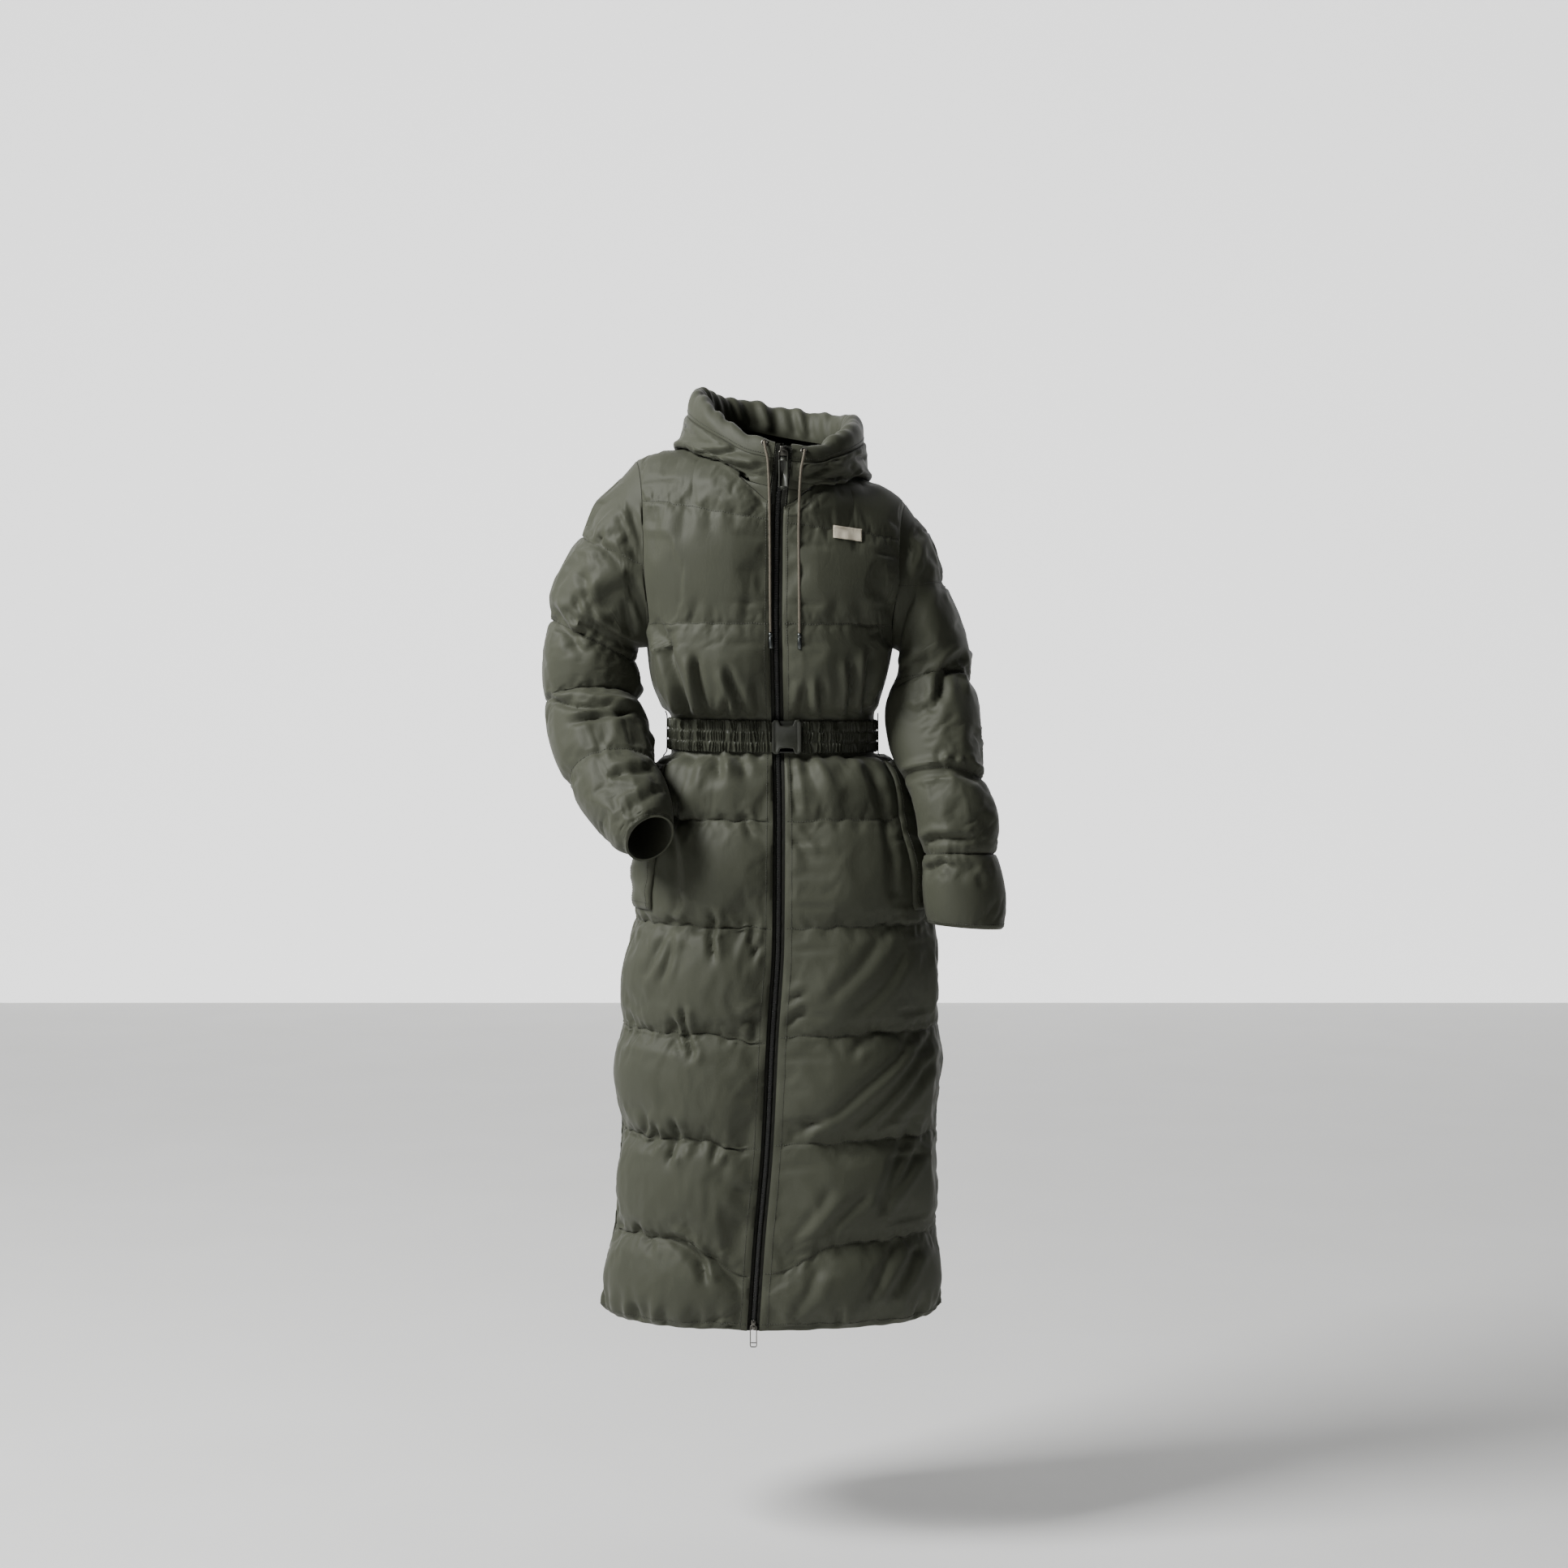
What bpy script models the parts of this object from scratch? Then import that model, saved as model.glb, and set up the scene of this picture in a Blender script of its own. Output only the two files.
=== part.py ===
"""Long belted puffer coat, worn on a general figure and hollow: quilted walls, hood down, two-way zip.

Frame: metres, +Z up, the front faces -Y and the wearer's left is +X. The origin is the middle of the neck
base, where the wearer's shoulders hold the coat up. A panel is a surface of (s, v): s runs across it and v
counts its quilted channels from the hem up. Its inner face is plain and its outer face is raised by the
filling. "right" and "left" are the wearer's.
"""

import math

import bpy
import numpy as np
from mathutils import Vector
from mathutils.bvhtree import BVHTree

# ------------------------------------------------------------------ driving sizes
SEAM_GAP = 0.0006  # between two walls sewn edge to edge
LAY_GAP = 0.0004  # between a piece and the cloth that it lies on
WALL = 0.0030  # a quilted wall along a stitched line
LOFT = 0.0095  # how much higher the filling stands in the middle of a channel
PANEL_TAPER = 0.045  # how far from its seams a panel is full
SLEEVE_LOFT = 0.9  # how full a sleeve is beside a panel
SQUARE = 0.09  # how much squarer than an ellipse a level section of the coat is
NUDGE = 1e-3  # step, in s and v, for reading a surface's slope

HEM_Z = -1.138
QUILT_Z = (HEM_Z, -1.022, -0.888, -0.747, -0.605, -0.466, -0.336, -0.206, -0.071)
CHEST_Z = -0.130  # from here up, the panels curve in to the shoulder seams
TOP_V = 9.0  # v of the neckline and the shoulder seams
UNDERARM_V = 6.78
ARMHOLE_HALF_DEPTH = 0.066
UNDERARM_GAP = 0.0015  # what the seam gap grows by under the arm
SHOULDER_TIP = (0.182, 0.0, -0.020)
NECK_POINT = (0.088, 0.0, 0.017)
NECK_S = 0.50  # s of the neck point on a front, and of |s| on the back
TORSO_X = -0.0175  # middle of the shoulders

BODY_COLUMNS = ("z", "centre", "half_width", "front", "back")
BODY = (
    (-1.140, -0.0180, 0.2240, 0.142, 0.138),
    (-1.050, -0.0135, 0.2150, 0.140, 0.137),
    (-0.984, -0.0105, 0.2100, 0.138, 0.136),
    (-0.888, -0.0070, 0.2080, 0.137, 0.135),
    (-0.800, -0.0060, 0.2110, 0.136, 0.135),
    (-0.747, -0.0065, 0.2080, 0.135, 0.134),
    (-0.690, -0.0030, 0.2035, 0.134, 0.134),
    (-0.610, 0.0000, 0.1970, 0.131, 0.133),
    (-0.550, 0.0000, 0.1880, 0.128, 0.130),
    (-0.474, -0.0020, 0.1800, 0.119, 0.121),
    (-0.430, -0.0075, 0.1670, 0.110, 0.106),
    (-0.400, -0.0120, 0.1500, 0.098, 0.089),
    (-0.380, -0.0155, 0.1345, 0.087, 0.074),
    (-0.333, -0.0155, 0.1345, 0.087, 0.074),
    (-0.313, -0.0195, 0.1400, 0.097, 0.083),
    (-0.285, -0.0210, 0.1500, 0.107, 0.091),
    (-0.235, -0.0190, 0.1610, 0.116, 0.099),
    (-0.206, -0.0180, 0.1710, 0.118, 0.103),
    (-0.130, -0.0175, 0.1970, 0.113, 0.108),
    (-0.090, -0.0175, 0.1970, 0.113, 0.108),
)

# The zip's line wanders with the stance.
ZIP_COLUMNS = ("z", "x")
ZIP_LINE = (
    (-1.140, -0.0410),
    (-1.022, -0.0330),
    (-0.900, -0.0225),
    (-0.747, -0.0150),
    (-0.620, -0.0075),
    (-0.466, -0.0065),
    (-0.340, -0.0085),
    (-0.200, -0.0105),
    (-0.100, -0.0095),
    (-0.050, -0.0080),
    (0.000, -0.0030),
    (0.040, 0.0010),
)
ZIP_HALF = 0.0115  # from the zip's middle to the edge of a front

# One shoulder is held higher: above the bust the coat slopes across by this much.
SLOPE = 0.160
SLOPE_FROM_Z, SLOPE_FULL_Z = -0.225, -0.060

# How far a quilt line dips beside the zip, below the level that it has at the side.
DIP_COLUMNS = ("v", "right", "left")
DIP = (
    (0.0, 0.004, 0.002),
    (1.0, 0.044, 0.040),
    (2.0, 0.010, 0.004),
    (3.0, 0.010, 0.002),
    (4.0, 0.002, 0.001),
    (9.0, 0.000, 0.000),
)
DIP_REACH = 0.30  # in s

GATHERS = 5  # soft folds on each front, drawn in by the belt; the back has twice as many
GATHER_DEPTH = 0.005
GATHER_REACH = 0.055

BELT_Z, BELT_WIDTH, BELT_WALL = -0.356, 0.0425, 0.0026
BELT_WAVES, BELT_WAVE_DEPTH = 136, 0.0022
BELT_DROP = 0.012  # the belt slopes down to the wearer's left by this much for each metre across
BUCKLE_WIDTH, BUCKLE_HEIGHT, BUCKLE_WALL = 0.039, 0.0455, 0.0042
BUCKLE_X = 0.0035
BUCKLE_NOTCH, BUCKLE_NOTCH_DEPTH = 0.0105, 0.0075  # half the notch's width, and how deep it is
PLATE_FORWARD = 0.0020  # from the tongue's back to the plate's
TONGUE_WALL, TONGUE_PLAY = 0.0016, (0.0012, 0.0015)  # its thickness, and how much smaller than the notch
# The belt's thread loops: height from the belt's middle, and how far out from the coat's plain form.
BELT_LOOP_ROUTE = (
    (0.0310, 0.0085),
    (0.0260, 0.0086),
    (0.0225, 0.0086),
    (0.0000, 0.0087),
    (-0.0225, 0.0090),
    (-0.0260, 0.0105),
    (-0.0300, 0.0125),
)
BELT_LOOP_ANGLE, BELT_LOOP_X, BELT_LOOP_RADIUS = math.radians(84), 0.13, 0.0009

# Sleeves, section by section: the outer and inner line as seen from the front, the middle's place front to
# back, half the depth, how far along the cut sleeve the outer and the inner line are at that section, and how
# much of the filling is pressed flat on the side that faces the body.
SLEEVE_COLUMNS = ("out_x", "out_z", "in_x", "in_z", "y", "half_depth", "cut_out", "cut_in", "pressed")
SLEEVE_RIGHT = (
    (-0.1995, 0.0091, -0.1805, -0.2346, 0.000, 0.066, 0.000, 0.215, 1.0),
    (-0.2390, -0.0480, -0.2000, -0.2370, 0.000, 0.065, 0.066, 0.222, 0.9),
    (-0.2770, -0.1130, -0.2040, -0.2470, 0.003, 0.062, 0.145, 0.232, 0.6),
    (-0.3050, -0.1830, -0.2070, -0.2590, 0.006, 0.058, 0.222, 0.247, 0.3),
    (-0.3130, -0.2530, -0.2080, -0.2810, 0.004, 0.055, 0.294, 0.300, 0.1),
    (-0.3130, -0.3070, -0.2080, -0.3080, -0.005, 0.052, 0.350, 0.350, 0.0),
    (-0.3020, -0.3540, -0.1970, -0.3460, -0.030, 0.049, 0.405, 0.405, 0.0),
    (-0.2790, -0.4120, -0.1770, -0.3970, -0.078, 0.045, 0.468, 0.468, 0.3),
    (-0.2350, -0.4650, -0.1580, -0.4330, -0.124, 0.040, 0.550, 0.550, 0.6),
    (-0.1960, -0.5090, -0.1530, -0.4620, -0.160, 0.036, 0.620, 0.620, 0.6),
)
SLEEVE_LEFT = (
    (0.1645, -0.0491, 0.1455, -0.2346, 0.000, 0.066, 0.000, 0.215, 1.0),
    (0.1840, -0.0900, 0.1600, -0.2440, 0.000, 0.065, 0.050, 0.222, 1.0),
    (0.2020, -0.1340, 0.1590, -0.2620, -0.001, 0.062, 0.100, 0.232, 1.0),
    (0.2240, -0.1990, 0.1510, -0.2860, -0.003, 0.058, 0.165, 0.245, 1.0),
    (0.2410, -0.2640, 0.1430, -0.3090, -0.010, 0.055, 0.225, 0.262, 1.0),
    (0.2490, -0.3130, 0.1385, -0.3340, -0.028, 0.052, 0.268, 0.285, 1.0),
    (0.2520, -0.3670, 0.1430, -0.3670, -0.050, 0.050, 0.315, 0.320, 1.0),
    (0.2590, -0.4220, 0.1660, -0.4160, -0.073, 0.047, 0.362, 0.362, 0.7),
    (0.2690, -0.4740, 0.1860, -0.4710, -0.087, 0.045, 0.425, 0.425, 0.3),
    (0.2750, -0.5380, 0.1970, -0.5370, -0.094, 0.041, 0.500, 0.500, 0.0),
    (0.2820, -0.6110, 0.2020, -0.6030, -0.097, 0.036, 0.605, 0.605, 0.0),
)
SLEEVE_QUILT_CUT = (0.0, 0.120, 0.243, 0.356, 0.468, 0.612)
SLEEVE_BLEND = 3.0  # sections over which the armhole's outline turns into the sleeve's own

# The hood lies back, open. Each row is one direction round the neck, by its angle from the front: how far out
# and how high are the neck seam, the cloth under the bag, its lowest fold, its outer face and the rim's seam,
# then half the rim's width and height.
HOOD_KNOTS = ("neck", "under", "base", "outer", "seam")
HOOD_COLUMNS = ("angle", *(knot + end for knot in HOOD_KNOTS for end in ("_r", "_z")), "wide", "tall")
HOOD = (
    (0, 0.1170, -0.0280, 0.1172, -0.0200, 0.1175, -0.0120, 0.1178, -0.0010, 0.1180, 0.0090, 0.0090, 0.0195),
    (20, 0.1125, -0.0240, 0.1140, -0.0190, 0.1150, -0.0130, 0.1160, 0.0000, 0.1160, 0.0120, 0.0100, 0.0190),
    (40, 0.0980, 0.0010, 0.1060, -0.0020, 0.1130, -0.0120, 0.1140, 0.0100, 0.1120, 0.0260, 0.0120, 0.0210),
    (65, 0.0900, 0.0200, 0.1030, 0.0140, 0.1150, 0.0010, 0.1105, 0.0240, 0.1130, 0.0430, 0.0140, 0.0250),
    (90, 0.0880, 0.0260, 0.1080, 0.0210, 0.1275, 0.0090, 0.1120, 0.0340, 0.1150, 0.0560, 0.0150, 0.0290),
    (115, 0.0860, 0.0250, 0.1080, 0.0120, 0.1310, -0.0050, 0.1360, 0.0250, 0.1260, 0.0620, 0.0150, 0.0290),
    (140, 0.0800, 0.0200, 0.1160, -0.0150, 0.1460, -0.0660, 0.1720, -0.0100, 0.1470, 0.0660, 0.0160, 0.0280),
    (160, 0.0760, 0.0170, 0.1240, -0.0300, 0.1520, -0.1000, 0.1880, -0.0300, 0.1570, 0.0670, 0.0160, 0.0270),
    (180, 0.0750, 0.0160, 0.1260, -0.0350, 0.1540, -0.1150, 0.1930, -0.0380, 0.1600, 0.0670, 0.0160, 0.0270),
)
HOOD_LEAN = 0.11  # the hood leans to the wearer's left by this much for each metre up
HOOD_WALL, HOOD_LOFT, RIM_WALL = 0.0035, 0.0045, 0.0050
HOOD_CLEAR = 0.0085  # from the coat's cloth up to the inner face of the hood that lies on it
HOOD_PANEL_ANGLE = 118  # where the side panels meet the centre panel
HOOD_SEAM_ANGLE = 0.3  # the seam gap there, in degrees
HOOD_CENTRE_LIFT = 0.0045  # how much higher the centre panel lies than the sides
HOOD_RADIUS, HOOD_RISE = 0.11, 0.16  # rough lengths for the taper beside its seams
HOOD_TAPER = 0.03
HOOD_FULL_FROM, HOOD_FULL_AT = 0.50, 0.66  # share of the way up where its filling begins, and is full

# Welt pockets: across a front (s) and up it (v), the welt's corners.
POCKET_COLUMNS = ("v", "s_edge", "s_side")
POCKET = (
    (4.12, 0.600, 0.830),
    (4.40, 0.588, 0.838),
    (4.80, 0.572, 0.836),
    (5.20, 0.600, 0.850),
    (5.50, 0.640, 0.840),
)
POCKET_WALL, POCKET_LOFT, POCKET_LIFT = 0.0018, 0.0035, 0.0020
POCKET_ROWS = (4.12, 4.22, 4.50, 4.78, 5.00, 5.25, 5.50)

VENT_FROM_V, VENT_TO_V, VENT_WIDTH = 0.06, 2.25, 0.020
VENT_WALL, VENT_LIFT = 0.0018, 0.0010
VENT_DEPTH = 0.14  # half of the coat's depth at the vents, to turn a width into an angle
SNAP_RADIUS, SNAP_HEIGHT, SNAP_LIFT = 0.0055, 0.0022, 0.0010
SNAP_Z, SNAP_TURN = -1.098, 0.02  # its height, and how far in front of the side seam, in radians
CAST_FROM = 0.08  # how far outside the coat a line to find its cloth starts

LABEL_WIDTH, LABEL_HEIGHT, LABEL_WALL = 0.038, 0.0165, 0.0012
LABEL_AT = (0.0835, -0.0880)  # x and z of its middle
LABEL_SLOPE, LABEL_LIFT = 0.13, 0.0012

CORD_RADIUS, AGLET_RADIUS, AGLET_LENGTH = 0.0018, 0.0027, 0.0205
# Drawcord routes, from the eyelet down: x, y and z.
CORD_RIGHT = (
    (-0.0254, -0.1170, 0.0300),
    (-0.0258, -0.1208, 0.0308),
    (-0.0252, -0.1232, 0.0270),
    (-0.0237, -0.1242, 0.0190),
    (-0.0214, -0.1245, 0.0090),
    (-0.0200, -0.1240, -0.0120),
    (-0.0191, -0.1215, -0.0420),
    (-0.0186, -0.1205, -0.0800),
    (-0.0183, -0.1205, -0.1250),
    (-0.0182, -0.1215, -0.1650),
    (-0.0180, -0.1227, -0.2010),
    (-0.0176, -0.1230, -0.2180),
)
CORD_LEFT = (
    (0.0262, -0.1165, 0.0190),
    (0.0270, -0.1203, 0.0200),
    (0.0265, -0.1226, 0.0160),
    (0.0250, -0.1240, 0.0080),
    (0.0225, -0.1243, -0.0050),
    (0.0208, -0.1238, -0.0260),
    (0.0198, -0.1222, -0.0560),
    (0.0193, -0.1218, -0.0900),
    (0.0196, -0.1245, -0.1300),
    (0.0200, -0.1260, -0.1700),
    (0.0202, -0.1262, -0.2020),
    (0.0203, -0.1258, -0.2190),
)
CORD_POINTS = 28
EYELET_RADIUS, EYELET_WIRE = 0.0036, 0.0011

AGLET_RINGS = ((0.0, 0.8), (0.06, 1.0), (0.94, 1.0), (1.0, 0.7))  # share of its length, and of its radius

TAPE_WALL, TAPE_STEP = 0.0012, 0.0008  # thickness, and how far it stands in front of a front's plain edge
COIL_HALF, COIL_WALL, COIL_CROWN, COIL_RINGS = 0.0027, 0.0024, 0.6, 30
ZIP_TOP = ((-0.030, 0.1163), (-0.012, 0.1172), (0.009, 0.1180), (0.030, 0.1185))  # z and depth, over the neck
# Each slider's z, width and height, then its pull's width, length, thickness and window.
SLIDERS = {
    "top": (0.0215, 0.0090, 0.0130, 0.0126, 0.0490, 0.0018, 0.0072),
    "bottom": (-1.1300, 0.0062, 0.0120, 0.0096, 0.0300, 0.0014, 0.0260),
}
SLIDER_DEPTH, SLIDER_EYE_DEPTH, SLIDER_EYE_HEIGHT = 0.0070, 0.0026, 0.0044
SLIDER_EYE_FORWARD = 0.13  # of the slider's depth, from its middle
SLIDER_EDGE, PULL_EDGE, BUCKLE_EDGE = 0.0006, 0.0003, 0.0007  # how far the edges are rounded

SIDES = {"right": -1, "left": 1}


# ------------------------------------------------------------------ reading tables
def smooth(xs, ys, x):
    """A cubic through (xs, ys) that doesn't overshoot them, read at x."""
    xs, ys, x = np.asarray(xs, float), np.asarray(ys, float), np.asarray(x, float)
    step = np.diff(xs)
    slope = np.diff(ys) / step
    tangent = np.zeros_like(ys)
    tangent[0], tangent[-1] = slope[0], slope[-1]
    product, total = slope[:-1] * slope[1:], slope[:-1] + slope[1:]
    rising = product > 0
    tangent[1:-1][rising] = 2 * product[rising] / total[rising]
    i = np.clip(np.searchsorted(xs, x, side="right") - 1, 0, len(step) - 1)
    t = (x - xs[i]) / step[i]
    blend = t * t * (3 - 2 * t)
    bend = step[i] * (t * (1 - t) ** 2 * tangent[i] - t * t * (1 - t) * tangent[i + 1])
    return ys[i] + (ys[i + 1] - ys[i]) * blend + bend


def read(table, columns, name, at, by=None):
    """Column name of a table, smoothly, where column by (its first, unless given) is at."""
    rows = np.array(table, float)
    key = rows[:, columns.index(by)] if by else rows[:, 0]
    return smooth(key, rows[:, columns.index(name)], at)


def read_row(table, columns, name, index):
    """Column name of a table, smoothly, at a fractional row number."""
    rows = np.array(table, float)
    return smooth(np.arange(len(rows)), rows[:, columns.index(name)], index)


def ease(x, start, end):
    """0 before start, 1 after end, and smooth between."""
    t = np.clip((np.asarray(x, float) - start) / (end - start), 0, 1)
    return t * t * (3 - 2 * t)


def unit(vectors):
    vectors = np.asarray(vectors, float)
    return vectors / np.maximum(np.linalg.norm(vectors, axis=-1, keepdims=True), 1e-12)


# ------------------------------------------------------------------ the body's plain form
def across(angle):
    return np.sin(angle) * (1 + SQUARE * np.cos(angle) ** 2)


def forward(angle):
    return np.cos(angle) * (1 + SQUARE * np.sin(angle) ** 2)


HALF_TURN = np.linspace(-math.pi / 2, math.pi / 2, 1441)


def angle_across(share):
    """The angle from the front at which a level section is at this share of its half width."""
    return np.interp(share, across(HALF_TURN), HALF_TURN)


def angle_forward(share):
    """The same by its share of the depth, from 0 to a quarter turn."""
    quarter = HALF_TURN[HALF_TURN >= 0][::-1]
    return np.interp(share, forward(quarter), quarter)


def ring(angle, z):
    """The coat's plain form at height z, at an angle from the front towards the wearer's left."""
    depth = np.where(
        np.cos(angle) >= 0, read(BODY, BODY_COLUMNS, "front", z), read(BODY, BODY_COLUMNS, "back", z)
    )
    x = read(BODY, BODY_COLUMNS, "centre", z) + read(BODY, BODY_COLUMNS, "half_width", z) * across(angle)
    return np.stack([x, -depth * forward(angle), z + 0 * x], -1)


def zip_x(z):
    return read(ZIP_LINE, ZIP_COLUMNS, "x", z)


def stance(points):
    """Lowers the shoulders towards the wearer's left."""
    points = np.array(points, float)
    share = ease(points[..., 2], SLOPE_FROM_Z, SLOPE_FULL_Z)
    points[..., 2] -= SLOPE * share * (points[..., 0] - TORSO_X)
    return points


def level(v):
    return np.interp(v, np.arange(len(QUILT_Z)), QUILT_Z)


UNDERARM_Z = float(level(UNDERARM_V))
CHEST_V = 7 + (CHEST_Z - QUILT_Z[7]) / (QUILT_Z[8] - QUILT_Z[7])


def armhole_half_depth(z):
    """Half the armhole's depth at height z, below the chest line."""
    share = np.clip((CHEST_Z - z) / (CHEST_Z - UNDERARM_Z), 0, 1)
    return ARMHOLE_HALF_DEPTH * np.sqrt(1 - share**2)


def neckline(q, back):
    """The neck seam on the wearer's left, from the middle (q = 0) to the neck point (q = 1)."""
    if back:
        knots = ((0.0, 0.064, 0.004), (0.036, 0.058, 0.006), (0.066, 0.036, 0.011), NECK_POINT)
    else:
        knots = ((ZIP_HALF, -0.115, -0.050), (0.0385, -0.105, -0.026), (0.063, -0.070, -0.002), NECK_POINT)
    return np.stack([smooth((0.0, 0.36, 0.68, 1.0), values, q) for values in zip(*knots)], -1)


def top_edge(s, back):
    """The neckline up to NECK_S, then the shoulder seam; on the wearer's left, from the body's middle."""
    s = np.asarray(s, float)
    neck = neckline(np.clip(s / NECK_S, None, 1), back)
    along = np.clip((s - NECK_S) / (1 - NECK_S), 0, None)[..., None]
    seam = np.array(NECK_POINT) + along * (np.array(SHOULDER_TIP) - np.array(NECK_POINT))
    return np.where((s > NECK_S)[..., None], seam, neck)


def body_surface(s, v, side, back):
    """A front (s = 0 at the zip, 1 at the side) or half the back (s = 0 in the middle), before the stance."""
    s, v = np.broadcast_arrays(np.asarray(s, float), np.asarray(v, float))
    z = np.minimum(level(v), CHEST_Z)
    if not back:
        dip = read(DIP, DIP_COLUMNS, "left" if side > 0 else "right", np.clip(v, 0, TOP_V))
        z = z - dip * (1 - ease(s, 0, DIP_REACH)) * np.clip(v, 0, 1)
    centre, half = read(BODY, BODY_COLUMNS, "centre", z), read(BODY, BODY_COLUMNS, "half_width", z)
    depth = read(BODY, BODY_COLUMNS, "back" if back else "front", z)
    side_angle = np.where(
        z > UNDERARM_Z, angle_forward(armhole_half_depth(z) / depth), math.pi / 2
    )
    if back:
        start = 0.0
    else:
        start = side * angle_across((zip_x(z) + side * ZIP_HALF - centre) / half)
    angle = side * (start + (side_angle - start) * s)
    base = ring(math.pi - angle if back else angle, z)
    # Above the chest line each column is a quarter of an ellipse up to the neckline or the shoulder seam.
    top = top_edge(s, back)
    shift = 0.0 if back else side * (zip_x(-0.05) - TORSO_X) * (1 - ease(s, 0, NECK_S))
    top = np.stack([TORSO_X + side * (top[..., 0] + shift), top[..., 1], top[..., 2]], -1)
    rise = top[..., 2] - CHEST_Z
    at_line = 2 / math.pi * np.arcsin((QUILT_Z[8] - CHEST_Z) / rise)
    t = np.where(
        v <= 8, at_line * (v - CHEST_V) / (8 - CHEST_V), at_line + (1 - at_line) * (v - 8) / (TOP_V - 8)
    )
    t = np.clip(t, 0, 1 + 2 * NUDGE) * math.pi / 2
    upper = np.stack(
        [
            base[..., 0] + (top[..., 0] - base[..., 0]) * (1 - np.cos(t)),
            base[..., 1] + (top[..., 1] - base[..., 1]) * (1 - np.cos(t)),
            CHEST_Z + rise * np.sin(t),
        ],
        -1,
    )
    return np.where((v > CHEST_V)[..., None], upper, base)


def armhole_turn(v):
    """The armhole's angle from the shoulder tip, at a row v of the front or the back."""
    z = level(v)
    at_line = 2 / math.pi * math.asin((QUILT_Z[8] - CHEST_Z) / (SHOULDER_TIP[2] - CHEST_Z))
    if v <= CHEST_V:
        return math.pi / 2 + math.asin(min(1.0, (CHEST_Z - z) / (CHEST_Z - UNDERARM_Z)))
    t = at_line * (v - CHEST_V) / (8 - CHEST_V) if v <= 8 else at_line + (1 - at_line) * (v - 8) / (TOP_V - 8)
    return (1 - t) * math.pi / 2


def armhole(turn, side):
    """The armhole's outline: turn 0 at the shoulder tip, a quarter in front, a half under the arm."""
    turn = np.asarray(turn, float)
    y = -ARMHOLE_HALF_DEPTH * np.sin(turn)
    rise = np.where(np.cos(turn) >= 0, SHOULDER_TIP[2] - CHEST_Z, CHEST_Z - UNDERARM_Z)
    z = CHEST_Z + rise * np.cos(turn)
    low = np.minimum(z, CHEST_Z)
    depth = np.where(
        y <= 0, read(BODY, BODY_COLUMNS, "front", low), read(BODY, BODY_COLUMNS, "back", low)
    )
    y_low = np.where(z > CHEST_Z, ARMHOLE_HALF_DEPTH, np.abs(y))
    x_low = read(BODY, BODY_COLUMNS, "half_width", low) * across(angle_forward(y_low / depth))
    x_low = side * x_low + read(BODY, BODY_COLUMNS, "centre", low)
    x_tip = TORSO_X + side * SHOULDER_TIP[0]
    x = np.where(z > CHEST_Z, x_low + (x_tip - x_low) * (1 - np.abs(np.sin(turn))), x_low)
    return stance(np.stack([x, y, z], -1))


def armhole_out(turn, side):
    """The outward direction that panel and sleeve share along the armhole."""
    turn = np.asarray(turn, float)
    outwards = np.where(turn > math.pi - 1e-3, side, 0.0) * (turn < math.pi + 1e-3)
    return unit(np.stack([outwards, -np.sin(turn), np.cos(turn)], -1))


# ------------------------------------------------------------------ the sleeves' plain form
def sleeve_surface(turn, row, side):
    """A sleeve at a fractional row of its table; turn 0 is its outer line, a quarter its front."""
    turn, row = np.broadcast_arrays(np.asarray(turn, float), np.asarray(row, float))
    table = SLEEVE_LEFT if side > 0 else SLEEVE_RIGHT

    def section(at):
        out_x, out_z, in_x, in_z, y = (read_row(table, SLEEVE_COLUMNS, key, at) for key in SLEEVE_COLUMNS[:5])
        outer, inner = np.stack([out_x, y, out_z], -1), np.stack([in_x, y, in_z], -1)
        return (outer + inner) / 2, (outer - inner) / 2

    middle, reach = section(row)
    along = section(np.minimum(row + 0.05, len(table) - 1))[0] - section(np.maximum(row - 0.05, 0))[0]
    half_depth = read_row(table, SLEEVE_COLUMNS, "half_depth", row)[..., None]
    front = unit(-side * np.cross(reach, along)) * half_depth
    points = middle + reach * np.cos(turn)[..., None] + front * np.sin(turn)[..., None]
    start, start_reach = section(np.zeros_like(row))
    first = start + start_reach * np.cos(turn)[..., None]
    first[..., 1] -= ARMHOLE_HALF_DEPTH * np.sin(turn)
    own = 1 - ease(row, 0, SLEEVE_BLEND)
    apart = side * (SEAM_GAP + UNDERARM_GAP * ease(-np.cos(turn), 0.3, 0.8))
    shift = armhole(turn, side) - first
    shift[..., 0] += apart
    return points + shift * own[..., None]


def sleeve_cut(turn, row, side):
    """How far along the cut sleeve a point is, from the top of its cap."""
    table = SLEEVE_LEFT if side > 0 else SLEEVE_RIGHT
    share = (1 + np.cos(turn)) / 2
    return read_row(table, SLEEVE_COLUMNS, "cut_out", row) * share + read_row(
        table, SLEEVE_COLUMNS, "cut_in", row
    ) * (1 - share)


# ------------------------------------------------------------------ the hood's plain form
def hood_place(radius, z, angle):
    """A point round the neck, from its angle in degrees; the front follows the zip."""
    turn = np.radians(angle)
    front = np.maximum(np.cos(turn), 0) ** 2
    x = TORSO_X + HOOD_LEAN * np.maximum(z, 0) * (1 - front) + radius * np.sin(turn)
    x = x + (zip_x(z) - TORSO_X) * front
    return stance(np.stack([x, -radius * np.cos(turn), z + 0 * x], -1))


def hood_read(name, angle):
    """A column of the hood's table, for an angle in degrees from the front, either way round."""
    return read(HOOD, HOOD_COLUMNS, name, 180 - np.abs(180 - np.abs(angle)))


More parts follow.
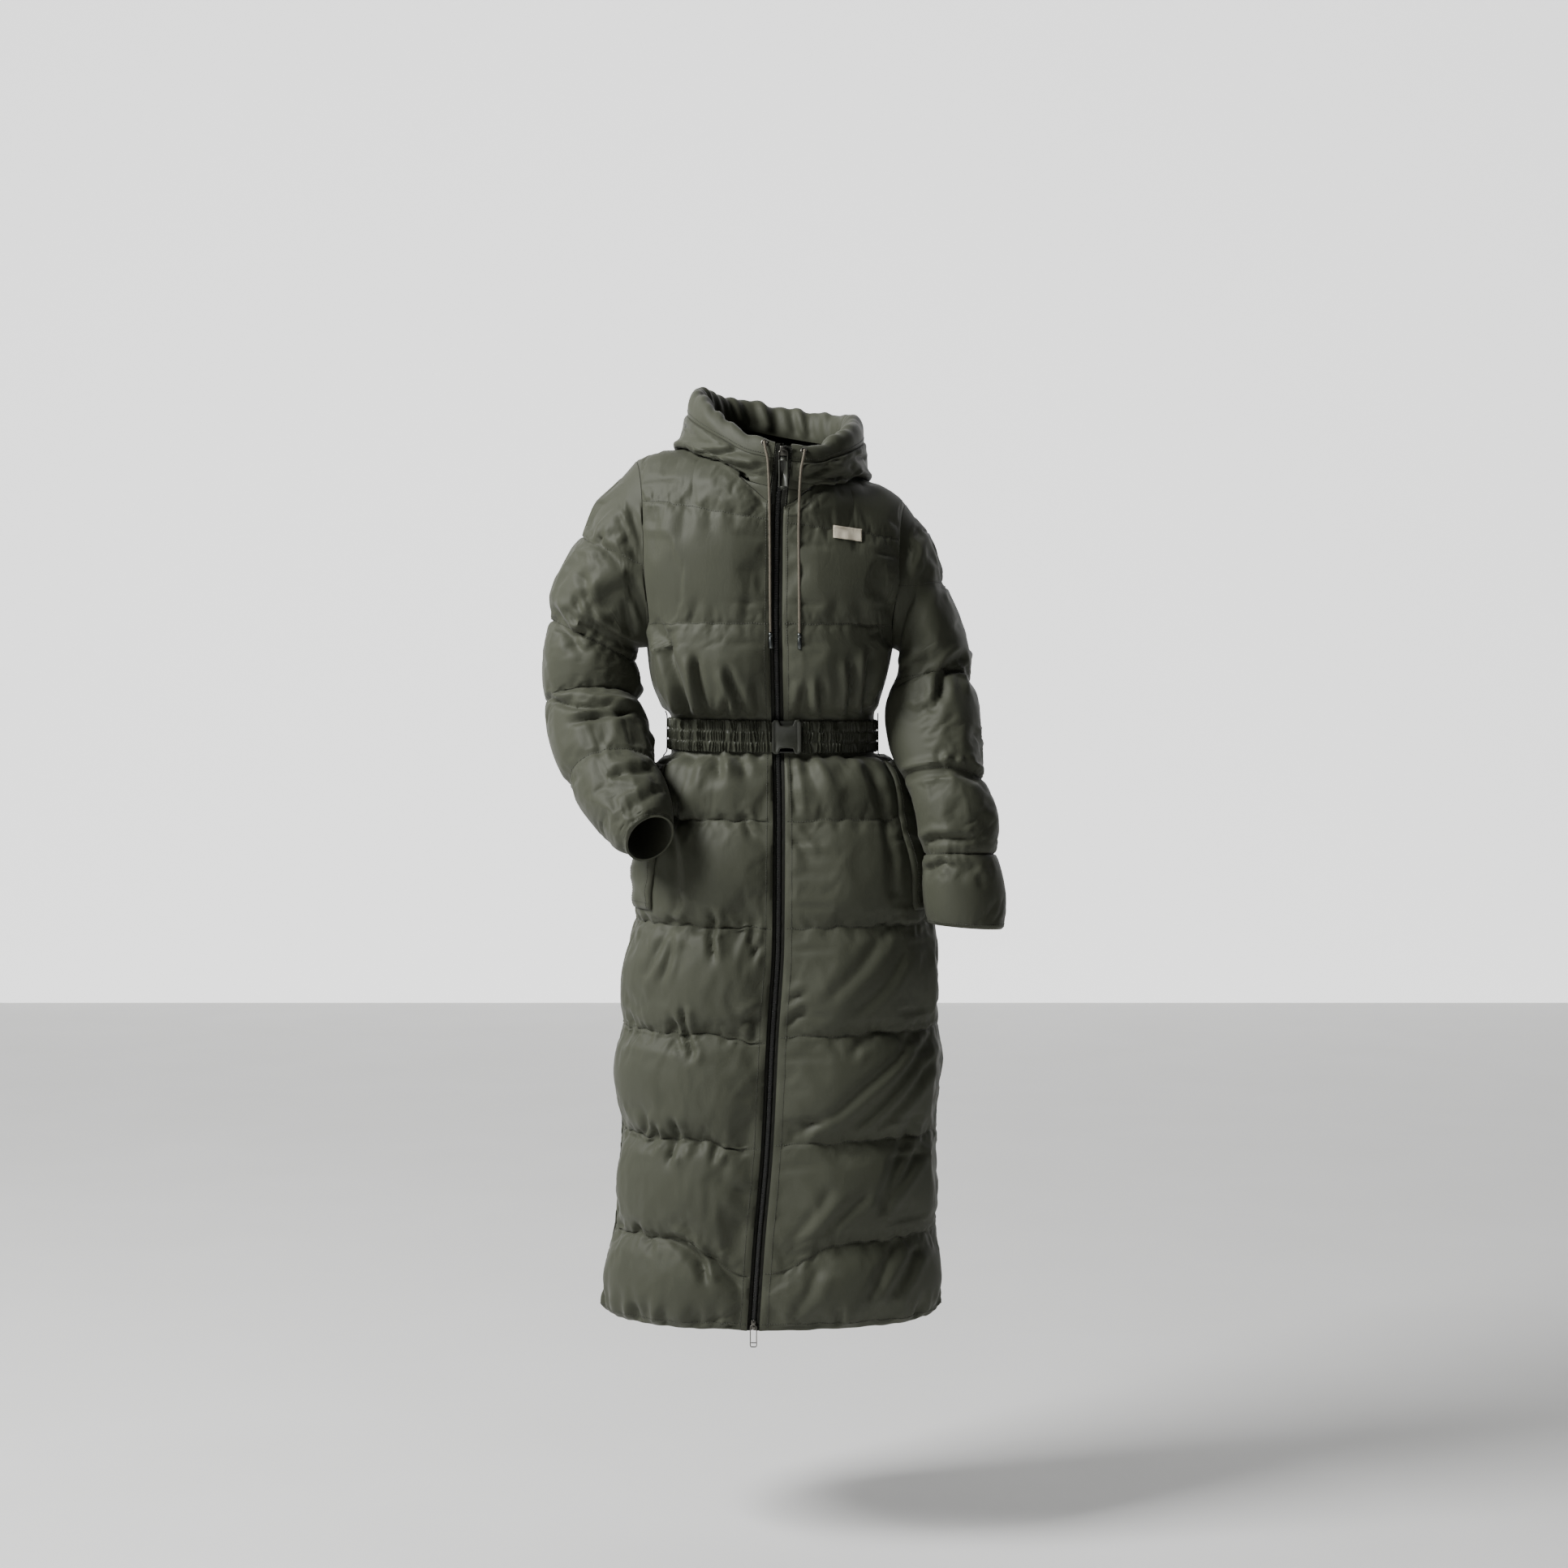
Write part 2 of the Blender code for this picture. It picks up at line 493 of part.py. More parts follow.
def hood_surface(angle, t):
    """The hood's plain inner face: t is 0 at the neck seam, and 1 at the rim's seam."""
    angle, t = np.broadcast_arrays(np.asarray(angle, float), np.asarray(t, float))
    last = len(HOOD_KNOTS) - 1
    at = t * last
    i = np.clip(np.floor(at), 0, last - 1).astype(int)
    f = at - i
    place = []
    for end in ("_r", "_z"):
        knots = np.stack([hood_read(knot + end, angle) for knot in HOOD_KNOTS], -1)
        around = [np.clip(i + k, 0, last)[..., None] for k in (-1, 0, 1, 2)]
        before, a, b, after = (np.take_along_axis(knots, index, -1)[..., 0] for index in around)
        bend = (2 * before - 5 * a + 4 * b - after) * f + (3 * (a - b) + after - before) * f * f
        place.append(a + 0.5 * f * (b - before + bend))
    return hood_place(*place, angle)


# ------------------------------------------------------------------ filling, folds and walls
def loft(share):
    """The filling's height across a channel, share 0 to 1 between its stitched lines."""
    return np.clip(1 - np.abs(2 * share - 1) ** 2.2, 0, 1) ** 0.5


def edge_taper(distance, reach):
    """0 on a seam and 1 beyond reach, rounded."""
    return np.sqrt(np.clip(distance / reach, 0, 1) * (2 - np.clip(distance / reach, 0, 1)))


def belt_clear(z):
    """0 under the belt and 1 away from it."""
    return ease(np.abs(z - BELT_Z), BELT_WIDTH * 0.53, BELT_WIDTH * 1.15)


def body_thickness(s, v, points, width, back):
    """A quilted panel's thickness: its stitched lines, its seams, the belt, and the folds drawn in by it."""
    share = np.where(v >= TOP_V - 1e-6, 1.0, v % 1.0)
    vent = VENT_WIDTH * 0.6 * (1 - ease(v, VENT_TO_V, VENT_TO_V + 0.1))
    from_side = np.maximum((1 - s) * width - vent, 0)
    from_edge = from_side if back else np.minimum(s * width, from_side)
    full = loft(share) * edge_taper(from_edge, PANEL_TAPER)
    under_hood = ease(v, 8.2, 8.7) * (1 - ease(s, 0.60, 0.80))
    under_arm = ease(s, 0.6, 0.85) * ease(v, 5.7, 6.3) * (1 - ease(v, 7.0, 7.6))
    full = full * (1 - 0.8 * under_hood) * (1 - 0.95 * under_arm)
    z = points[..., 2]
    fold = (0.5 - 0.5 * np.cos(2 * math.pi * GATHERS * s)) * np.exp(-np.abs(z - BELT_Z) / GATHER_REACH)
    return WALL + LOFT * belt_clear(z) * full * np.clip(1 - 1.6 * GATHER_DEPTH / LOFT * fold, 0, 1)


def surface_normals(surface, s, v, sign):
    """The outward normals of surface(s, v), from its slopes; sign says which way round it runs."""
    along_s = surface(s + NUDGE, v) - surface(s - NUDGE, v)
    along_v = surface(s, v + NUDGE) - surface(s, v - NUDGE)
    return unit(np.cross(along_s, along_v)) * sign


def add_mesh(name, vertices, faces, material, smooth_angle=40):
    """A mesh object with outward faces, shaded smooth but for its sharp edges."""
    mesh = bpy.data.meshes.new(name)
    mesh.from_pydata([tuple(p) for p in vertices], [], faces)
    mesh.validate()
    mesh.shade_smooth()
    mesh.set_sharp_from_angle(angle=math.radians(smooth_angle))
    mesh.materials.append(material)
    body = bpy.data.objects.new(name, mesh)
    COAT.objects.link(body)
    return body


def add_wall(name, inner, outer, material, closed=False):
    """A closed wall between two grids of points; closed joins the last column to the first."""
    rows, columns = inner.shape[:2]
    count = rows * columns
    vertices = np.concatenate([inner.reshape(-1, 3), outer.reshape(-1, 3)])
    last = columns if closed else columns - 1
    faces = []
    for i in range(rows - 1):
        for j in range(last):
            a, b = i * columns + j, i * columns + (j + 1) % columns
            c, d = b + columns, a + columns
            faces += [(a, d, c, b), (a + count, b + count, c + count, d + count)]
    for j in range(last):
        a, b = j, (j + 1) % columns
        c, d = a + (rows - 1) * columns, b + (rows - 1) * columns
        faces += [(a, b, b + count, a + count), (d, c, c + count, d + count)]
    if not closed:
        for i in range(rows - 1):
            a, b = i * columns, (i + 1) * columns
            c, d = a + columns - 1, b + columns - 1
            faces += [(b, a, a + count, b + count), (c, d, d + count, c + count)]
    if signed_volume(vertices, faces) < 0:
        faces = [face[::-1] for face in faces]
    return add_mesh(name, vertices, faces, material)


def signed_volume(vertices, faces):
    corners = [(f[0], f[k], f[k + 1]) for f in faces for k in range(1, len(f) - 1)]
    a, b, c = (vertices[[corner[k] for corner in corners]] for k in range(3))
    return float((a * np.cross(b, c)).sum()) / 6


def add_loft(name, sections, material, closed=False):
    """A solid through rings of points, with flat ends unless closed joins the last ring to the first."""
    sections = np.array(sections, float)
    rings, around = sections.shape[:2]
    vertices = sections.reshape(-1, 3)
    faces = []
    for i in range(rings if closed else rings - 1):
        for j in range(around):
            a, b = i * around + j, i * around + (j + 1) % around
            c, d = ((i + 1) % rings) * around + (j + 1) % around, ((i + 1) % rings) * around + j
            faces.append((a, b, c, d))
    if not closed:
        faces += [tuple(range(around))[::-1], tuple(range((rings - 1) * around, rings * around))]
    if signed_volume(vertices, faces) < 0:
        faces = [face[::-1] for face in faces]
    return add_mesh(name, vertices, faces, material)


def add_tube(name, points, radius, material, closed=False, resolution=2):
    """A round wire or cord along points."""
    curve = bpy.data.curves.new(name, "CURVE")
    curve.dimensions = "3D"
    curve.bevel_depth = radius
    curve.bevel_resolution = resolution
    curve.use_fill_caps = not closed
    spline = curve.splines.new("POLY")
    spline.points.add(len(points) - 1)
    for knot, place in zip(spline.points, points):
        knot.co = (*place, 1.0)
    spline.use_cyclic_u = closed
    curve.materials.append(material)
    body = bpy.data.objects.new(name, curve)
    COAT.objects.link(body)
    return body


def add_frame(name, hole, outline, depth, material):
    """A plate with one hole: two loops with matching corners, and the step from its back to its front."""
    inner, outer = (np.array(loop, float) for loop in (hole, outline))
    walls = [np.stack([loop, loop + depth]) for loop in (inner, outer)]
    return add_wall(name, *walls, material, closed=True)


def round_edges(body, radius):
    bevel = body.modifiers.new("edge", "BEVEL")
    bevel.width = radius
    bevel.segments = 1
    bevel.limit_method = "ANGLE"
    bevel.angle_limit = math.radians(40)


def turn_about(body, place):
    """Moves a body's origin to place, without moving the body."""
    for vertex in body.data.vertices:
        vertex.co = vertex.co - Vector(place)
    body.location = place


def cloth_tree(bodies):
    """The faces of several bodies, to be looked up together."""
    vertices, faces = [], []
    for body in bodies:
        start = len(vertices)
        vertices += [tuple(vertex.co) for vertex in body.data.vertices]
        faces += [[start + i for i in face.vertices] for face in body.data.polygons]
    return BVHTree.FromPolygons(vertices, faces)


def clear_of(point, tree, clearance):
    """A point moved up, then away, until it is clearance from the cloth under it."""
    met = tree.ray_cast(point + [0, 0, 0.2], (0, 0, -1))[0]
    if met and point[2] < met[2] + 0.5 * clearance:
        point = np.array([point[0], point[1], met[2] + 0.5 * clearance])
    for _ in range(4):
        nearest, _, _, distance = tree.find_nearest(point)
        away = point - np.array(nearest)
        point = point + unit(away) * max(0.0, clearance - distance)
    return point


def lay(points, normals, tree, clearance):
    """Moves points along their normals until they lie clearance above the cloth."""
    laid = points.copy()
    for i in np.ndindex(points.shape[:-1]):
        met = tree.ray_cast(points[i] + normals[i] * CAST_FROM, -normals[i])[0]
        laid[i] = np.array(met) + normals[i] * clearance
    return laid


# ------------------------------------------------------------------ materials
def paint(name, colour, roughness, metallic):
    """A Principled material from a linear colour."""
    material = bpy.data.materials.new(name)
    material.use_nodes = True
    shader = material.node_tree.nodes["Principled BSDF"]
    shader.inputs["Base Color"].default_value = (*colour, 1.0)
    shader.inputs["Roughness"].default_value = roughness
    shader.inputs["Metallic"].default_value = metallic
    return material


# ------------------------------------------------------------------ panels and sleeves
PANEL_ROWS = sorted(
    {k + f for k in range(5) for f in (0.0, 0.22, 0.78)}
    | {5.0, 5.25, 5.5, 5.66, 6.03, 6.25, 6.5, UNDERARM_V, 7.0, 7.22, CHEST_V, 7.78, 8.0, 8.3, 8.65, 9.0}
)
FRONT_COLUMNS = np.array((0.0, 0.035, 0.1, 0.2, 0.3, 0.4, 0.5, 0.6, 0.7, 0.8, 0.9, 0.955, 1.0))
BACK_COLUMNS = np.array((0.0, 0.1, 0.2, 0.3, 0.4, 0.5, 0.6, 0.7, 0.8, 0.9, 0.955, 1.0))
ARMHOLE_TURNS = [armhole_turn(v) for v in PANEL_ROWS if v >= UNDERARM_V - 1e-6]
SLEEVE_ROWS = {
    "right": (0, 0.35, 0.8, 1.4, 2.0, 2.6, 3.1, 3.6, 4.4, 5.05, 5.6, 6.4, 7.0, 7.5, 8.3, 9.0),
    "left": (0, 0.4, 0.9, 1.6, 2.4, 3.3, 4.1, 5.0, 5.9, 6.7, 7.3, 7.9, 8.5, 9.05, 9.6, 10.0),
}


def panel_place(side, back):
    """A panel's plain inner face as a function of s and v, and the sign of its normals."""

    def place(s, v):
        return stance(body_surface(s, v, side, back))

    return place, (-side if back else side)


def body_panel(side, back):
    """Points, outward normals and thickness of a front or of half the back."""
    s, v = np.meshgrid(BACK_COLUMNS if back else FRONT_COLUMNS, PANEL_ROWS)
    place, sign = panel_place(side, back)
    points = place(s, v)
    normals = surface_normals(place, s, v, sign)
    # Along the armhole a panel's edge lies square to the sleeve's, and beside the zip to the neck insert's.
    for i, turn in enumerate(ARMHOLE_TURNS, start=PANEL_ROWS.index(UNDERARM_V)):
        normals[i, -1] = armhole_out(turn, side) * (1, -1 if back else 1, 1)
    if not back:
        inserted = FRONT_COLUMNS < NECK_S * 0.45
        normals[-1, inserted] = neck_out(points[-1, inserted])
    width = np.linalg.norm(np.diff(points, axis=1), axis=-1).sum(1)[:, None]
    thickness = body_thickness(s, v, points, width, back)
    apart = SEAM_GAP / 2 * (1 if back else -1)
    points[:, -1, 1] += apart
    points[-1, :, 1] += apart * (s[-1] >= NECK_S)
    return points, normals, thickness


def neck_out(points):
    """The level direction away from the middle of the neck."""
    away = np.asarray(points, float) - [TORSO_X, 0.0, 0.0]
    away[..., 2] = 0
    return unit(away)


def front(name, side, material):
    points, normals, thickness = body_panel(side, False)
    return add_wall(name, points, points + normals * thickness[..., None], material)


def back(name, material):
    halves = zip(body_panel(-1, True), body_panel(1, True))
    points, normals, thickness = (np.concatenate([right[:, :0:-1], left], 1) for right, left in halves)
    return add_wall(name, points, points + normals * thickness[..., None], material)


def sleeve(name, side, material):
    """A quilted sleeve, from the armhole to the cuff."""
    turns = np.array(ARMHOLE_TURNS[::-1] + [2 * math.pi - turn for turn in ARMHOLE_TURNS[1:-1]])
    turn, row = np.meshgrid(turns, np.array(SLEEVE_ROWS["left" if side > 0 else "right"], float))

    def place(turn_at, row_at):
        return sleeve_surface(turn_at, row_at, side)

    points = place(turn, row)
    normals = surface_normals(place, turn, row, side)
    normals[0] = armhole_out(turns, side)
    cut_at = sleeve_cut(turn, row, side)
    lines = np.array(SLEEVE_QUILT_CUT)
    i = np.clip(np.searchsorted(lines, cut_at, side="right") - 1, 0, len(lines) - 2)
    share = np.clip((cut_at - lines[i]) / (lines[i + 1] - lines[i]), 0, 1)
    table = SLEEVE_LEFT if side > 0 else SLEEVE_RIGHT
    pressed = read_row(table, SLEEVE_COLUMNS, "pressed", row) * ease(-np.cos(turn), -0.2, 0.5)
    thickness = WALL + LOFT * SLEEVE_LOFT * loft(share) * ease(row, 0, 1.2) * (1 - pressed)
    return add_wall(name, points, points + normals * thickness[..., None], material, closed=True)


# ------------------------------------------------------------------ the hood and the neck
HOOD_ROWS = np.array((0, 0.12, 0.25, 0.36, 0.45, 0.55, 0.66, 0.82, 1.0))
HOOD_FRONT_ANGLE = math.degrees(math.asin(ZIP_HALF / 0.117))  # where its edge meets the zip
RIM_TURNS = np.radians(np.linspace(-10, 215, 8))
INSERT_ANGLE = 18.5  # where the neck insert comes to its point
HOOD_SIDE_ANGLES = np.array(
    (HOOD_FRONT_ANGLE, 12, INSERT_ANGLE, 26, 34, 42, 50, 62, 73, 84, 95, 106, HOOD_PANEL_ANGLE)
)


def hood_panel(name, angles, coat, material):
    """Part of the hood between two directions round the neck, lying on the coat."""
    angle, t = np.meshgrid(angles, HOOD_ROWS)

    def place(turn, t_at):
        return hood_surface(np.degrees(turn), t_at)

    points = hood_surface(angle, t)
    normals = surface_normals(place, np.radians(angle), t, 1)
    for i in np.ndindex(angle.shape):
        if abs(angle[i]) > INSERT_ANGLE + 1:
            lift = HOOD_CENTRE_LIFT * (abs(angle[i]) > HOOD_PANEL_ANGLE)
            points[i] = clear_of(points[i], coat, HOOD_CLEAR + lift)
    normals[-1] = neck_out(points[-1])
    beside_insert = np.abs(angles) < INSERT_ANGLE + 3
    normals[0, beside_insert] = neck_out(points[0, beside_insert])
    span = math.radians(np.ptp(angles)) * HOOD_RADIUS
    share = np.abs(angle - angles[0]) / np.ptp(angles)
    full = edge_taper((1 - t) * HOOD_RISE, HOOD_TAPER)
    full = full * edge_taper(np.minimum(share, 1 - share) * span, HOOD_TAPER)
    thickness = HOOD_WALL + HOOD_LOFT * full * ease(t, HOOD_FULL_FROM, HOOD_FULL_AT)
    return add_wall(name, points, points + normals * thickness[..., None], material)


def hood_rim(name, material):
    """The padded edge of the hood's opening, rolled inwards, from one side of the zip to the other."""
    half = np.concatenate([np.linspace(HOOD_FRONT_ANGLE, 40, 5), np.linspace(54, 180, 9)])
    angles = np.concatenate([half, 360 - half[-2::-1]])
    seam = hood_surface(angles, 1.0)
    out, up = neck_out(seam), np.array([0.0, 0.0, 1.0])
    wide, tall = hood_read("wide", angles)[:, None], hood_read("tall", angles)[:, None]
    first = RIM_TURNS[0]
    middle = seam + out * (HOOD_WALL - wide * math.cos(first)) + up * (SEAM_GAP - tall * math.sin(first))
    outer = [middle + out * wide * math.cos(turn) + up * tall * math.sin(turn) for turn in RIM_TURNS]
    walls = HOOD_WALL + (RIM_WALL - HOOD_WALL) * ease(RIM_TURNS, first, 1.0)
    inner = [
        middle + out * (wide - wall) * math.cos(turn) + up * (tall - wall) * math.sin(turn)
        for turn, wall in zip(RIM_TURNS, walls)
    ]
    front_share = np.maximum(np.cos(np.radians(angles)), 0) ** 2
    walls = []
    for points in (np.array(inner), np.array(outer)):
        points[..., 0] += (zip_x(points[..., 2]) - zip_x(seam[:, 2])) * front_share
        walls.append(points)
    return add_wall(name, *walls, material)


def neck_insert(name, side, material):
    """The small wedge between the hood's front and the top of a front, beside the zip."""
    share = np.array((0.0, 0.33, 0.66, 0.9))
    upper = hood_surface(side * (HOOD_FRONT_ANGLE + share * (INSERT_ANGLE - HOOD_FRONT_ANGLE)), 0.0)
    lower = stance(body_surface(share * NECK_S * 0.34, TOP_V, side, False))
    lift = np.array([0.0, 0.0, SEAM_GAP])
    points = np.stack([lower + lift, (lower + upper) / 2, upper - lift])
    return add_wall(name, points, points + neck_out(points) * WALL, material)


# ------------------------------------------------------------------ the zip
def zip_depth(z):
    """How far in front of the middle the zip's plain line is."""
    low = read(BODY, BODY_COLUMNS, "front", np.minimum(z, CHEST_Z))
    heights, depths = zip((CHEST_Z, 0.113), (-0.050, 0.115), *ZIP_TOP)
    return np.where(z < CHEST_Z, low, np.interp(z, heights, depths))


def zip_place(z):
    return stance(np.stack([zip_x(z), -zip_depth(z), z + 0.0], -1))


def zip_tape(name, side, material):
    """Woven tape from a front's edge, and the hood's, to the coil."""
    edge = body_surface(0.0, np.array(PANEL_ROWS), side, False)
    top = np.array([(zip_x(z) + side * ZIP_HALF, -depth, z) for z, depth in ZIP_TOP])
    edge = stance(np.concatenate([edge, top]))
    to_middle = np.array([-side, 0.0, 0.0])
    near = edge + to_middle * SEAM_GAP
    far = edge + to_middle * (ZIP_HALF - COIL_HALF - SEAM_GAP)
    points = np.stack([near, far], 1) - [0, TAPE_STEP, 0]
    return add_wall(name, points, points + [0, -TAPE_WALL, 0], material)


def zip_coil(name, material):
    """The closed chain, between the two sliders."""
    foot, head = SLIDERS["bottom"], SLIDERS["top"]
    low, high = foot[0] + foot[2] / 2 + SEAM_GAP, head[0] - head[2] / 2 - SEAM_GAP
    middle = zip_place(np.linspace(low, high, COIL_RINGS))
    back_y, face_y = -SEAM_GAP, -SEAM_GAP - COIL_WALL
    corners = [(-1, back_y), (-COIL_CROWN, face_y), (COIL_CROWN, face_y), (1, back_y)]
    return add_loft(name, [[place + [COIL_HALF * a, y, 0] for a, y in corners] for place in middle], material)


def zip_slider(which, body_material, pull_material):
    """A slider's body, with an eye across it, and its pull, hung in the eye and free to lift."""
    z, width, height, pull_width, pull_length, pull_wall, window = SLIDERS[which]
    middle = zip_place(z) + [0, -COIL_WALL - SLIDER_DEPTH / 2, 0]
    eye = middle + [0, -SLIDER_DEPTH * SLIDER_EYE_FORWARD, 0]
    around = [(1, 1), (-1, 1), (-1, -1), (1, -1)]
    hole = [eye + [-width / 2, a * SLIDER_EYE_DEPTH / 2, b * SLIDER_EYE_HEIGHT / 2] for a, b in around]
    outline = [middle + [-width / 2, a * SLIDER_DEPTH / 2, b * height / 2] for a, b in around]
    slider = add_frame(f"zip_slider_{which}", hole, outline, np.array([width, 0, 0]), body_material)
    round_edges(slider, SLIDER_EDGE)
    bar, outer_half = pull_wall / 2, pull_width / 2
    inner_half = outer_half - (pull_width - width) / 4
    around = [(1, 0), (-1, 0), (-1, 1), (1, 1)]
    hole = [eye + [a * inner_half, bar, -bar - b * window] for a, b in around]
    outline = [eye + [a * outer_half, bar, bar - b * pull_length] for a, b in around]
    pull = add_frame(f"zip_pull_{which}", hole, outline, np.array([0, -pull_wall, 0]), pull_material)
    round_edges(pull, PULL_EDGE)
    turn_about(pull, eye)


# ------------------------------------------------------------------ belt, pockets, vents and trim
def ring_out(angle, z):
    """The outward direction, square to the coat's plain form."""
    along = ring(angle + NUDGE, z) - ring(angle - NUDGE, z)
    return unit(np.stack([along[..., 1], -along[..., 0], 0 * along[..., 0]], -1))


def belt_band(name, material):
    """A gathered elastic band round the waist, its ends at the sides of the buckle."""
    centre, half = (float(read(BODY, BODY_COLUMNS, key, BELT_Z)) for key in ("centre", "half_width"))
    reach = BUCKLE_WIDTH / 2 + SEAM_GAP
    first, last = (float(angle_across((BUCKLE_X + side * reach - centre) / half)) for side in (1, -1))
    angle = np.linspace(first, last + 2 * math.pi, 2 * BELT_WAVES + 1)
    wave = BELT_WAVE_DEPTH * (np.arange(len(angle)) % 2)
    out = ring_out(angle, BELT_Z)
    inner = ring(angle, BELT_Z) + out * (WALL + LAY_GAP + wave)[:, None]
    inner[:, 2] -= BELT_DROP * (inner[:, 0] - BUCKLE_X)
    inner = np.stack([inner - [0, 0, BELT_WIDTH / 2], inner + [0, 0, BELT_WIDTH / 2]])
    return add_wall(name, inner, inner + out * BELT_WALL, material)


def buckle(material):
    """A plain square buckle: a plate with a notch above and below, over the tongue that it holds."""
    front_y = float(ring(0.0, BELT_Z)[1]) - COIL_WALL - SEAM_GAP - TAPE_WALL
    middle = np.array([BUCKLE_X, front_y, BELT_Z])
    half, tall, notch = BUCKLE_WIDTH / 2, BUCKLE_HEIGHT / 2, BUCKLE_NOTCH
    inside = tall - BUCKLE_NOTCH_DEPTH
    upper = [(half, tall), (notch, tall), (notch, inside), (-notch, inside), (-notch, tall), (-half, tall)]
    outline = upper + [(-x, -z) for x, z in upper]
    plate_back = middle - [0, PLATE_FORWARD, 0]
    plate = add_loft(
        "buckle_plate",
        [[plate_back + [x, y, z] for x, z in outline] for y in (0.0, -BUCKLE_WALL)],
        material,
    )
    round_edges(plate, BUCKLE_EDGE)
    wide, high = notch - TONGUE_PLAY[0], tall - TONGUE_PLAY[1]
    tongue = [(wide, high), (-wide, high), (-wide, -high), (wide, -high)]
    rings = [[middle + [x, y, z] for x, z in tongue] for y in (0.0, -TONGUE_WALL)]
    add_loft("buckle_tongue", rings, material)


def belt_loop(name, side, material):
    """A worked thread loop that keeps the belt at the side seam."""
    angle = side * BELT_LOOP_ANGLE
    drop = BELT_DROP * side * BELT_LOOP_X
    points = []
    for rise, away in BELT_LOOP_ROUTE:
        place = ring(angle, BELT_Z + rise)
        points.append(place + ring_out(angle, BELT_Z + rise) * away - [0, 0, drop])
    return add_tube(name, points, BELT_LOOP_RADIUS, material)


def pocket_welt(name, side, coat, material):
    """A padded welt beside the pocket's mouth, laid on a front."""
    place, sign = panel_place(side, False)
    v = np.array(POCKET_ROWS)[:, None]
    share = np.array((0.0, 0.25, 0.5, 0.75, 1.0))[None, :]
    near, far = (read(POCKET, POCKET_COLUMNS, key, v) for key in ("s_edge", "s_side"))
    s = near + (far - near) * share
    normals = surface_normals(place, s, v + 0 * s, sign)
    points = lay(place(s, v + 0 * s), normals, coat, POCKET_LIFT)
    inside = (share > 0) * (share < 1) * (v > POCKET_ROWS[0]) * (v < POCKET_ROWS[-1])
    raised = POCKET_WALL + POCKET_LOFT * inside
    return add_wall(name, points, points + normals * raised[..., None], material)


def side_vent(name, side, coat, material):
    """A binding down the vent at the foot of a side seam."""
    z = np.linspace(level(VENT_FROM_V), level(VENT_TO_V), 14)[:, None]
    reach = VENT_WIDTH / 2 / VENT_DEPTH
    angle = side * (math.pi / 2 + reach * np.array((-1.0, 0.1, 1.0))[None, :])
    points = ring(angle, z)
    out = np.broadcast_to([side, 0.0, 0.0], points.shape)
    points = lay(points, out, coat, VENT_LIFT)
    return add_wall(name, points, points + out * VENT_WALL, material)


def snap(name, side, coat, material):
    """A press stud at the foot of the vent."""
    place = ring(side * (math.pi / 2 - SNAP_TURN), SNAP_Z) + [side * CAST_FROM, 0, 0]
    met = np.array(coat.ray_cast(place, (-side, 0, 0))[0])
    turns = np.linspace(0, 2 * math.pi, 12, endpoint=False)
    rings = []
    for rise, radius in ((0.0, 1.0), (0.6, 1.0), (1.0, 0.7)):
        wide, away = SNAP_RADIUS * radius, SNAP_LIFT + SNAP_HEIGHT * rise
        rings.append([met + [side * away, wide * math.cos(t), wide * math.sin(t)] for t in turns])
    return add_loft(name, rings, material)


def label_patch(name, coat, material):
    """A plain woven patch on the wearer's left breast."""
    x, up = np.meshgrid(np.linspace(-0.5, 0.5, 5) * LABEL_WIDTH, np.linspace(-0.5, 0.5, 3) * LABEL_HEIGHT)
    points = np.stack([LABEL_AT[0] + x, 0 * x - 0.10, LABEL_AT[1] + up - LABEL_SLOPE * x], -1)
    out = np.broadcast_to([0.0, -1.0, 0.0], points.shape)
    points = lay(points, out, coat, LABEL_LIFT)
    return add_wall(name, points, points + out * LABEL_WALL, material)


def drawcord(side_name, route, cord_material, aglet_material, eyelet_material):
    """A cord out of its eyelet in the hood's edge, hanging free to a metal-tipped end."""
    route = np.array(route)
    along = np.linspace(0, len(route) - 1, CORD_POINTS)
    points = np.stack([smooth(np.arange(len(route)), route[:, k], along) for k in range(3)], -1)
    add_tube(f"drawcord_{side_name}", points, CORD_RADIUS, cord_material)
    down = unit(points[-1] - points[-2])
    start = points[-1] + down * SEAM_GAP
    side, face = unit(np.cross(down, [0, 1.0, 0])), np.array([0, 1.0, 0])
    turns = np.linspace(0, 2 * math.pi, 8, endpoint=False)
    rings = []
    for share, radius in AGLET_RINGS:
        centre, wide = start + down * AGLET_LENGTH * share, AGLET_RADIUS * radius
        rings.append([centre + (side * math.cos(t) + face * math.sin(t)) * wide for t in turns])
    add_loft(f"aglet_{side_name}", rings, aglet_material)
    out = unit(points[1] - points[0])
    across_ring = unit(np.cross(out, [0, 0, 1.0]))
    up = np.cross(across_ring, out)
    turns = np.linspace(0, 2 * math.pi, 16, endpoint=False)
    loop = [points[0] + (across_ring * math.cos(t) + up * math.sin(t)) * EYELET_RADIUS for t in turns]
    add_tube(f"eyelet_{side_name}", loop, EYELET_WIRE, eyelet_material, closed=True, resolution=1)


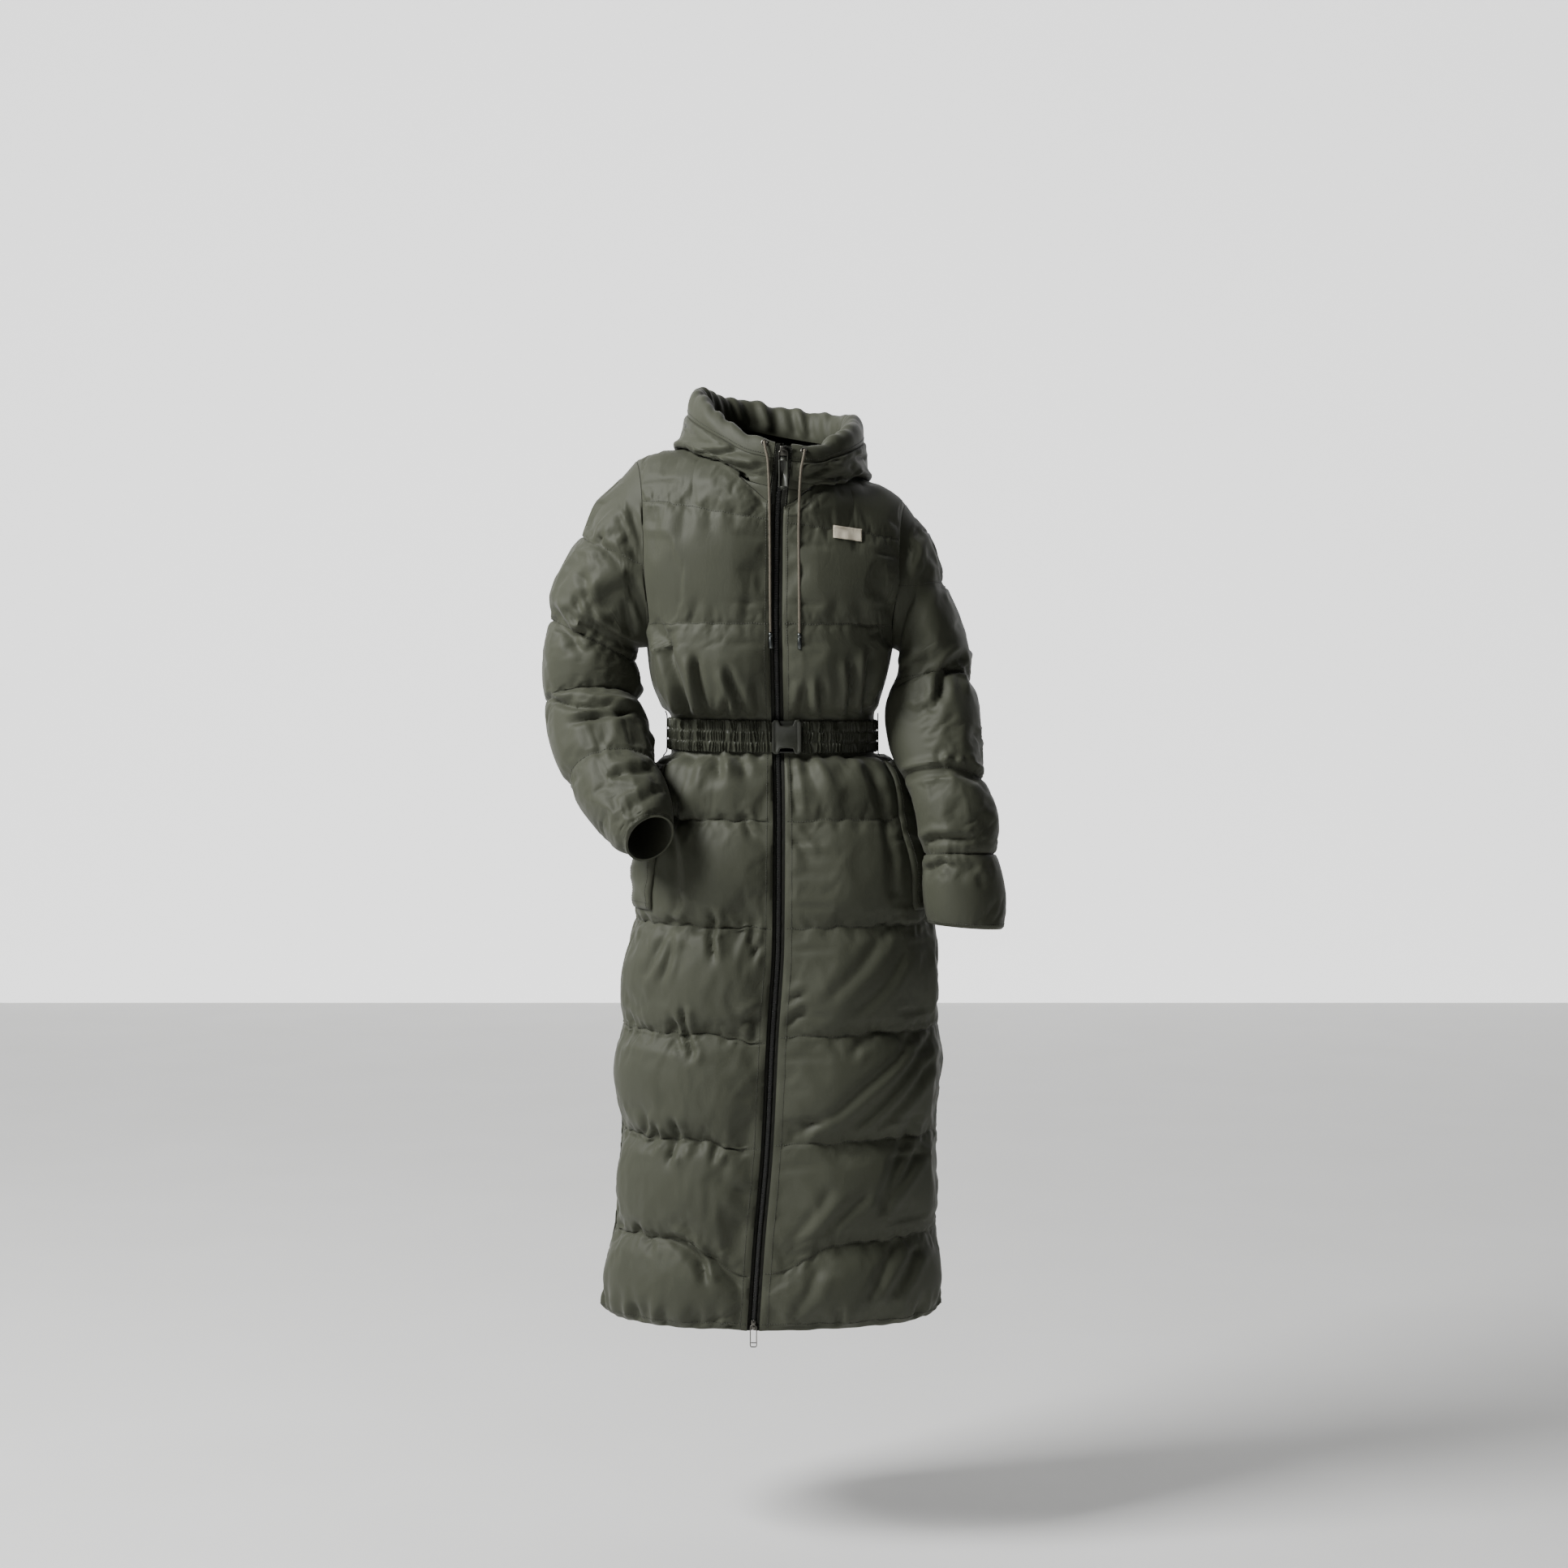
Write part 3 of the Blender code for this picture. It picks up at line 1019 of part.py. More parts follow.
# Each finish: linear red, green and blue, roughness and how metallic it is.
FINISHES = {
    "quilted_cloth": ((0.052, 0.057, 0.040), 0.5, 0.0),
    "gathered_webbing": ((0.045, 0.050, 0.036), 0.6, 0.0),
    "zip_tape_cloth": ((0.020, 0.021, 0.018), 0.8, 0.0),
    "zip_coil_nylon": ((0.012, 0.012, 0.011), 0.4, 0.0),
    "dark_metal": ((0.030, 0.030, 0.028), 0.35, 1.0),
    "dark_plastic": ((0.016, 0.016, 0.014), 0.4, 0.0),
    "sewing_thread": ((0.040, 0.044, 0.032), 0.8, 0.0),
    "cord_braid": ((0.055, 0.050, 0.038), 0.8, 0.0),
    "woven_label": ((0.700, 0.660, 0.580), 0.8, 0.0),
}


def main():
    finishes = [paint(name, *finish) for name, finish in FINISHES.items()]
    cloth, webbing, tape, teeth, metal, plastic, thread, cord, woven = finishes
    panels = [
        front("front_right", SIDES["right"], cloth),
        front("front_left", SIDES["left"], cloth),
        back("back", cloth),
    ]
    coat = cloth_tree(panels)
    for side_name, side in SIDES.items():
        sleeve(f"sleeve_{side_name}", side, cloth)
        hood_panel(f"hood_side_{side_name}", side * HOOD_SIDE_ANGLES, coat, cloth)
        neck_insert(f"neck_insert_{side_name}", side, cloth)
        zip_tape(f"zip_tape_{side_name}", side, tape)
        pocket_welt(f"pocket_welt_{side_name}", side, coat, cloth)
        side_vent(f"side_vent_{side_name}", side, coat, webbing)
        belt_loop(f"belt_loop_{side_name}", side, thread)
    first = HOOD_PANEL_ANGLE + HOOD_SEAM_ANGLE
    hood_panel("hood_centre", np.linspace(first, 360 - first, 11), coat, cloth)
    hood_rim("hood_rim", cloth)
    zip_coil("zip_coil", teeth)
    for which in SLIDERS:
        zip_slider(which, metal, metal)
    belt_band("belt_band", webbing)
    buckle(plastic)
    vents = cloth_tree([COAT.objects["side_vent_right"], COAT.objects["side_vent_left"]])
    for side_name, side in SIDES.items():
        snap(f"snap_{side_name}", side, vents, metal)
    label_patch("label_patch", coat, woven)
    drawcord("right", CORD_RIGHT, cord, metal, metal)
    drawcord("left", CORD_LEFT, cord, metal, metal)


for old in list(bpy.data.objects):
    bpy.data.objects.remove(old)
COAT = bpy.data.collections.new("long_puffer_coat")
bpy.context.scene.collection.children.link(COAT)
main()
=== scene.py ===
"""Looks of a long belted puffer coat: quilted satin panels, hood down, two-way zip, gathered elastic belt.

Frame: metres, +Z up, the front faces -Y and the wearer's left is +X. A panel is a surface of (s, v): s runs
across it and v counts its quilted channels from the hem up. "right" and "left" are the wearer's.
"""

import math

import bpy
import numpy as np
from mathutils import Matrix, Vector
from mathutils.bvhtree import BVHTree


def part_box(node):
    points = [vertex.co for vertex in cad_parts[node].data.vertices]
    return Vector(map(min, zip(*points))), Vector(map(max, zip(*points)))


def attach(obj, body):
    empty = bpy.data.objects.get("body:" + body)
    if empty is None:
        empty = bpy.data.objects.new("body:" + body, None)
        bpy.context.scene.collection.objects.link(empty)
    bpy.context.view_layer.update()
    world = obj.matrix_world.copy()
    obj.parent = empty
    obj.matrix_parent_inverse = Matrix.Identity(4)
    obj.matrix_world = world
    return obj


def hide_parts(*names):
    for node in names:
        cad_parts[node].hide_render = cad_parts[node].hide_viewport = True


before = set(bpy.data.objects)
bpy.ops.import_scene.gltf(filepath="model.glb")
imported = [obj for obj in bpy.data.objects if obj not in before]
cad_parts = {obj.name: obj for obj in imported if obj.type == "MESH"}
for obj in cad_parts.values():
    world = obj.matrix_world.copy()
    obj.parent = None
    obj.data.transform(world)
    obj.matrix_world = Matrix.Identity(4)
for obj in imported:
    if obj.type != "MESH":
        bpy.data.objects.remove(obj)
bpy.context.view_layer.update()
bpy.ops.object.select_all(action="DESELECT")

# ------------------------------------------------------------------ driving sizes
SEAM_GAP = 0.0006  # between two walls sewn edge to edge
LAY_GAP = 0.0004  # between a piece and the cloth that it lies on
WALL = 0.0030  # a quilted wall along a stitched line
LOFT = 0.0095  # how much higher the filling stands in the middle of a channel
SQUARE = 0.09  # how much squarer than an ellipse a level section of the coat is
NUDGE = 1e-3  # step, in s and v, for reading a surface's slope

HEM_Z = -1.138
QUILT_Z = (HEM_Z, -1.022, -0.888, -0.747, -0.605, -0.466, -0.336, -0.206, -0.071)
CHEST_Z = -0.130  # from here up, the panels curve in to the shoulder seams
TOP_V = 9.0  # v of the neckline and the shoulder seams
UNDERARM_V = 6.78
ARMHOLE_HALF_DEPTH = 0.066
UNDERARM_GAP = 0.0015  # what the seam gap grows by under the arm
SHOULDER_TIP = (0.182, 0.0, -0.020)
NECK_POINT = (0.088, 0.0, 0.017)
NECK_S = 0.50  # s of the neck point on a front, and of |s| on the back
TORSO_X = -0.0175  # middle of the shoulders

BODY_COLUMNS = ("z", "centre", "half_width", "front", "back")
BODY = (
    (-1.140, -0.0180, 0.2240, 0.142, 0.138),
    (-1.050, -0.0135, 0.2150, 0.140, 0.137),
    (-0.984, -0.0105, 0.2100, 0.138, 0.136),
    (-0.888, -0.0070, 0.2080, 0.137, 0.135),
    (-0.800, -0.0060, 0.2110, 0.136, 0.135),
    (-0.747, -0.0065, 0.2080, 0.135, 0.134),
    (-0.690, -0.0030, 0.2035, 0.134, 0.134),
    (-0.610, 0.0000, 0.1970, 0.131, 0.133),
    (-0.550, 0.0000, 0.1880, 0.128, 0.130),
    (-0.474, -0.0020, 0.1800, 0.119, 0.121),
    (-0.430, -0.0075, 0.1670, 0.110, 0.106),
    (-0.400, -0.0120, 0.1500, 0.098, 0.089),
    (-0.380, -0.0155, 0.1345, 0.087, 0.074),
    (-0.333, -0.0155, 0.1345, 0.087, 0.074),
    (-0.313, -0.0195, 0.1400, 0.097, 0.083),
    (-0.285, -0.0210, 0.1500, 0.107, 0.091),
    (-0.235, -0.0190, 0.1610, 0.116, 0.099),
    (-0.206, -0.0180, 0.1710, 0.118, 0.103),
    (-0.130, -0.0175, 0.1970, 0.113, 0.108),
    (-0.090, -0.0175, 0.1970, 0.113, 0.108),
)

# The zip's line wanders with the stance.
ZIP_COLUMNS = ("z", "x")
ZIP_LINE = (
    (-1.140, -0.0410),
    (-1.022, -0.0330),
    (-0.900, -0.0225),
    (-0.747, -0.0150),
    (-0.620, -0.0075),
    (-0.466, -0.0065),
    (-0.340, -0.0085),
    (-0.200, -0.0105),
    (-0.100, -0.0095),
    (-0.050, -0.0080),
    (0.000, -0.0030),
    (0.040, 0.0010),
)
ZIP_HALF = 0.0115  # from the zip's middle to the edge of a front

# One shoulder is held higher: above the bust the coat slopes across by this much.
SLOPE = 0.160
SLOPE_FROM_Z, SLOPE_FULL_Z = -0.225, -0.060

# How far a quilt line dips beside the zip, below the level that it has at the side.
DIP_COLUMNS = ("v", "right", "left")
DIP = (
    (0.0, 0.004, 0.002),
    (1.0, 0.044, 0.040),
    (2.0, 0.010, 0.004),
    (3.0, 0.010, 0.002),
    (4.0, 0.002, 0.001),
    (9.0, 0.000, 0.000),
)
DIP_REACH = 0.30  # in s

GATHERS = 5  # soft folds on each front, drawn in by the belt; the back has twice as many
GATHER_DEPTH = 0.005
GATHER_REACH = 0.055

BELT_Z, BELT_WIDTH = -0.356, 0.0425
BELT_DROP = 0.012  # the belt slopes down to the wearer's left by this much for each metre across
BUCKLE_WIDTH, BUCKLE_X = 0.039, 0.0035
# A thread loop: how far above the belt's middle, and how far out from the coat's plain form.
LOOP_ROUTE = (
    (0.031, 0.0085), (0.026, 0.0086), (0.0225, 0.0086), (0.0, 0.0087), (-0.0225, 0.0090), (-0.026, 0.0105),
    (-0.030, 0.0125),
)

# Sleeves, section by section: the outer and inner line as seen from the front, the middle's place front to
# back, half the depth, how far along the cut sleeve the outer and the inner line are at that section, and how
# much of the filling is pressed flat on the side that faces the body.
SLEEVE_COLUMNS = ("out_x", "out_z", "in_x", "in_z", "y", "half_depth", "cut_out", "cut_in", "pressed")
SLEEVE_RIGHT = (
    (-0.1995, 0.0091, -0.1805, -0.2346, 0.000, 0.066, 0.000, 0.215, 1.0),
    (-0.2390, -0.0480, -0.2000, -0.2370, 0.000, 0.065, 0.066, 0.222, 0.9),
    (-0.2770, -0.1130, -0.2040, -0.2470, 0.003, 0.062, 0.145, 0.232, 0.6),
    (-0.3050, -0.1830, -0.2070, -0.2590, 0.006, 0.058, 0.222, 0.247, 0.3),
    (-0.3130, -0.2530, -0.2080, -0.2810, 0.004, 0.055, 0.294, 0.300, 0.1),
    (-0.3130, -0.3070, -0.2080, -0.3080, -0.005, 0.052, 0.350, 0.350, 0.0),
    (-0.3020, -0.3540, -0.1970, -0.3460, -0.030, 0.049, 0.405, 0.405, 0.0),
    (-0.2790, -0.4120, -0.1770, -0.3970, -0.078, 0.045, 0.468, 0.468, 0.3),
    (-0.2350, -0.4650, -0.1580, -0.4330, -0.124, 0.040, 0.550, 0.550, 0.6),
    (-0.1960, -0.5090, -0.1530, -0.4620, -0.160, 0.036, 0.620, 0.620, 0.6),
)
SLEEVE_LEFT = (
    (0.1645, -0.0491, 0.1455, -0.2346, 0.000, 0.066, 0.000, 0.215, 1.0),
    (0.1840, -0.0900, 0.1600, -0.2440, 0.000, 0.065, 0.050, 0.222, 1.0),
    (0.2020, -0.1340, 0.1590, -0.2620, -0.001, 0.062, 0.100, 0.232, 1.0),
    (0.2240, -0.1990, 0.1510, -0.2860, -0.003, 0.058, 0.165, 0.245, 1.0),
    (0.2410, -0.2640, 0.1430, -0.3090, -0.010, 0.055, 0.225, 0.262, 1.0),
    (0.2490, -0.3130, 0.1385, -0.3340, -0.028, 0.052, 0.268, 0.285, 1.0),
    (0.2520, -0.3670, 0.1430, -0.3670, -0.050, 0.050, 0.315, 0.320, 1.0),
    (0.2590, -0.4220, 0.1660, -0.4160, -0.073, 0.047, 0.362, 0.362, 0.7),
    (0.2690, -0.4740, 0.1860, -0.4710, -0.087, 0.045, 0.425, 0.425, 0.3),
    (0.2750, -0.5380, 0.1970, -0.5370, -0.094, 0.041, 0.500, 0.500, 0.0),
    (0.2820, -0.6110, 0.2020, -0.6030, -0.097, 0.036, 0.605, 0.605, 0.0),
)
SLEEVES = {-1: SLEEVE_RIGHT, 1: SLEEVE_LEFT}
SLEEVE_QUILT_CUT = (0.0, 0.120, 0.243, 0.356, 0.468, 0.612)
SLEEVE_BLEND = 3.0  # sections over which the armhole's outline turns into the sleeve's own

# The hood lies back, open. Each row is one direction round the neck, by its angle from the front: how far out
# and how high are the neck seam, the cloth under the bag, its lowest fold, its outer face and the rim's seam,
# then half the rim's width and height.
HOOD_KNOTS = ("neck", "under", "base", "outer", "seam")
HOOD_COLUMNS = ("angle", *(knot + end for knot in HOOD_KNOTS for end in ("_r", "_z")), "wide", "tall")
HOOD = (
    (0, 0.1170, -0.0280, 0.1172, -0.0200, 0.1175, -0.0120, 0.1178, -0.0010, 0.1180, 0.0090, 0.0090, 0.0195),
    (20, 0.1125, -0.0240, 0.1140, -0.0190, 0.1150, -0.0130, 0.1160, 0.0000, 0.1160, 0.0120, 0.0100, 0.0190),
    (40, 0.0980, 0.0010, 0.1060, -0.0020, 0.1130, -0.0120, 0.1140, 0.0100, 0.1120, 0.0260, 0.0120, 0.0210),
    (65, 0.0900, 0.0200, 0.1030, 0.0140, 0.1150, 0.0010, 0.1105, 0.0240, 0.1130, 0.0430, 0.0140, 0.0250),
    (90, 0.0880, 0.0260, 0.1080, 0.0210, 0.1275, 0.0090, 0.1120, 0.0340, 0.1150, 0.0560, 0.0150, 0.0290),
    (115, 0.0860, 0.0250, 0.1080, 0.0120, 0.1310, -0.0050, 0.1360, 0.0250, 0.1260, 0.0620, 0.0150, 0.0290),
    (140, 0.0800, 0.0200, 0.1160, -0.0150, 0.1460, -0.0660, 0.1720, -0.0100, 0.1470, 0.0660, 0.0160, 0.0280),
    (160, 0.0760, 0.0170, 0.1240, -0.0300, 0.1520, -0.1000, 0.1880, -0.0300, 0.1570, 0.0670, 0.0160, 0.0270),
    (180, 0.0750, 0.0160, 0.1260, -0.0350, 0.1540, -0.1150, 0.1930, -0.0380, 0.1600, 0.0670, 0.0160, 0.0270),
)
HOOD_LEAN = 0.11  # the hood leans to the wearer's left by this much for each metre up
HOOD_WALL, HOOD_LOFT, RIM_WALL = 0.0035, 0.0045, 0.0050
HOOD_CLEAR = 0.0085  # from the coat's cloth up to the inner face of the hood that lies on it
HOOD_PANEL_ANGLE = 118  # where the side panels meet the centre panel

# Welt pockets: across a front (s) and up it (v), the welt's corners.
POCKET_COLUMNS = ("v", "s_edge", "s_side")
POCKET = (
    (4.12, 0.600, 0.830),
    (4.40, 0.588, 0.838),
    (4.80, 0.572, 0.836),
    (5.20, 0.600, 0.850),
    (5.50, 0.640, 0.840),
)
POCKET_WALL, POCKET_LOFT, WELT_LIFT = 0.0018, 0.0035, 0.0012

VENT_FROM_V, VENT_TO_V, VENT_WIDTH, VENT_WALL, VENT_LIFT = 0.06, 2.25, 0.020, 0.0018, 0.0010
SIDE_BEND = 0.14  # the radius to which the coat's side bends
SNAP_RADIUS = 0.0055

LABEL_WIDTH, LABEL_HEIGHT, LABEL_WALL, LABEL_LIFT = 0.038, 0.0165, 0.0012, 0.0009
LABEL_AT = (0.0835, -0.0880)  # x and z of its middle
LABEL_SLOPE = 0.13

CORD_RADIUS, AGLET_RADIUS = 0.0018, 0.0027
# A tip's radius as a share of AGLET_RADIUS, at distances from its mouth.
AGLET_PROFILE = (
    (0.82, 0), (1, 0.0008), (1, 0.0045), (0.9, 0.0050), (0.9, 0.0056), (1, 0.0061), (1, 0.0193),
    (0.8, 0.0203), (0.5, 0.0205),
)
# Drawcord routes, from the eyelet down: x, y and z.
CORD_RIGHT = (
    (-0.0254, -0.1170, 0.0300),
    (-0.0258, -0.1208, 0.0308),
    (-0.0252, -0.1232, 0.0270),
    (-0.0237, -0.1242, 0.0190),
    (-0.0214, -0.1245, 0.0090),
    (-0.0200, -0.1240, -0.0120),
    (-0.0191, -0.1215, -0.0420),
    (-0.0186, -0.1205, -0.0800),
    (-0.0183, -0.1205, -0.1250),
    (-0.0182, -0.1215, -0.1650),
    (-0.0180, -0.1227, -0.2010),
    (-0.0176, -0.1230, -0.2180),
)
CORD_LEFT = (
    (0.0262, -0.1165, 0.0190),
    (0.0270, -0.1203, 0.0200),
    (0.0265, -0.1226, 0.0160),
    (0.0250, -0.1240, 0.0080),
    (0.0225, -0.1243, -0.0050),
    (0.0208, -0.1238, -0.0260),
    (0.0198, -0.1222, -0.0560),
    (0.0193, -0.1218, -0.0900),
    (0.0196, -0.1245, -0.1300),
    (0.0200, -0.1260, -0.1700),
    (0.0202, -0.1262, -0.2020),
    (0.0203, -0.1258, -0.2190),
)
CORD_POINTS = 28
EYELET_RADIUS, EYELET_WIRE = 0.0036, 0.0011

TAPE_WALL, COIL_HALF = 0.0012, 0.0027
ZIP_TOP = ((-0.030, 0.1163), (-0.012, 0.1172), (0.009, 0.1180), (0.030, 0.1185))  # z and depth, over the neck
SLIDERS = {"top": (0.0215, 0.0090, 0.0130), "bottom": (-1.1300, 0.0062, 0.0120)}  # z, width and height

SIDES = {"right": -1, "left": 1}


# ------------------------------------------------------------------ reading tables
def smooth(xs, ys, x):
    """A cubic through (xs, ys) that doesn't overshoot them, read at x."""
    xs, ys, x = np.asarray(xs, float), np.asarray(ys, float), np.asarray(x, float)
    step = np.diff(xs)
    slope = np.diff(ys) / step
    tangent = np.zeros_like(ys)
    tangent[0], tangent[-1] = slope[0], slope[-1]
    product, total = slope[:-1] * slope[1:], slope[:-1] + slope[1:]
    rising = product > 0
    tangent[1:-1][rising] = 2 * product[rising] / total[rising]
    i = np.clip(np.searchsorted(xs, x, side="right") - 1, 0, len(step) - 1)
    t = (x - xs[i]) / step[i]
    blend = t * t * (3 - 2 * t)
    bend = step[i] * (t * (1 - t) ** 2 * tangent[i] - t * t * (1 - t) * tangent[i + 1])
    return ys[i] + (ys[i + 1] - ys[i]) * blend + bend


def read(table, columns, name, at):
    """Column name of a table, smoothly, where its first column is at."""
    rows = np.array(table, float)
    return smooth(rows[:, 0], rows[:, columns.index(name)], at)


def read_row(table, name, index):
    """Column name of a sleeve's table, smoothly, at a fractional row number."""
    return smooth(np.arange(len(table)), np.array(table)[:, SLEEVE_COLUMNS.index(name)], index)


def ease(x, start, end):
    """0 before start, 1 after end, and smooth between."""
    t = np.clip((np.asarray(x, float) - start) / (end - start), 0, 1)
    return t * t * (3 - 2 * t)


def unit(vectors):
    vectors = np.asarray(vectors, float)
    return vectors / np.maximum(np.linalg.norm(vectors, axis=-1, keepdims=True), 1e-12)


def stacked(*parts):
    """Points from their coordinates, whose shapes may differ."""
    return np.stack(np.broadcast_arrays(*parts), -1)


def lengths_along(path):
    """How far along a path each of its points is."""
    return np.concatenate([[0], np.cumsum(np.linalg.norm(np.diff(path, axis=0), axis=1))])


def pushed(points, normals, by):
    """Points moved along their normals."""
    return points + normals * by[..., None]


# ------------------------------------------------------------------ the body's plain form
def across(angle):
    return np.sin(angle) * (1 + SQUARE * np.cos(angle) ** 2)


def forward(angle):
    return np.cos(angle) * (1 + SQUARE * np.sin(angle) ** 2)


HALF_TURN = np.linspace(-math.pi / 2, math.pi / 2, 1441)


def angle_across(share):
    """The angle from the front at which a level section is at this share of its half width."""
    return np.interp(share, across(HALF_TURN), HALF_TURN)


def angle_forward(share):
    """The same by its share of the depth, from 0 to a quarter turn."""
    quarter = HALF_TURN[HALF_TURN >= 0][::-1]
    return np.interp(share, forward(quarter), quarter)


def ring(angle, z):
    """The coat's plain form at height z, at an angle from the front towards the wearer's left."""
    centre, half, front, back = (read(BODY, BODY_COLUMNS, key, z) for key in BODY_COLUMNS[1:])
    depth = np.where(np.cos(angle) >= 0, front, back)
    return stacked(centre + half * across(angle), -depth * forward(angle), z)


def zip_x(z):
    return read(ZIP_LINE, ZIP_COLUMNS, "x", z)


def stance(points):
    """Lowers the shoulders towards the wearer's left."""
    points = np.array(points, float)
    share = ease(points[..., 2], SLOPE_FROM_Z, SLOPE_FULL_Z)
    points[..., 2] -= SLOPE * share * (points[..., 0] - TORSO_X)
    return points


def level(v):
    return np.interp(v, np.arange(len(QUILT_Z)), QUILT_Z)


UNDERARM_Z = float(level(UNDERARM_V))
LAST_LINE = len(QUILT_Z) - 1
CHEST_V = np.interp(CHEST_Z, QUILT_Z, np.arange(len(QUILT_Z)))


def armhole_half_depth(z):
    """Half the armhole's depth at height z, below the chest line."""
    share = np.clip((CHEST_Z - z) / (CHEST_Z - UNDERARM_Z), 0, 1)
    return ARMHOLE_HALF_DEPTH * np.sqrt(1 - share**2)


def neckline(q, back):
    """The neck seam on the wearer's left, from the middle (q = 0) to the neck point (q = 1)."""
    if back:
        knots = ((0.0, 0.064, 0.004), (0.036, 0.058, 0.006), (0.066, 0.036, 0.011), NECK_POINT)
    else:
        knots = ((ZIP_HALF, -0.115, -0.050), (0.0385, -0.105, -0.026), (0.063, -0.070, -0.002), NECK_POINT)
    return stacked(*[smooth((0.0, 0.36, 0.68, 1.0), values, q) for values in zip(*knots)])


def top_edge(s, back):
    """The neckline up to NECK_S, then the shoulder seam; on the wearer's left, from the body's middle."""
    s = np.asarray(s, float)
    neck = neckline(np.clip(s / NECK_S, None, 1), back)
    along = np.clip((s - NECK_S) / (1 - NECK_S), 0, None)[..., None]
    seam = np.array(NECK_POINT) + along * (np.array(SHOULDER_TIP) - np.array(NECK_POINT))
    return np.where((s > NECK_S)[..., None], seam, neck)


def quarter_share(v, rise):
    """How much of its quarter of an ellipse a column has gone through at v, if it rises this far."""
    at_line = 2 / math.pi * np.arcsin((QUILT_Z[LAST_LINE] - CHEST_Z) / rise)
    low = at_line * (v - CHEST_V) / (LAST_LINE - CHEST_V)
    return np.where(v <= LAST_LINE, low, at_line + (1 - at_line) * (v - LAST_LINE) / (TOP_V - LAST_LINE))


def body_surface(s, v, side, back):
    """A front (s = 0 at the zip, 1 at the side) or half the back (s = 0 in the middle), before the stance."""
    s, v = np.broadcast_arrays(np.asarray(s, float), np.asarray(v, float))
    z = np.minimum(level(v), CHEST_Z)
    if not back:
        dip = read(DIP, DIP_COLUMNS, "left" if side > 0 else "right", np.clip(v, 0, TOP_V))
        z = z - dip * (1 - ease(s, 0, DIP_REACH)) * np.clip(v, 0, 1)
    centre, half = read(BODY, BODY_COLUMNS, "centre", z), read(BODY, BODY_COLUMNS, "half_width", z)
    depth = read(BODY, BODY_COLUMNS, "back" if back else "front", z)
    side_angle = np.where(z > UNDERARM_Z, angle_forward(armhole_half_depth(z) / depth), math.pi / 2)
    start = 0.0 if back else side * angle_across((zip_x(z) + side * ZIP_HALF - centre) / half)
    angle = side * (start + (side_angle - start) * s)
    base = ring(math.pi - angle if back else angle, z)
    # Above the chest line each column is a quarter of an ellipse up to the neckline or the shoulder seam.
    top = top_edge(s, back)
    shift = 0.0 if back else side * (zip_x(-0.05) - TORSO_X) * (1 - ease(s, 0, NECK_S))
    top = stacked(TORSO_X + side * (top[..., 0] + shift), top[..., 1], top[..., 2])
    rise = top[..., 2] - CHEST_Z
    t = np.clip(quarter_share(v, rise), 0, 1 + 2 * NUDGE) * math.pi / 2
    upper = base + (top - base) * (1 - np.cos(t))[..., None]
    upper[..., 2] = CHEST_Z + rise * np.sin(t)
    return np.where((v > CHEST_V)[..., None], upper, base)


def armhole_turn(v):
    """The armhole's angle from the shoulder tip, at a row v of the front or the back."""
    if v <= CHEST_V:
        return math.pi / 2 + math.asin(min(1.0, (CHEST_Z - level(v)) / (CHEST_Z - UNDERARM_Z)))
    return (1 - float(quarter_share(v, SHOULDER_TIP[2] - CHEST_Z))) * math.pi / 2


def armhole(turn, side):
    """The armhole's outline: turn 0 at the shoulder tip, a quarter in front, a half under the arm."""
    turn = np.asarray(turn, float)
    y = -ARMHOLE_HALF_DEPTH * np.sin(turn)
    rise = np.where(np.cos(turn) >= 0, SHOULDER_TIP[2] - CHEST_Z, CHEST_Z - UNDERARM_Z)
    z = CHEST_Z + rise * np.cos(turn)
    low = np.minimum(z, CHEST_Z)
    centre, half, front, back = (read(BODY, BODY_COLUMNS, key, low) for key in BODY_COLUMNS[1:])
    y_low = np.where(z > CHEST_Z, ARMHOLE_HALF_DEPTH, np.abs(y))
    x_low = centre + side * half * across(angle_forward(y_low / np.where(y <= 0, front, back)))
    x_tip = TORSO_X + side * SHOULDER_TIP[0]
    x = np.where(z > CHEST_Z, x_low + (x_tip - x_low) * (1 - np.abs(np.sin(turn))), x_low)
    return stance(stacked(x, y, z))


def armhole_out(turn, side):
    """The outward direction that panel and sleeve share along the armhole."""
    turn = np.asarray(turn, float)
    outwards = np.where(turn > math.pi - 1e-3, side, 0.0) * (turn < math.pi + 1e-3)
    return unit(stacked(outwards, -np.sin(turn), np.cos(turn)))


# ------------------------------------------------------------------ the sleeves' plain form
def sleeve_surface(turn, row, side):
    """A sleeve at a fractional row of its table; turn 0 is its outer line, a quarter its front."""
    turn, row = np.broadcast_arrays(np.asarray(turn, float), np.asarray(row, float))
    table = SLEEVES[side]

    def section(at):
        out_x, out_z, in_x, in_z, y = (read_row(table, key, at) for key in SLEEVE_COLUMNS[:5])
        outer, inner = stacked(out_x, y, out_z), stacked(in_x, y, in_z)
        return (outer + inner) / 2, (outer - inner) / 2

    middle, reach = section(row)
    along = section(np.minimum(row + 0.05, len(table) - 1))[0] - section(np.maximum(row - 0.05, 0))[0]
    half_depth = read_row(table, "half_depth", row)[..., None]
    front = unit(-side * np.cross(reach, along)) * half_depth
    points = middle + reach * np.cos(turn)[..., None] + front * np.sin(turn)[..., None]
    start, start_reach = section(np.zeros_like(row))
    first = start + start_reach * np.cos(turn)[..., None]
    first[..., 1] -= ARMHOLE_HALF_DEPTH * np.sin(turn)
    own = 1 - ease(row, 0, SLEEVE_BLEND)
    apart = side * (SEAM_GAP + UNDERARM_GAP * ease(-np.cos(turn), 0.3, 0.8))
    shift = armhole(turn, side) - first
    shift[..., 0] += apart
    return points + shift * own[..., None]


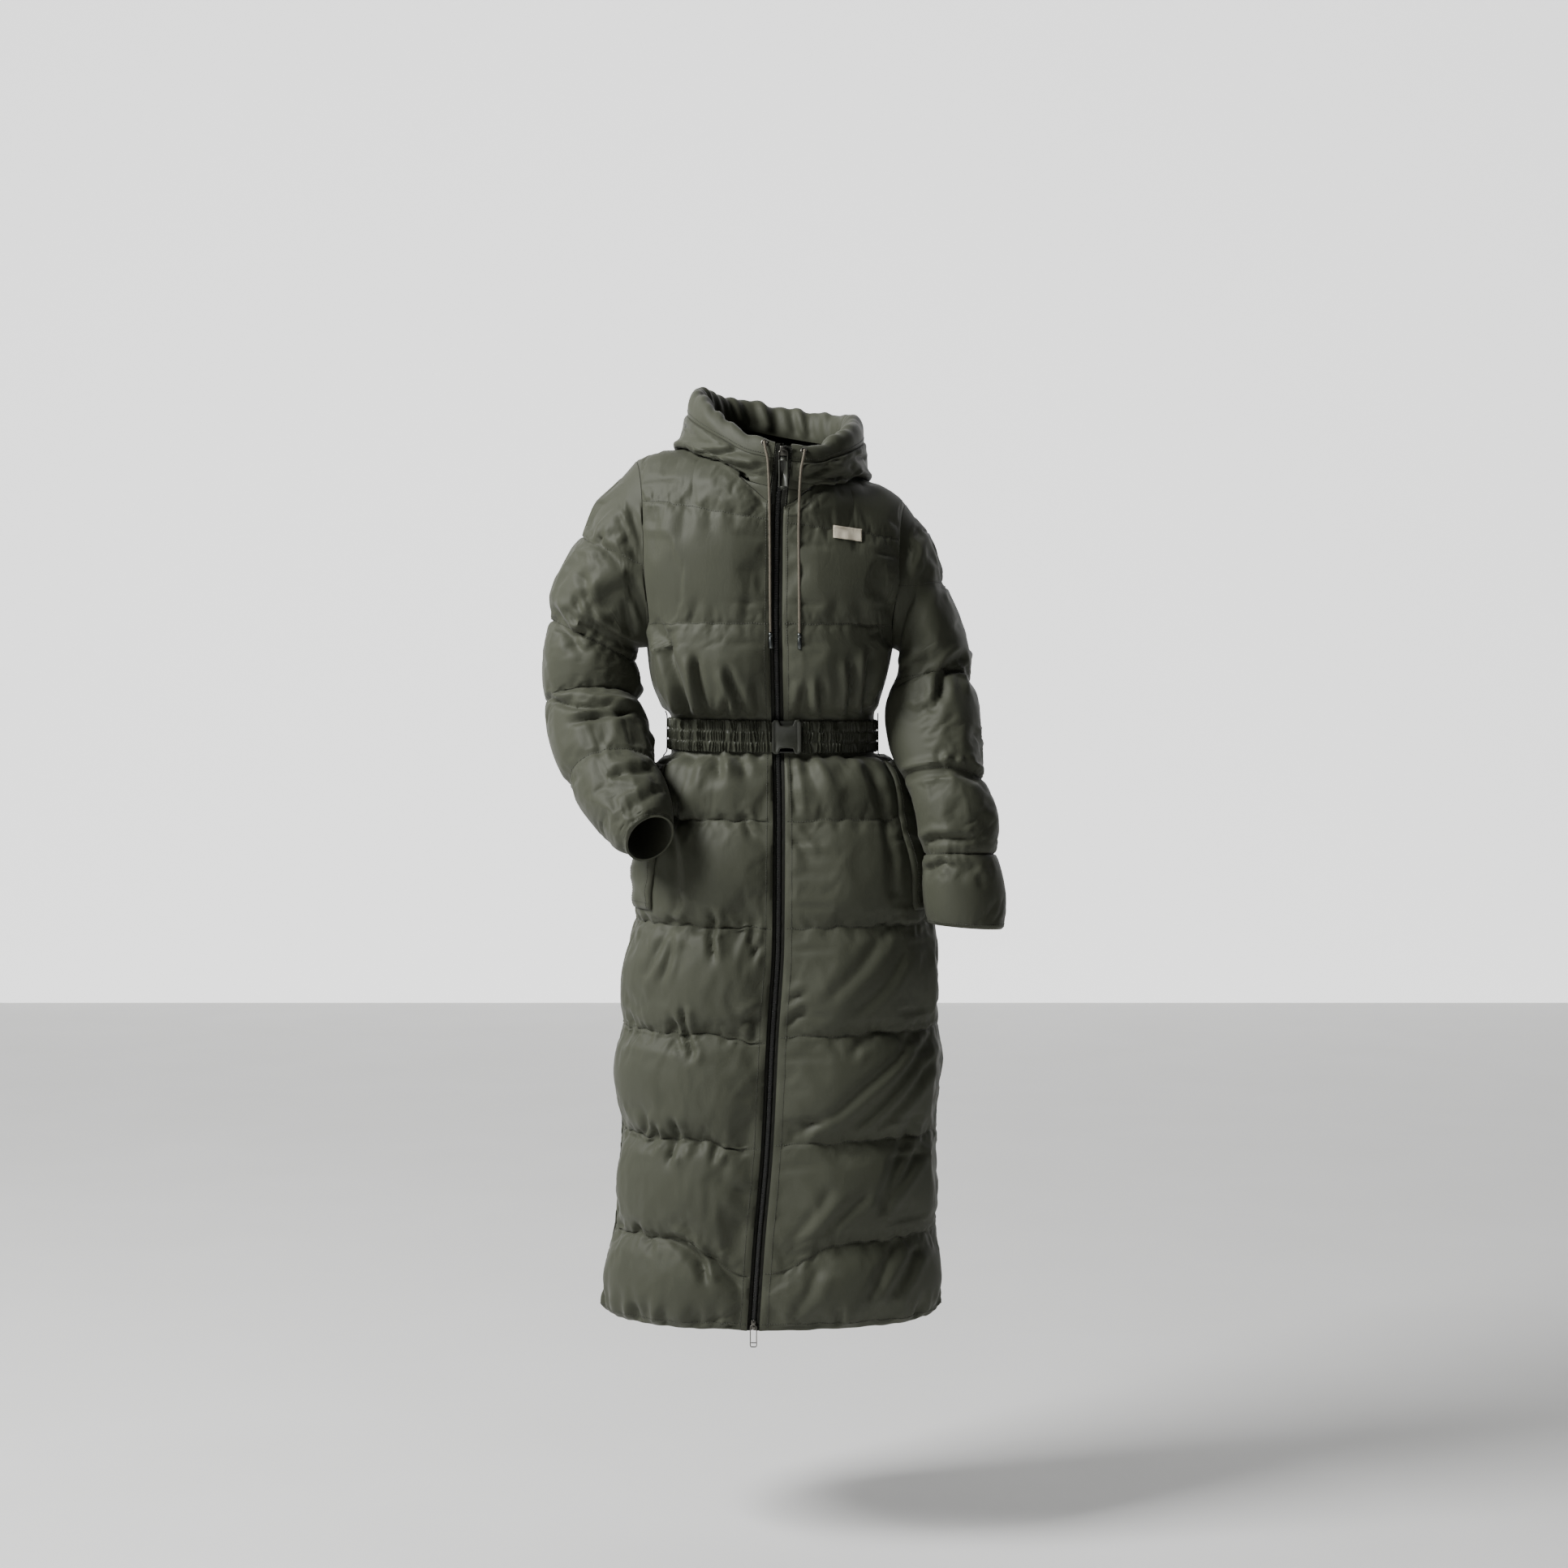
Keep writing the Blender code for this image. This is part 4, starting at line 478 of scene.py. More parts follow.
def sleeve_cut(turn, row, side):
    """How far along the cut sleeve a point is, from the top of its cap."""
    out, in_ = (read_row(SLEEVES[side], key, row) for key in ("cut_out", "cut_in"))
    share = (1 + np.cos(turn)) / 2
    return out * share + in_ * (1 - share)


# ------------------------------------------------------------------ the hood's plain form
def hood_place(radius, z, angle):
    """A point round the neck, from its angle in degrees; the front follows the zip."""
    turn = np.radians(angle)
    front = np.maximum(np.cos(turn), 0) ** 2
    x = TORSO_X + HOOD_LEAN * np.maximum(z, 0) * (1 - front) + radius * np.sin(turn)
    x = x + (zip_x(z) - TORSO_X) * front
    return stance(stacked(x, -radius * np.cos(turn), z))


def hood_read(name, angle):
    """A column of the hood's table, for an angle in degrees from the front, either way round."""
    return read(HOOD, HOOD_COLUMNS, name, 180 - np.abs(180 - np.abs(angle)))


def hood_surface(angle, t):
    """The hood's plain inner face: t is 0 at the neck seam, and 1 at the rim's seam."""
    angle, t = np.broadcast_arrays(np.asarray(angle, float), np.asarray(t, float))
    last = len(HOOD_KNOTS) - 1
    at = t * last
    i = np.clip(np.floor(at), 0, last - 1).astype(int)
    f = at - i
    place = []
    for end in ("_r", "_z"):
        knots = np.stack([hood_read(knot + end, angle) for knot in HOOD_KNOTS], -1)
        around = [np.clip(i + k, 0, last)[..., None] for k in (-1, 0, 1, 2)]
        before, a, b, after = (np.take_along_axis(knots, index, -1)[..., 0] for index in around)
        bend = (2 * before - 5 * a + 4 * b - after) * f + (3 * (a - b) + after - before) * f * f
        place.append(a + 0.5 * f * (b - before + bend))
    return hood_place(*place, angle)


# ------------------------------------------------------------------ filling, folds and walls
def loft(share):
    """The filling's height across a channel, share 0 to 1 between its stitched lines."""
    return np.clip(1 - np.abs(2 * share - 1) ** 2.2, 0, 1) ** 0.5


def edge_taper(distance, reach):
    """0 on a seam and 1 beyond reach, rounded."""
    share = np.clip(distance / reach, 0, 1)
    return np.sqrt(share * (2 - share))


def belt_clear(z):
    """0 under the belt and 1 away from it."""
    return ease(np.abs(z - BELT_Z), BELT_WIDTH * 0.53, BELT_WIDTH * 1.15)


def body_thickness(s, v, points, width, back):
    """A quilted panel's thickness: its stitched lines, its seams, the belt, and the folds drawn in by it."""
    share = np.where(v >= TOP_V - 1e-6, 1.0, v % 1.0)
    vent = VENT_WIDTH * 0.6 * (1 - ease(v, VENT_TO_V, VENT_TO_V + 0.1))
    from_side = np.maximum((1 - s) * width - vent, 0)
    from_edge = from_side if back else np.minimum(s * width, from_side)
    full = loft(share) * edge_taper(from_edge, 0.045)
    under_hood = ease(v, 8.2, 8.7) * (1 - ease(s, 0.60, 0.80))
    under_arm = ease(s, 0.6, 0.85) * ease(v, 5.7, 6.3) * (1 - ease(v, 7.0, 7.6))
    full = full * (1 - 0.8 * under_hood) * (1 - 0.95 * under_arm)
    z = points[..., 2]
    fold = (0.5 - 0.5 * np.cos(2 * math.pi * GATHERS * s)) * np.exp(-np.abs(z - BELT_Z) / GATHER_REACH)
    return WALL + LOFT * belt_clear(z) * full * np.clip(1 - 1.6 * GATHER_DEPTH / LOFT * fold, 0, 1)


def surface_normals(surface, s, v, sign):
    """The outward normals of surface(s, v), from its slopes; sign says which way round it runs."""
    along_s = surface(s + NUDGE, v) - surface(s - NUDGE, v)
    along_v = surface(s, v + NUDGE) - surface(s, v - NUDGE)
    return unit(np.cross(along_s, along_v)) * sign


def neck_out(points):
    """The level direction away from the middle of the neck."""
    away = np.asarray(points, float) - [TORSO_X, 0.0, 0.0]
    away[..., 2] = 0
    return unit(away)


def ring_out(angle, z):
    """The outward direction, square to the coat's plain form."""
    along = ring(angle + NUDGE, z) - ring(angle - NUDGE, z)
    return unit(stacked(along[..., 1], -along[..., 0], 0.0))


def zip_depth(z):
    """How far in front of the middle the zip's plain line is."""
    low = read(BODY, BODY_COLUMNS, "front", np.minimum(z, CHEST_Z))
    heights, depths = zip((CHEST_Z, 0.113), (-0.050, 0.115), *ZIP_TOP)
    return np.where(z < CHEST_Z, low, np.interp(z, heights, depths))


def zip_place(z):
    return stance(stacked(zip_x(z), -zip_depth(z), z))


# ------------------------------------------------------------------ the fine cloth's sizes
PANEL_COLUMNS = 96  # across a front, about 3.5 mm apart
BACK_HALF_COLUMNS = 60
CHANNEL_ROWS = 32  # up one quilted channel
SLEEVE_AROUND, SLEEVE_ALONG = 100, 210
EDGE_S = 0.045  # how far in from an armhole, in s, the wall turns to lie along the seam
SWELL_FRAMES = 18
LEAST_WALL = 0.0016  # a folded wall is nowhere thinner
SWELL_CAP = 0.006  # the furthest that the filling may push the cloth from its plain form

# Creases as seen from the front, in millimetres: depth, half the width, and the course from x, z to x, z. The
# cloth stands up beside them, higher on the left of the way they run. A ridge has a negative depth.
FRONT_FOLDS = (
    # drawn in above the belt
    (10, 6, (-129, -330), (-140, -285), (-158, -235), (-170, -200)),
    (9, 5.6, (-103, -330), (-112, -285), (-118, -245)),
    (9, 5.6, (-53, -330), (-66, -290), (-77, -262)),
    (7, 4.6, (-78, -330), (-74, -300)),
    (5.5, 6, (-30, -330), (-38, -280)),
    (9, 5.6, (87, -330), (92, -290), (89, -252)),
    (8, 5.6, (53, -330), (49, -276)),
    (6, 6, (22, -330), (30, -285)),
    (8, 6, (108, -330), (117, -240)),
    # long soft ones down the breast
    (2.4, 10, (-165, -50), (-172, -90), (-170, -125)),
    (2.2, 10, (-128, -30), (-136, -100)),
    (2, 8.5, (-100, -35), (-96, -90)),
    (1.6, 8, (-70, -45), (-64, -85)),
    (1.8, 6, (-122, -212), (-112, -170)),
    (1.8, 6, (-55, -212), (-44, -165)),
    (1.6, 6, (-90, -214), (-94, -180)),
    (4.5, 8, (-150, -212), (-158, -260)),
    (1.8, 6.5, (60, -206), (72, -175)),
    (1.8, 7, (105, -210), (98, -172)),
    (3.4, 9, (150, -200), (130, -160)),
    # the skirt: let out below the belt, caught at its stitched lines, and dragged across
    (8.5, 6, (-93, -373), (-87, -394), (-84, -413)),
    (4, 6, (-104, -369), (-106, -397)),
    (5, 6.5, (-65, -373), (-55, -394), (-48, -412)),
    (3, 6, (-42, -369), (-32, -391)),
    (4, 7, (-117, -373), (-123, -399), (-131, -426)),
    (2.8, 8, (20, -373), (36, -405), (49, -437)),
    (3, 6.5, (45, -369), (66, -405)),
    (3.2, 6.5, (79, -369), (91, -399)),
    (4, 5.5, (7, -378), (13, -437), (17, -463)),
    (5.5, 5, (-56, -455), (-45, -481), (-36, -488)),
    (4, 5, (-126, -463), (-134, -495)),
    (4, 6, (4, -479), (21, -498), (38, -517)),
    (8, 4.6, (-99, -583), (-92, -597), (-97, -621), (-92, -650)),
    (5, 4.5, (-37, -589), (-45, -634)),
    (6.5, 4.5, (-31, -624), (-44, -648)),
    (5, 5, (-20, -589), (-23, -665)),
    (6, 5, (-153, -598), (-142, -603), (-130, -606)),
    (4.8, 6, (-146, -594), (-168, -636), (-191, -681)),
    (4.8, 5, (-148, -613), (-151, -643), (-163, -680)),
    (4, 5.5, (-147, -558), (-140, -572), (-149, -594)),
    (4, 6, (-144, -442), (-151, -482), (-144, -517), (-141, -548), (-139, -576)),
    (9, 5, (-153, -726), (-146, -735), (-142, -758), (-133, -776)),
    (8.5, 5, (-136, -709), (-132, -736), (-122, -776)),
    (6, 5, (-144, -737), (-153, -774)),
    (5, 5, (-116, -761), (-127, -781)),
    (8, 6.5, (-57, -729), (-37, -722), (-39, -758)),
    (3, 5, (-176, -738), (-180, -765)),
    (4.5, 5.5, (3, -703), (19, -694), (36, -687)),
    (4.5, 5.5, (2, -737), (20, -717), (36, -707)),
    (5.5, 4.5, (-187, -854), (-185, -875), (-188, -895)),
    (6, 4.5, (-174, -867), (-170, -886), (-177, -906)),
    (9, 5, (-150, -860), (-141, -882), (-147, -899), (-156, -921)),
    (5, 4.8, (-133, -887), (-139, -912)),
    (5.5, 5, (-86, -886), (-90, -901), (-97, -918)),
    (3, 5, (-113, -890), (-110, -906)),
    (6.5, 5, (-200, -1005), (-190, -1022)),
    (4, 6, (-176, -1022), (-181, -1042)),
    (9.5, 6.2, (-155, -1016), (-134, -1027), (-118, -1040), (-109, -1055), (-102, -1077)),
    (5.5, 9, (-118, -1040), (-79, -1055), (-59, -1082), (-47, -1113)),
    (3, 8, (-91, -968), (-65, -990), (-42, -1012)),
    (3, 8, (-87, -934), (-65, -949), (-45, -962)),
    (5, 6, (-189, -1142), (-203, -1107)),
    (4.5, 6, (-159, -1138), (-164, -1109)),
    (4.5, 6, (-71, -1148), (-74, -1122)),
    (4.5, 6, (72, -1133), (76, -1105)),
    (3.6, 6.5, (176, -740), (152, -780), (106, -815), (70, -846), (21, -871)),
    (3.8, 6.5, (202, -756), (174, -787), (135, -832), (86, -873)),
    (3.8, 6.5, (199, -787), (163, -832), (121, -874)),
    (3, 6, (131, -738), (106, -752), (85, -777)),
    (4.2, 6.5, (175, -858), (146, -927), (125, -975)),
    (4, 6.5, (182, -904), (152, -947), (124, -987)),
    (3.4, 7, (114, -953), (72, -987), (42, -1015)),
    (3.4, 8, (66, -944), (28, -999), (4, -1022)),
    (3.4, 8, (40, -854), (10, -886)),
    (3.8, 7, (153, -1022), (129, -1065), (108, -1102)),
    (3.8, 7, (182, -1033), (163, -1068), (139, -1102)),
    (3.2, 8, (47, -1050), (31, -1088), (10, -1119)),
    (3, 8, (142, -602), (100, -656), (57, -699)),
    (2.8, 8, (164, -634), (132, -683), (89, -720)),
    (2.8, 4.5, (-49, -26), (-37, -39), (-20, -61)),
    (3.5, 4.5, (53, -26), (36, -42), (20, -57)),
    (4, 6, (117, -401), (132, -453), (142, -517), (143, -568)),
)
SLEEVE_RIGHT_FOLDS = (
    (8.5, 5.5, (-261, -198), (-245, -213), (-229, -223), (-212, -232), (-194, -240)),
    (5, 5, (-267, -205), (-246, -221), (-205, -236)),
    (8.5, 7, (-315, -181), (-299, -203), (-286, -225), (-275, -239), (-266, -245)),
    (6, 5, (-292, -184), (-281, -199), (-274, -207)),
    (7, 6, (-286, -222), (-272, -221), (-261, -215)),
    (9, 4.5, (-316, -308), (-288, -314), (-271, -316), (-234, -317), (-198, -321)),
    (5, 4, (-296, -306), (-266, -307), (-240, -311), (-209, -316)),
    (7.5, 4.5, (-286, -338), (-266, -332), (-246, -328), (-223, -325), (-200, -321)),
    (5.5, 4, (-242, -77), (-244, -89), (-247, -103)),
    (6.5, 6, (-244, -100), (-232, -112), (-221, -122), (-202, -131)),
    (4, 5.5, (-222, -59), (-212, -84), (-202, -108), (-187, -124)),
    (4.5, 6, (-205, -53), (-196, -81), (-186, -111)),
    (4, 6.5, (-267, -138), (-264, -165), (-258, -193)),
    (4.5, 4.5, (-279, -166), (-275, -184), (-267, -201)),
    (3.5, 7, (-264, -64), (-261, -79), (-257, -97)),
    (6, 7, (-205, -151), (-193, -176), (-182, -206)),
    (4, 6, (-212, -173), (-206, -203), (-208, -226)),
    (6.5, 5.5, (-228, -406), (-213, -400), (-200, -398), (-170, -399)),
    (3.5, 7, (-210, -454), (-186, -436), (-163, -424)),
    (3.5, 7, (-201, -494), (-181, -475), (-163, -451)),
    (3.5, 5.5, (-238, -352), (-244, -374), (-237, -390)),
)
SLEEVE_LEFT_FOLDS = (
    (2.4, 6.5, (153, -206), (158, -184), (165, -169), (178, -149), (192, -130), (194, -106)),
    (7.5, 8, (136, -285), (154, -277), (170, -268), (185, -260), (201, -251)),
    (6.8, 6.5, (183, -315), (199, -317), (207, -300), (210, -286), (219, -265), (232, -253), (248, -244)),
    (-4, 5, (235, -261), (241, -281), (247, -302)),
    (4.5, 6.5, (154, -318), (172, -327), (191, -320)),
    (9.5, 5.5, (158, -410), (176, -404), (203, -399), (221, -396), (244, -404), (263, -414)),
    (5.5, 5, (201, -379), (206, -390), (210, -401)),
    (5.5, 5.5, (228, -377), (221, -388), (212, -399)),
    (5.5, 5, (233, -384), (247, -397)),
    (7, 5.5, (185, -499), (193, -491), (201, -488), (222, -487), (250, -487)),
    (6, 5, (188, -537), (198, -526), (207, -520), (226, -529)),
    (3, 7, (259, -444), (267, -476)),
    (3.5, 6, (254, -533), (263, -554)),
)
HOOD_FOLDS = (
    (6, 4.2, (-121, 19), (-98, 16), (-81, 16), (-57, 22)),
    (7, 4.8, (-92, 9), (-76, 2), (-64, -3), (-47, -5), (-30, -4)),
    (4.5, 4.5, (-53, 1), (-44, -11), (-34, -15)),
    (6, 5.5, (24, -19), (42, -9), (56, -3), (76, -1)),
    (6.5, 6.5, (56, -16), (80, -13), (106, -23)),
    (4, 5, (83, 3), (101, -11)),
    (3.5, 5, (45, -4), (64, 7), (82, 10)),
)
BACK_FOLDS = (
    (7, 6.5, (-100, -330), (-104, -280), (-112, -235)),
    (5.5, 6, (-62, -330), (-70, -270)),
    (6.5, 6.5, (-20, -330), (-28, -285), (-26, -240)),
    (5.5, 6, (25, -330), (20, -280)),
    (7, 6.5, (66, -330), (70, -290), (78, -255)),
    (7.5, 6.5, (-90, -378), (-96, -405), (-108, -440)),
    (6, 6, (-48, -378), (-52, -420)),
    (7, 6.5, (0, -378), (-6, -410), (-8, -450)),
    (6, 6, (44, -378), (56, -425)),
    (7, 6.5, (84, -378), (92, -405), (100, -440)),
    (7.5, 5, (-128, -590), (-134, -610), (-130, -645)),
    (7, 5, (58, -622), (64, -600), (72, -575)),
    (7, 5.2, (16, -730), (10, -755), (0, -785)),
    (6, 5, (-100, -760), (-94, -735), (-86, -712)),
    (7, 5.2, (124, -870), (116, -890), (104, -925)),
    (6, 5, (-58, -900), (-66, -880), (-70, -856)),
    (8.5, 6, (-156, -1012), (-142, -1030), (-130, -1060)),
    (6, 5, (46, -1030), (56, -1008), (62, -988)),
    (3.6, 7, (-150, -640), (-110, -680), (-70, -720)),
    (3.6, 7, (140, -780), (105, -830), (80, -870)),
    (3.6, 7, (-120, -920), (-85, -970), (-60, -1000)),
    (3.4, 8, (20, -230), (80, -190), (130, -140)),
    (3.4, 8, (-30, -225), (-85, -190), (-125, -130)),
    (4.5, 6, (90, -1135), (94, -1105)),
    (4.5, 6, (-30, -1145), (-34, -1115)),
)


# ------------------------------------------------------------------ cloth walls
def link(name, data):
    """A new object for this data, in the scene."""
    made = bpy.data.objects.new(name, data)
    bpy.context.scene.collection.objects.link(made)
    return made


def add_mesh(name, vertices, faces):
    """A smooth mesh of these points and faces, as a new piece."""
    mesh = bpy.data.meshes.new(name)
    mesh.from_pydata(vertices, [], faces)
    mesh.shade_smooth()
    return link(name, mesh)


def shaded(piece, sharp=50):
    """The same piece, smooth but for its edges sharper than an angle in degrees."""
    piece.data.shade_smooth()
    piece.data.set_sharp_from_angle(angle=math.radians(sharp))
    return piece


def grid_corners(rows, columns, closed):
    """The row and column of each corner of a grid's faces; a closed grid joins its sides."""
    i, j = np.indices((rows - 1, columns if closed else columns - 1)).reshape(2, -1)
    return [(i, j), (i, j + 1), (i + 1, j + 1), (i + 1, j)]


def grid_faces(rows, columns, closed):
    return np.stack([a * columns + b % columns for a, b in grid_corners(rows, columns, closed)], -1)


def add_wall(name, inner, outer, uv, closed=False):
    """A closed cloth wall between two grids of points, with a map in metres that follows the cloth."""
    rows, columns = inner.shape[:2]
    faces, corners = [], []

    def add(marks, layers):
        places = zip(marks, layers)
        faces.append(np.stack([(layer * rows + a) * columns + b % columns for (a, b), layer in places], -1))
        corners.append(np.stack([uv[a, b % uv.shape[1] if closed else b] for a, b in marks], 1))

    square = grid_corners(rows, columns, closed)
    add(square, (1, 1, 1, 1))
    add(square[::-1], (0, 0, 0, 0))
    along = np.arange(columns if closed else columns - 1)
    edges = [([(row, along), (row, along + 1)], turn) for row, turn in ((0, 1), (rows - 1, -1))]
    if not closed:
        up = np.arange(rows - 1)
        edges += [([(up, column), (up + 1, column)], turn) for column, turn in ((0, -1), (columns - 1, 1))]
    for ends, turn in edges:
        marks = [np.broadcast_arrays(*mark) for mark in ends + ends[::-1]]
        add(marks[::turn], (0, 0, 1, 1)[::turn])
    faces, corners = np.concatenate(faces), np.concatenate(corners)
    vertices = np.concatenate([inner.reshape(-1, 3), outer.reshape(-1, 3)])
    a, b, c, d = (vertices[faces[:, k]] for k in range(4))
    if (a * np.cross(b, c)).sum() + (a * np.cross(c, d)).sum() < 0:
        faces, corners = faces[:, ::-1], corners[:, ::-1]
    piece = add_mesh(name, vertices.tolist(), faces.tolist())
    piece.data.uv_layers.new(name="cloth").data.foreach_set("uv", corners.reshape(-1).astype(np.float32))
    return shaded(piece, 62)


def waves(at, seed, shortest, longest, count=7):
    """An uneven ripple between -1 and 1 along a line, the same each time for a seed."""
    rng = np.random.RandomState(seed)
    total = 0
    for length in np.geomspace(shortest, longest, count):
        total = total + rng.uniform(0.4, 1.0) * np.sin(2 * math.pi * (at / length + rng.rand()))
    return np.clip(total / (0.8 * count**0.5), -1, 1)


def crease(across, up, folds):
    """How deep creases press at places on a flat view."""
    pressed = np.zeros(across.shape)
    for depth, width, *course in folds:
        depth, width, course = depth / 1000, width / 1000, np.array(course) / 1000
        lengths = np.linalg.norm(np.diff(course, axis=0), axis=1)
        off, along, above, so_far = np.full(across.shape, 9.0), 0 * pressed, 0 * pressed, 0.0
        for start, end, length in zip(course, course[1:], lengths):
            run = (end - start) / length
            x, z = across - start[0], up - start[1]
            t = np.clip(x * run[0] + z * run[1], 0, length)
            distance = np.hypot(x - t * run[0], z - t * run[1])
            near = distance < off
            off = np.where(near, distance, off)
            along = np.where(near, so_far + t, along)
            above = np.where(near, run[0] * z - run[1] * x, above)
            so_far += length
        reach = min(0.012, 0.3 * so_far)
        held = ease(along, -0.3 * reach, reach) * ease(so_far - along, -0.3 * reach, 1.3 * reach)
        beside = 0.36 + 0.24 * np.clip(above / width, -1, 1)
        ridge = np.exp(-(((off - 2.0 * width) / (1.1 * width)) ** 2))
        trough = np.exp(-((off / width) ** 1.6)) - beside * ridge
        pressed += depth * held * trough
    return pressed


def fold_in(points, normals, folds, facing):
    """Presses creases into the cloth that faces one way (-1 the front, 1 the back)."""
    faces_us = ease(normals[..., 1] * facing, -0.20, 0.30)
    return pushed(points, normals, -faces_us * crease(points[..., 0], points[..., 2], folds))


def mirrored(folds, drop):
    """The same creases for a hidden side, turned left to right and moved down."""
    return [(depth, width, *[(-x, z - drop) for x, z in course]) for depth, width, *course in folds]


def kept_above(outer, points, normals):
    """The outer cloth, lifted where it would sink towards the plain inner face."""
    above = ((outer - points) * normals).sum(-1)
    return pushed(outer, normals, np.clip(LEAST_WALL - above, 0, None))


def fill(sheet, pins, large, pressure):
    """Makes a sheet swell as cloth cut a little large, held at its stitching and pressed from inside."""
    held = sheet.vertex_groups.new(name="stitched")
    steps = np.round(np.clip(pins, 0, 1).ravel(), 1)
    for weight in np.unique(steps[steps > 0]):
        held.add(np.flatnonzero(steps == weight).tolist(), float(weight), "REPLACE")
    cloth = sheet.modifiers.new("filling", "CLOTH")
    settings = cloth.settings
    settings.quality = 4
    settings.mass = 0.12
    settings.tension_stiffness = settings.compression_stiffness = 12
    settings.shear_stiffness = 4
    settings.bending_stiffness = 0.08
    settings.tension_damping = settings.compression_damping = settings.shear_damping = 6
    settings.vertex_group_mass = "stitched"
    settings.shrink_min = -large
    settings.use_pressure = True
    settings.uniform_pressure_force = pressure
    settings.effector_weights.gravity = 0
    cloth.collision_settings.use_collision = False
    cloth.point_cache.frame_end = SWELL_FRAMES


def swell(sheets):
    """Lets the filling push every padded sheet out at once."""
    made = {}
    for name, (points, pins, closed, large, pressure) in sheets.items():
        faces = grid_faces(*points.shape[:2], closed)
        made[name] = add_mesh(name + "_sheet", points.reshape(-1, 3).tolist(), faces.tolist())
        fill(made[name], pins, large, pressure)
    for step in range(1, SWELL_FRAMES + 1):
        bpy.context.scene.frame_set(step)
    swollen = {}
    for name, sheet in made.items():
        bpy.context.view_layer.objects.active = sheet
        bpy.ops.object.modifier_apply(modifier="filling")
        flat = np.empty(len(sheet.data.vertices) * 3, np.float32)
        sheet.data.vertices.foreach_get("co", flat)
        swollen[name] = flat.reshape(sheets[name][0].shape).astype(float)
        bpy.data.objects.remove(sheet)
    bpy.context.scene.frame_set(1)
    return swollen


def capped(plain, swollen, allowed):
    """The swollen cloth, moved no further from its plain form than allowed."""
    move = swollen - plain
    far = np.linalg.norm(move, axis=-1, keepdims=True)
    return plain + move * np.minimum(1, allowed[..., None] / np.maximum(far, 1e-9))


# where the cloth's map of each kind of piece starts, so that no two show the same weave
MAPS = {"sleeve": 3, "back": 4, "hood": 7, "rim": 9, "insert": 12, "tape": 14, "welt": 16, "vent": 20}


# ------------------------------------------------------------------ body panels
def channel_rows():
    """Rows up a panel, closer together beside the stitched lines."""
    share = np.linspace(0, 1, CHANNEL_ROWS, endpoint=False)
    share = 0.5 * share + 0.5 * (0.5 - 0.5 * np.cos(math.pi * share))
    return np.append((np.arange(TOP_V)[:, None] + share).ravel(), TOP_V)


LIP, LIP_LIFT, LIP_REACH = 0.0034, 0.0022, 0.016  # how a front's edge lies over the zip's tape
SEAM_LAP = 0.0002  # how far a front and the back lie over each other in their seam
WANDER = 0.018  # how far a stitched line strays, as a share of a channel
# how much the filling hides each stitched line: most across the breast, and more on the wearer's left
SOFT_LINES = {
    -1: {6: 0.30, 7: 0.50, 8: 0.66},
    1: {1: 0.42, 2: 0.34, 3: 0.34, 4: 0.34, 5: 0.30, 6: 0.36, 7: 0.55, 8: 0.66},
}
SOFT_REACH = 0.20


def wander(s, v, side, back):
    """How far the cloth near each stitched line, and the hem, is drawn up or down."""
    line = np.round(v)
    near = (1 - 2 * np.abs(v - line)) ** 2 * np.clip(s / 0.06, 0, 1) * np.clip((1 - s) / 0.10, 0, 1)
    drift = 0
    for k in range(9):
        seed = 300 + 20 * k + 3 * side + back
        reach = WANDER if 0 < k < 7 else 0.4 * WANDER
        drift = drift + (line == k) * reach * (waves(s, seed, 0.10, 0.55, 5) + 0.9 * (k == 0))
    return near * drift


def soft_lines(v, side):
    """Heights whose filling is read in place of these, so that some lines lie less deep."""
    line = np.round(v)
    gap = v - line
    for k, share in SOFT_LINES[side].items():
        near = (line == k) & (np.abs(gap) < SOFT_REACH)
        raised = np.where(gap < 0, -1, 1) * (share * SOFT_REACH + (1 - share) * np.abs(gap))
        gap = np.where(near, raised, gap)
    return line + gap


def panel_forms(side, back):
    """A panel's plain inner points, outward normals, thickness, and where it may swell."""
    columns = BACK_HALF_COLUMNS if back else PANEL_COLUMNS
    s, v = np.meshgrid(np.linspace(0, 1, columns), channel_rows())

    def place(s_at, v_at):
        return stance(body_surface(s_at, v_at + wander(s_at, v_at, side, back), side, back))

    points = place(s, v)
    normals = surface_normals(place, s, v, -side if back else side)
    turn = np.array([armhole_turn(row) for row in v[:, 0]])
    beside_sleeve = np.clip((s - 1 + EDGE_S) / EDGE_S, 0, 1) * ease(v, UNDERARM_V - 0.05, UNDERARM_V + 0.02)
    toward = armhole_out(turn, side) * (1, -1 if back else 1, 1)
    normals = unit(normals + (toward[:, None] - normals) * beside_sleeve[..., None])
    if not back:
        beside_insert = ease(v, 8.65, 9.0) * (s < NECK_S * 0.45)
        normals = unit(pushed(normals, neck_out(points) - normals, beside_insert))
    width = np.linalg.norm(np.diff(points, axis=1), axis=-1).sum(1)[:, None]
    thickness = body_thickness(s, soft_lines(v, -1 if back else side), points, width, back)
    # the seams are drawn shut
    apart = -SEAM_LAP * (1 if back else -1)
    points[:, -1, 1] += apart
    points[-1, :, 1] += apart * (s[-1] >= NECK_S)
    if not back:
        lip = np.clip(1 - s * width / LIP_REACH, 0, 1) ** 2
        points = points + stacked(-side * LIP * lip, -LIP_LIFT * lip, 0.0)
    free = (thickness - WALL) / LOFT
    heights = np.interp(v, np.arange(10), (*QUILT_Z, 0.0))
    map_ = stacked(side * s * width.mean() + MAPS["back"] * back, heights)
    return points, normals, thickness, free, v, map_


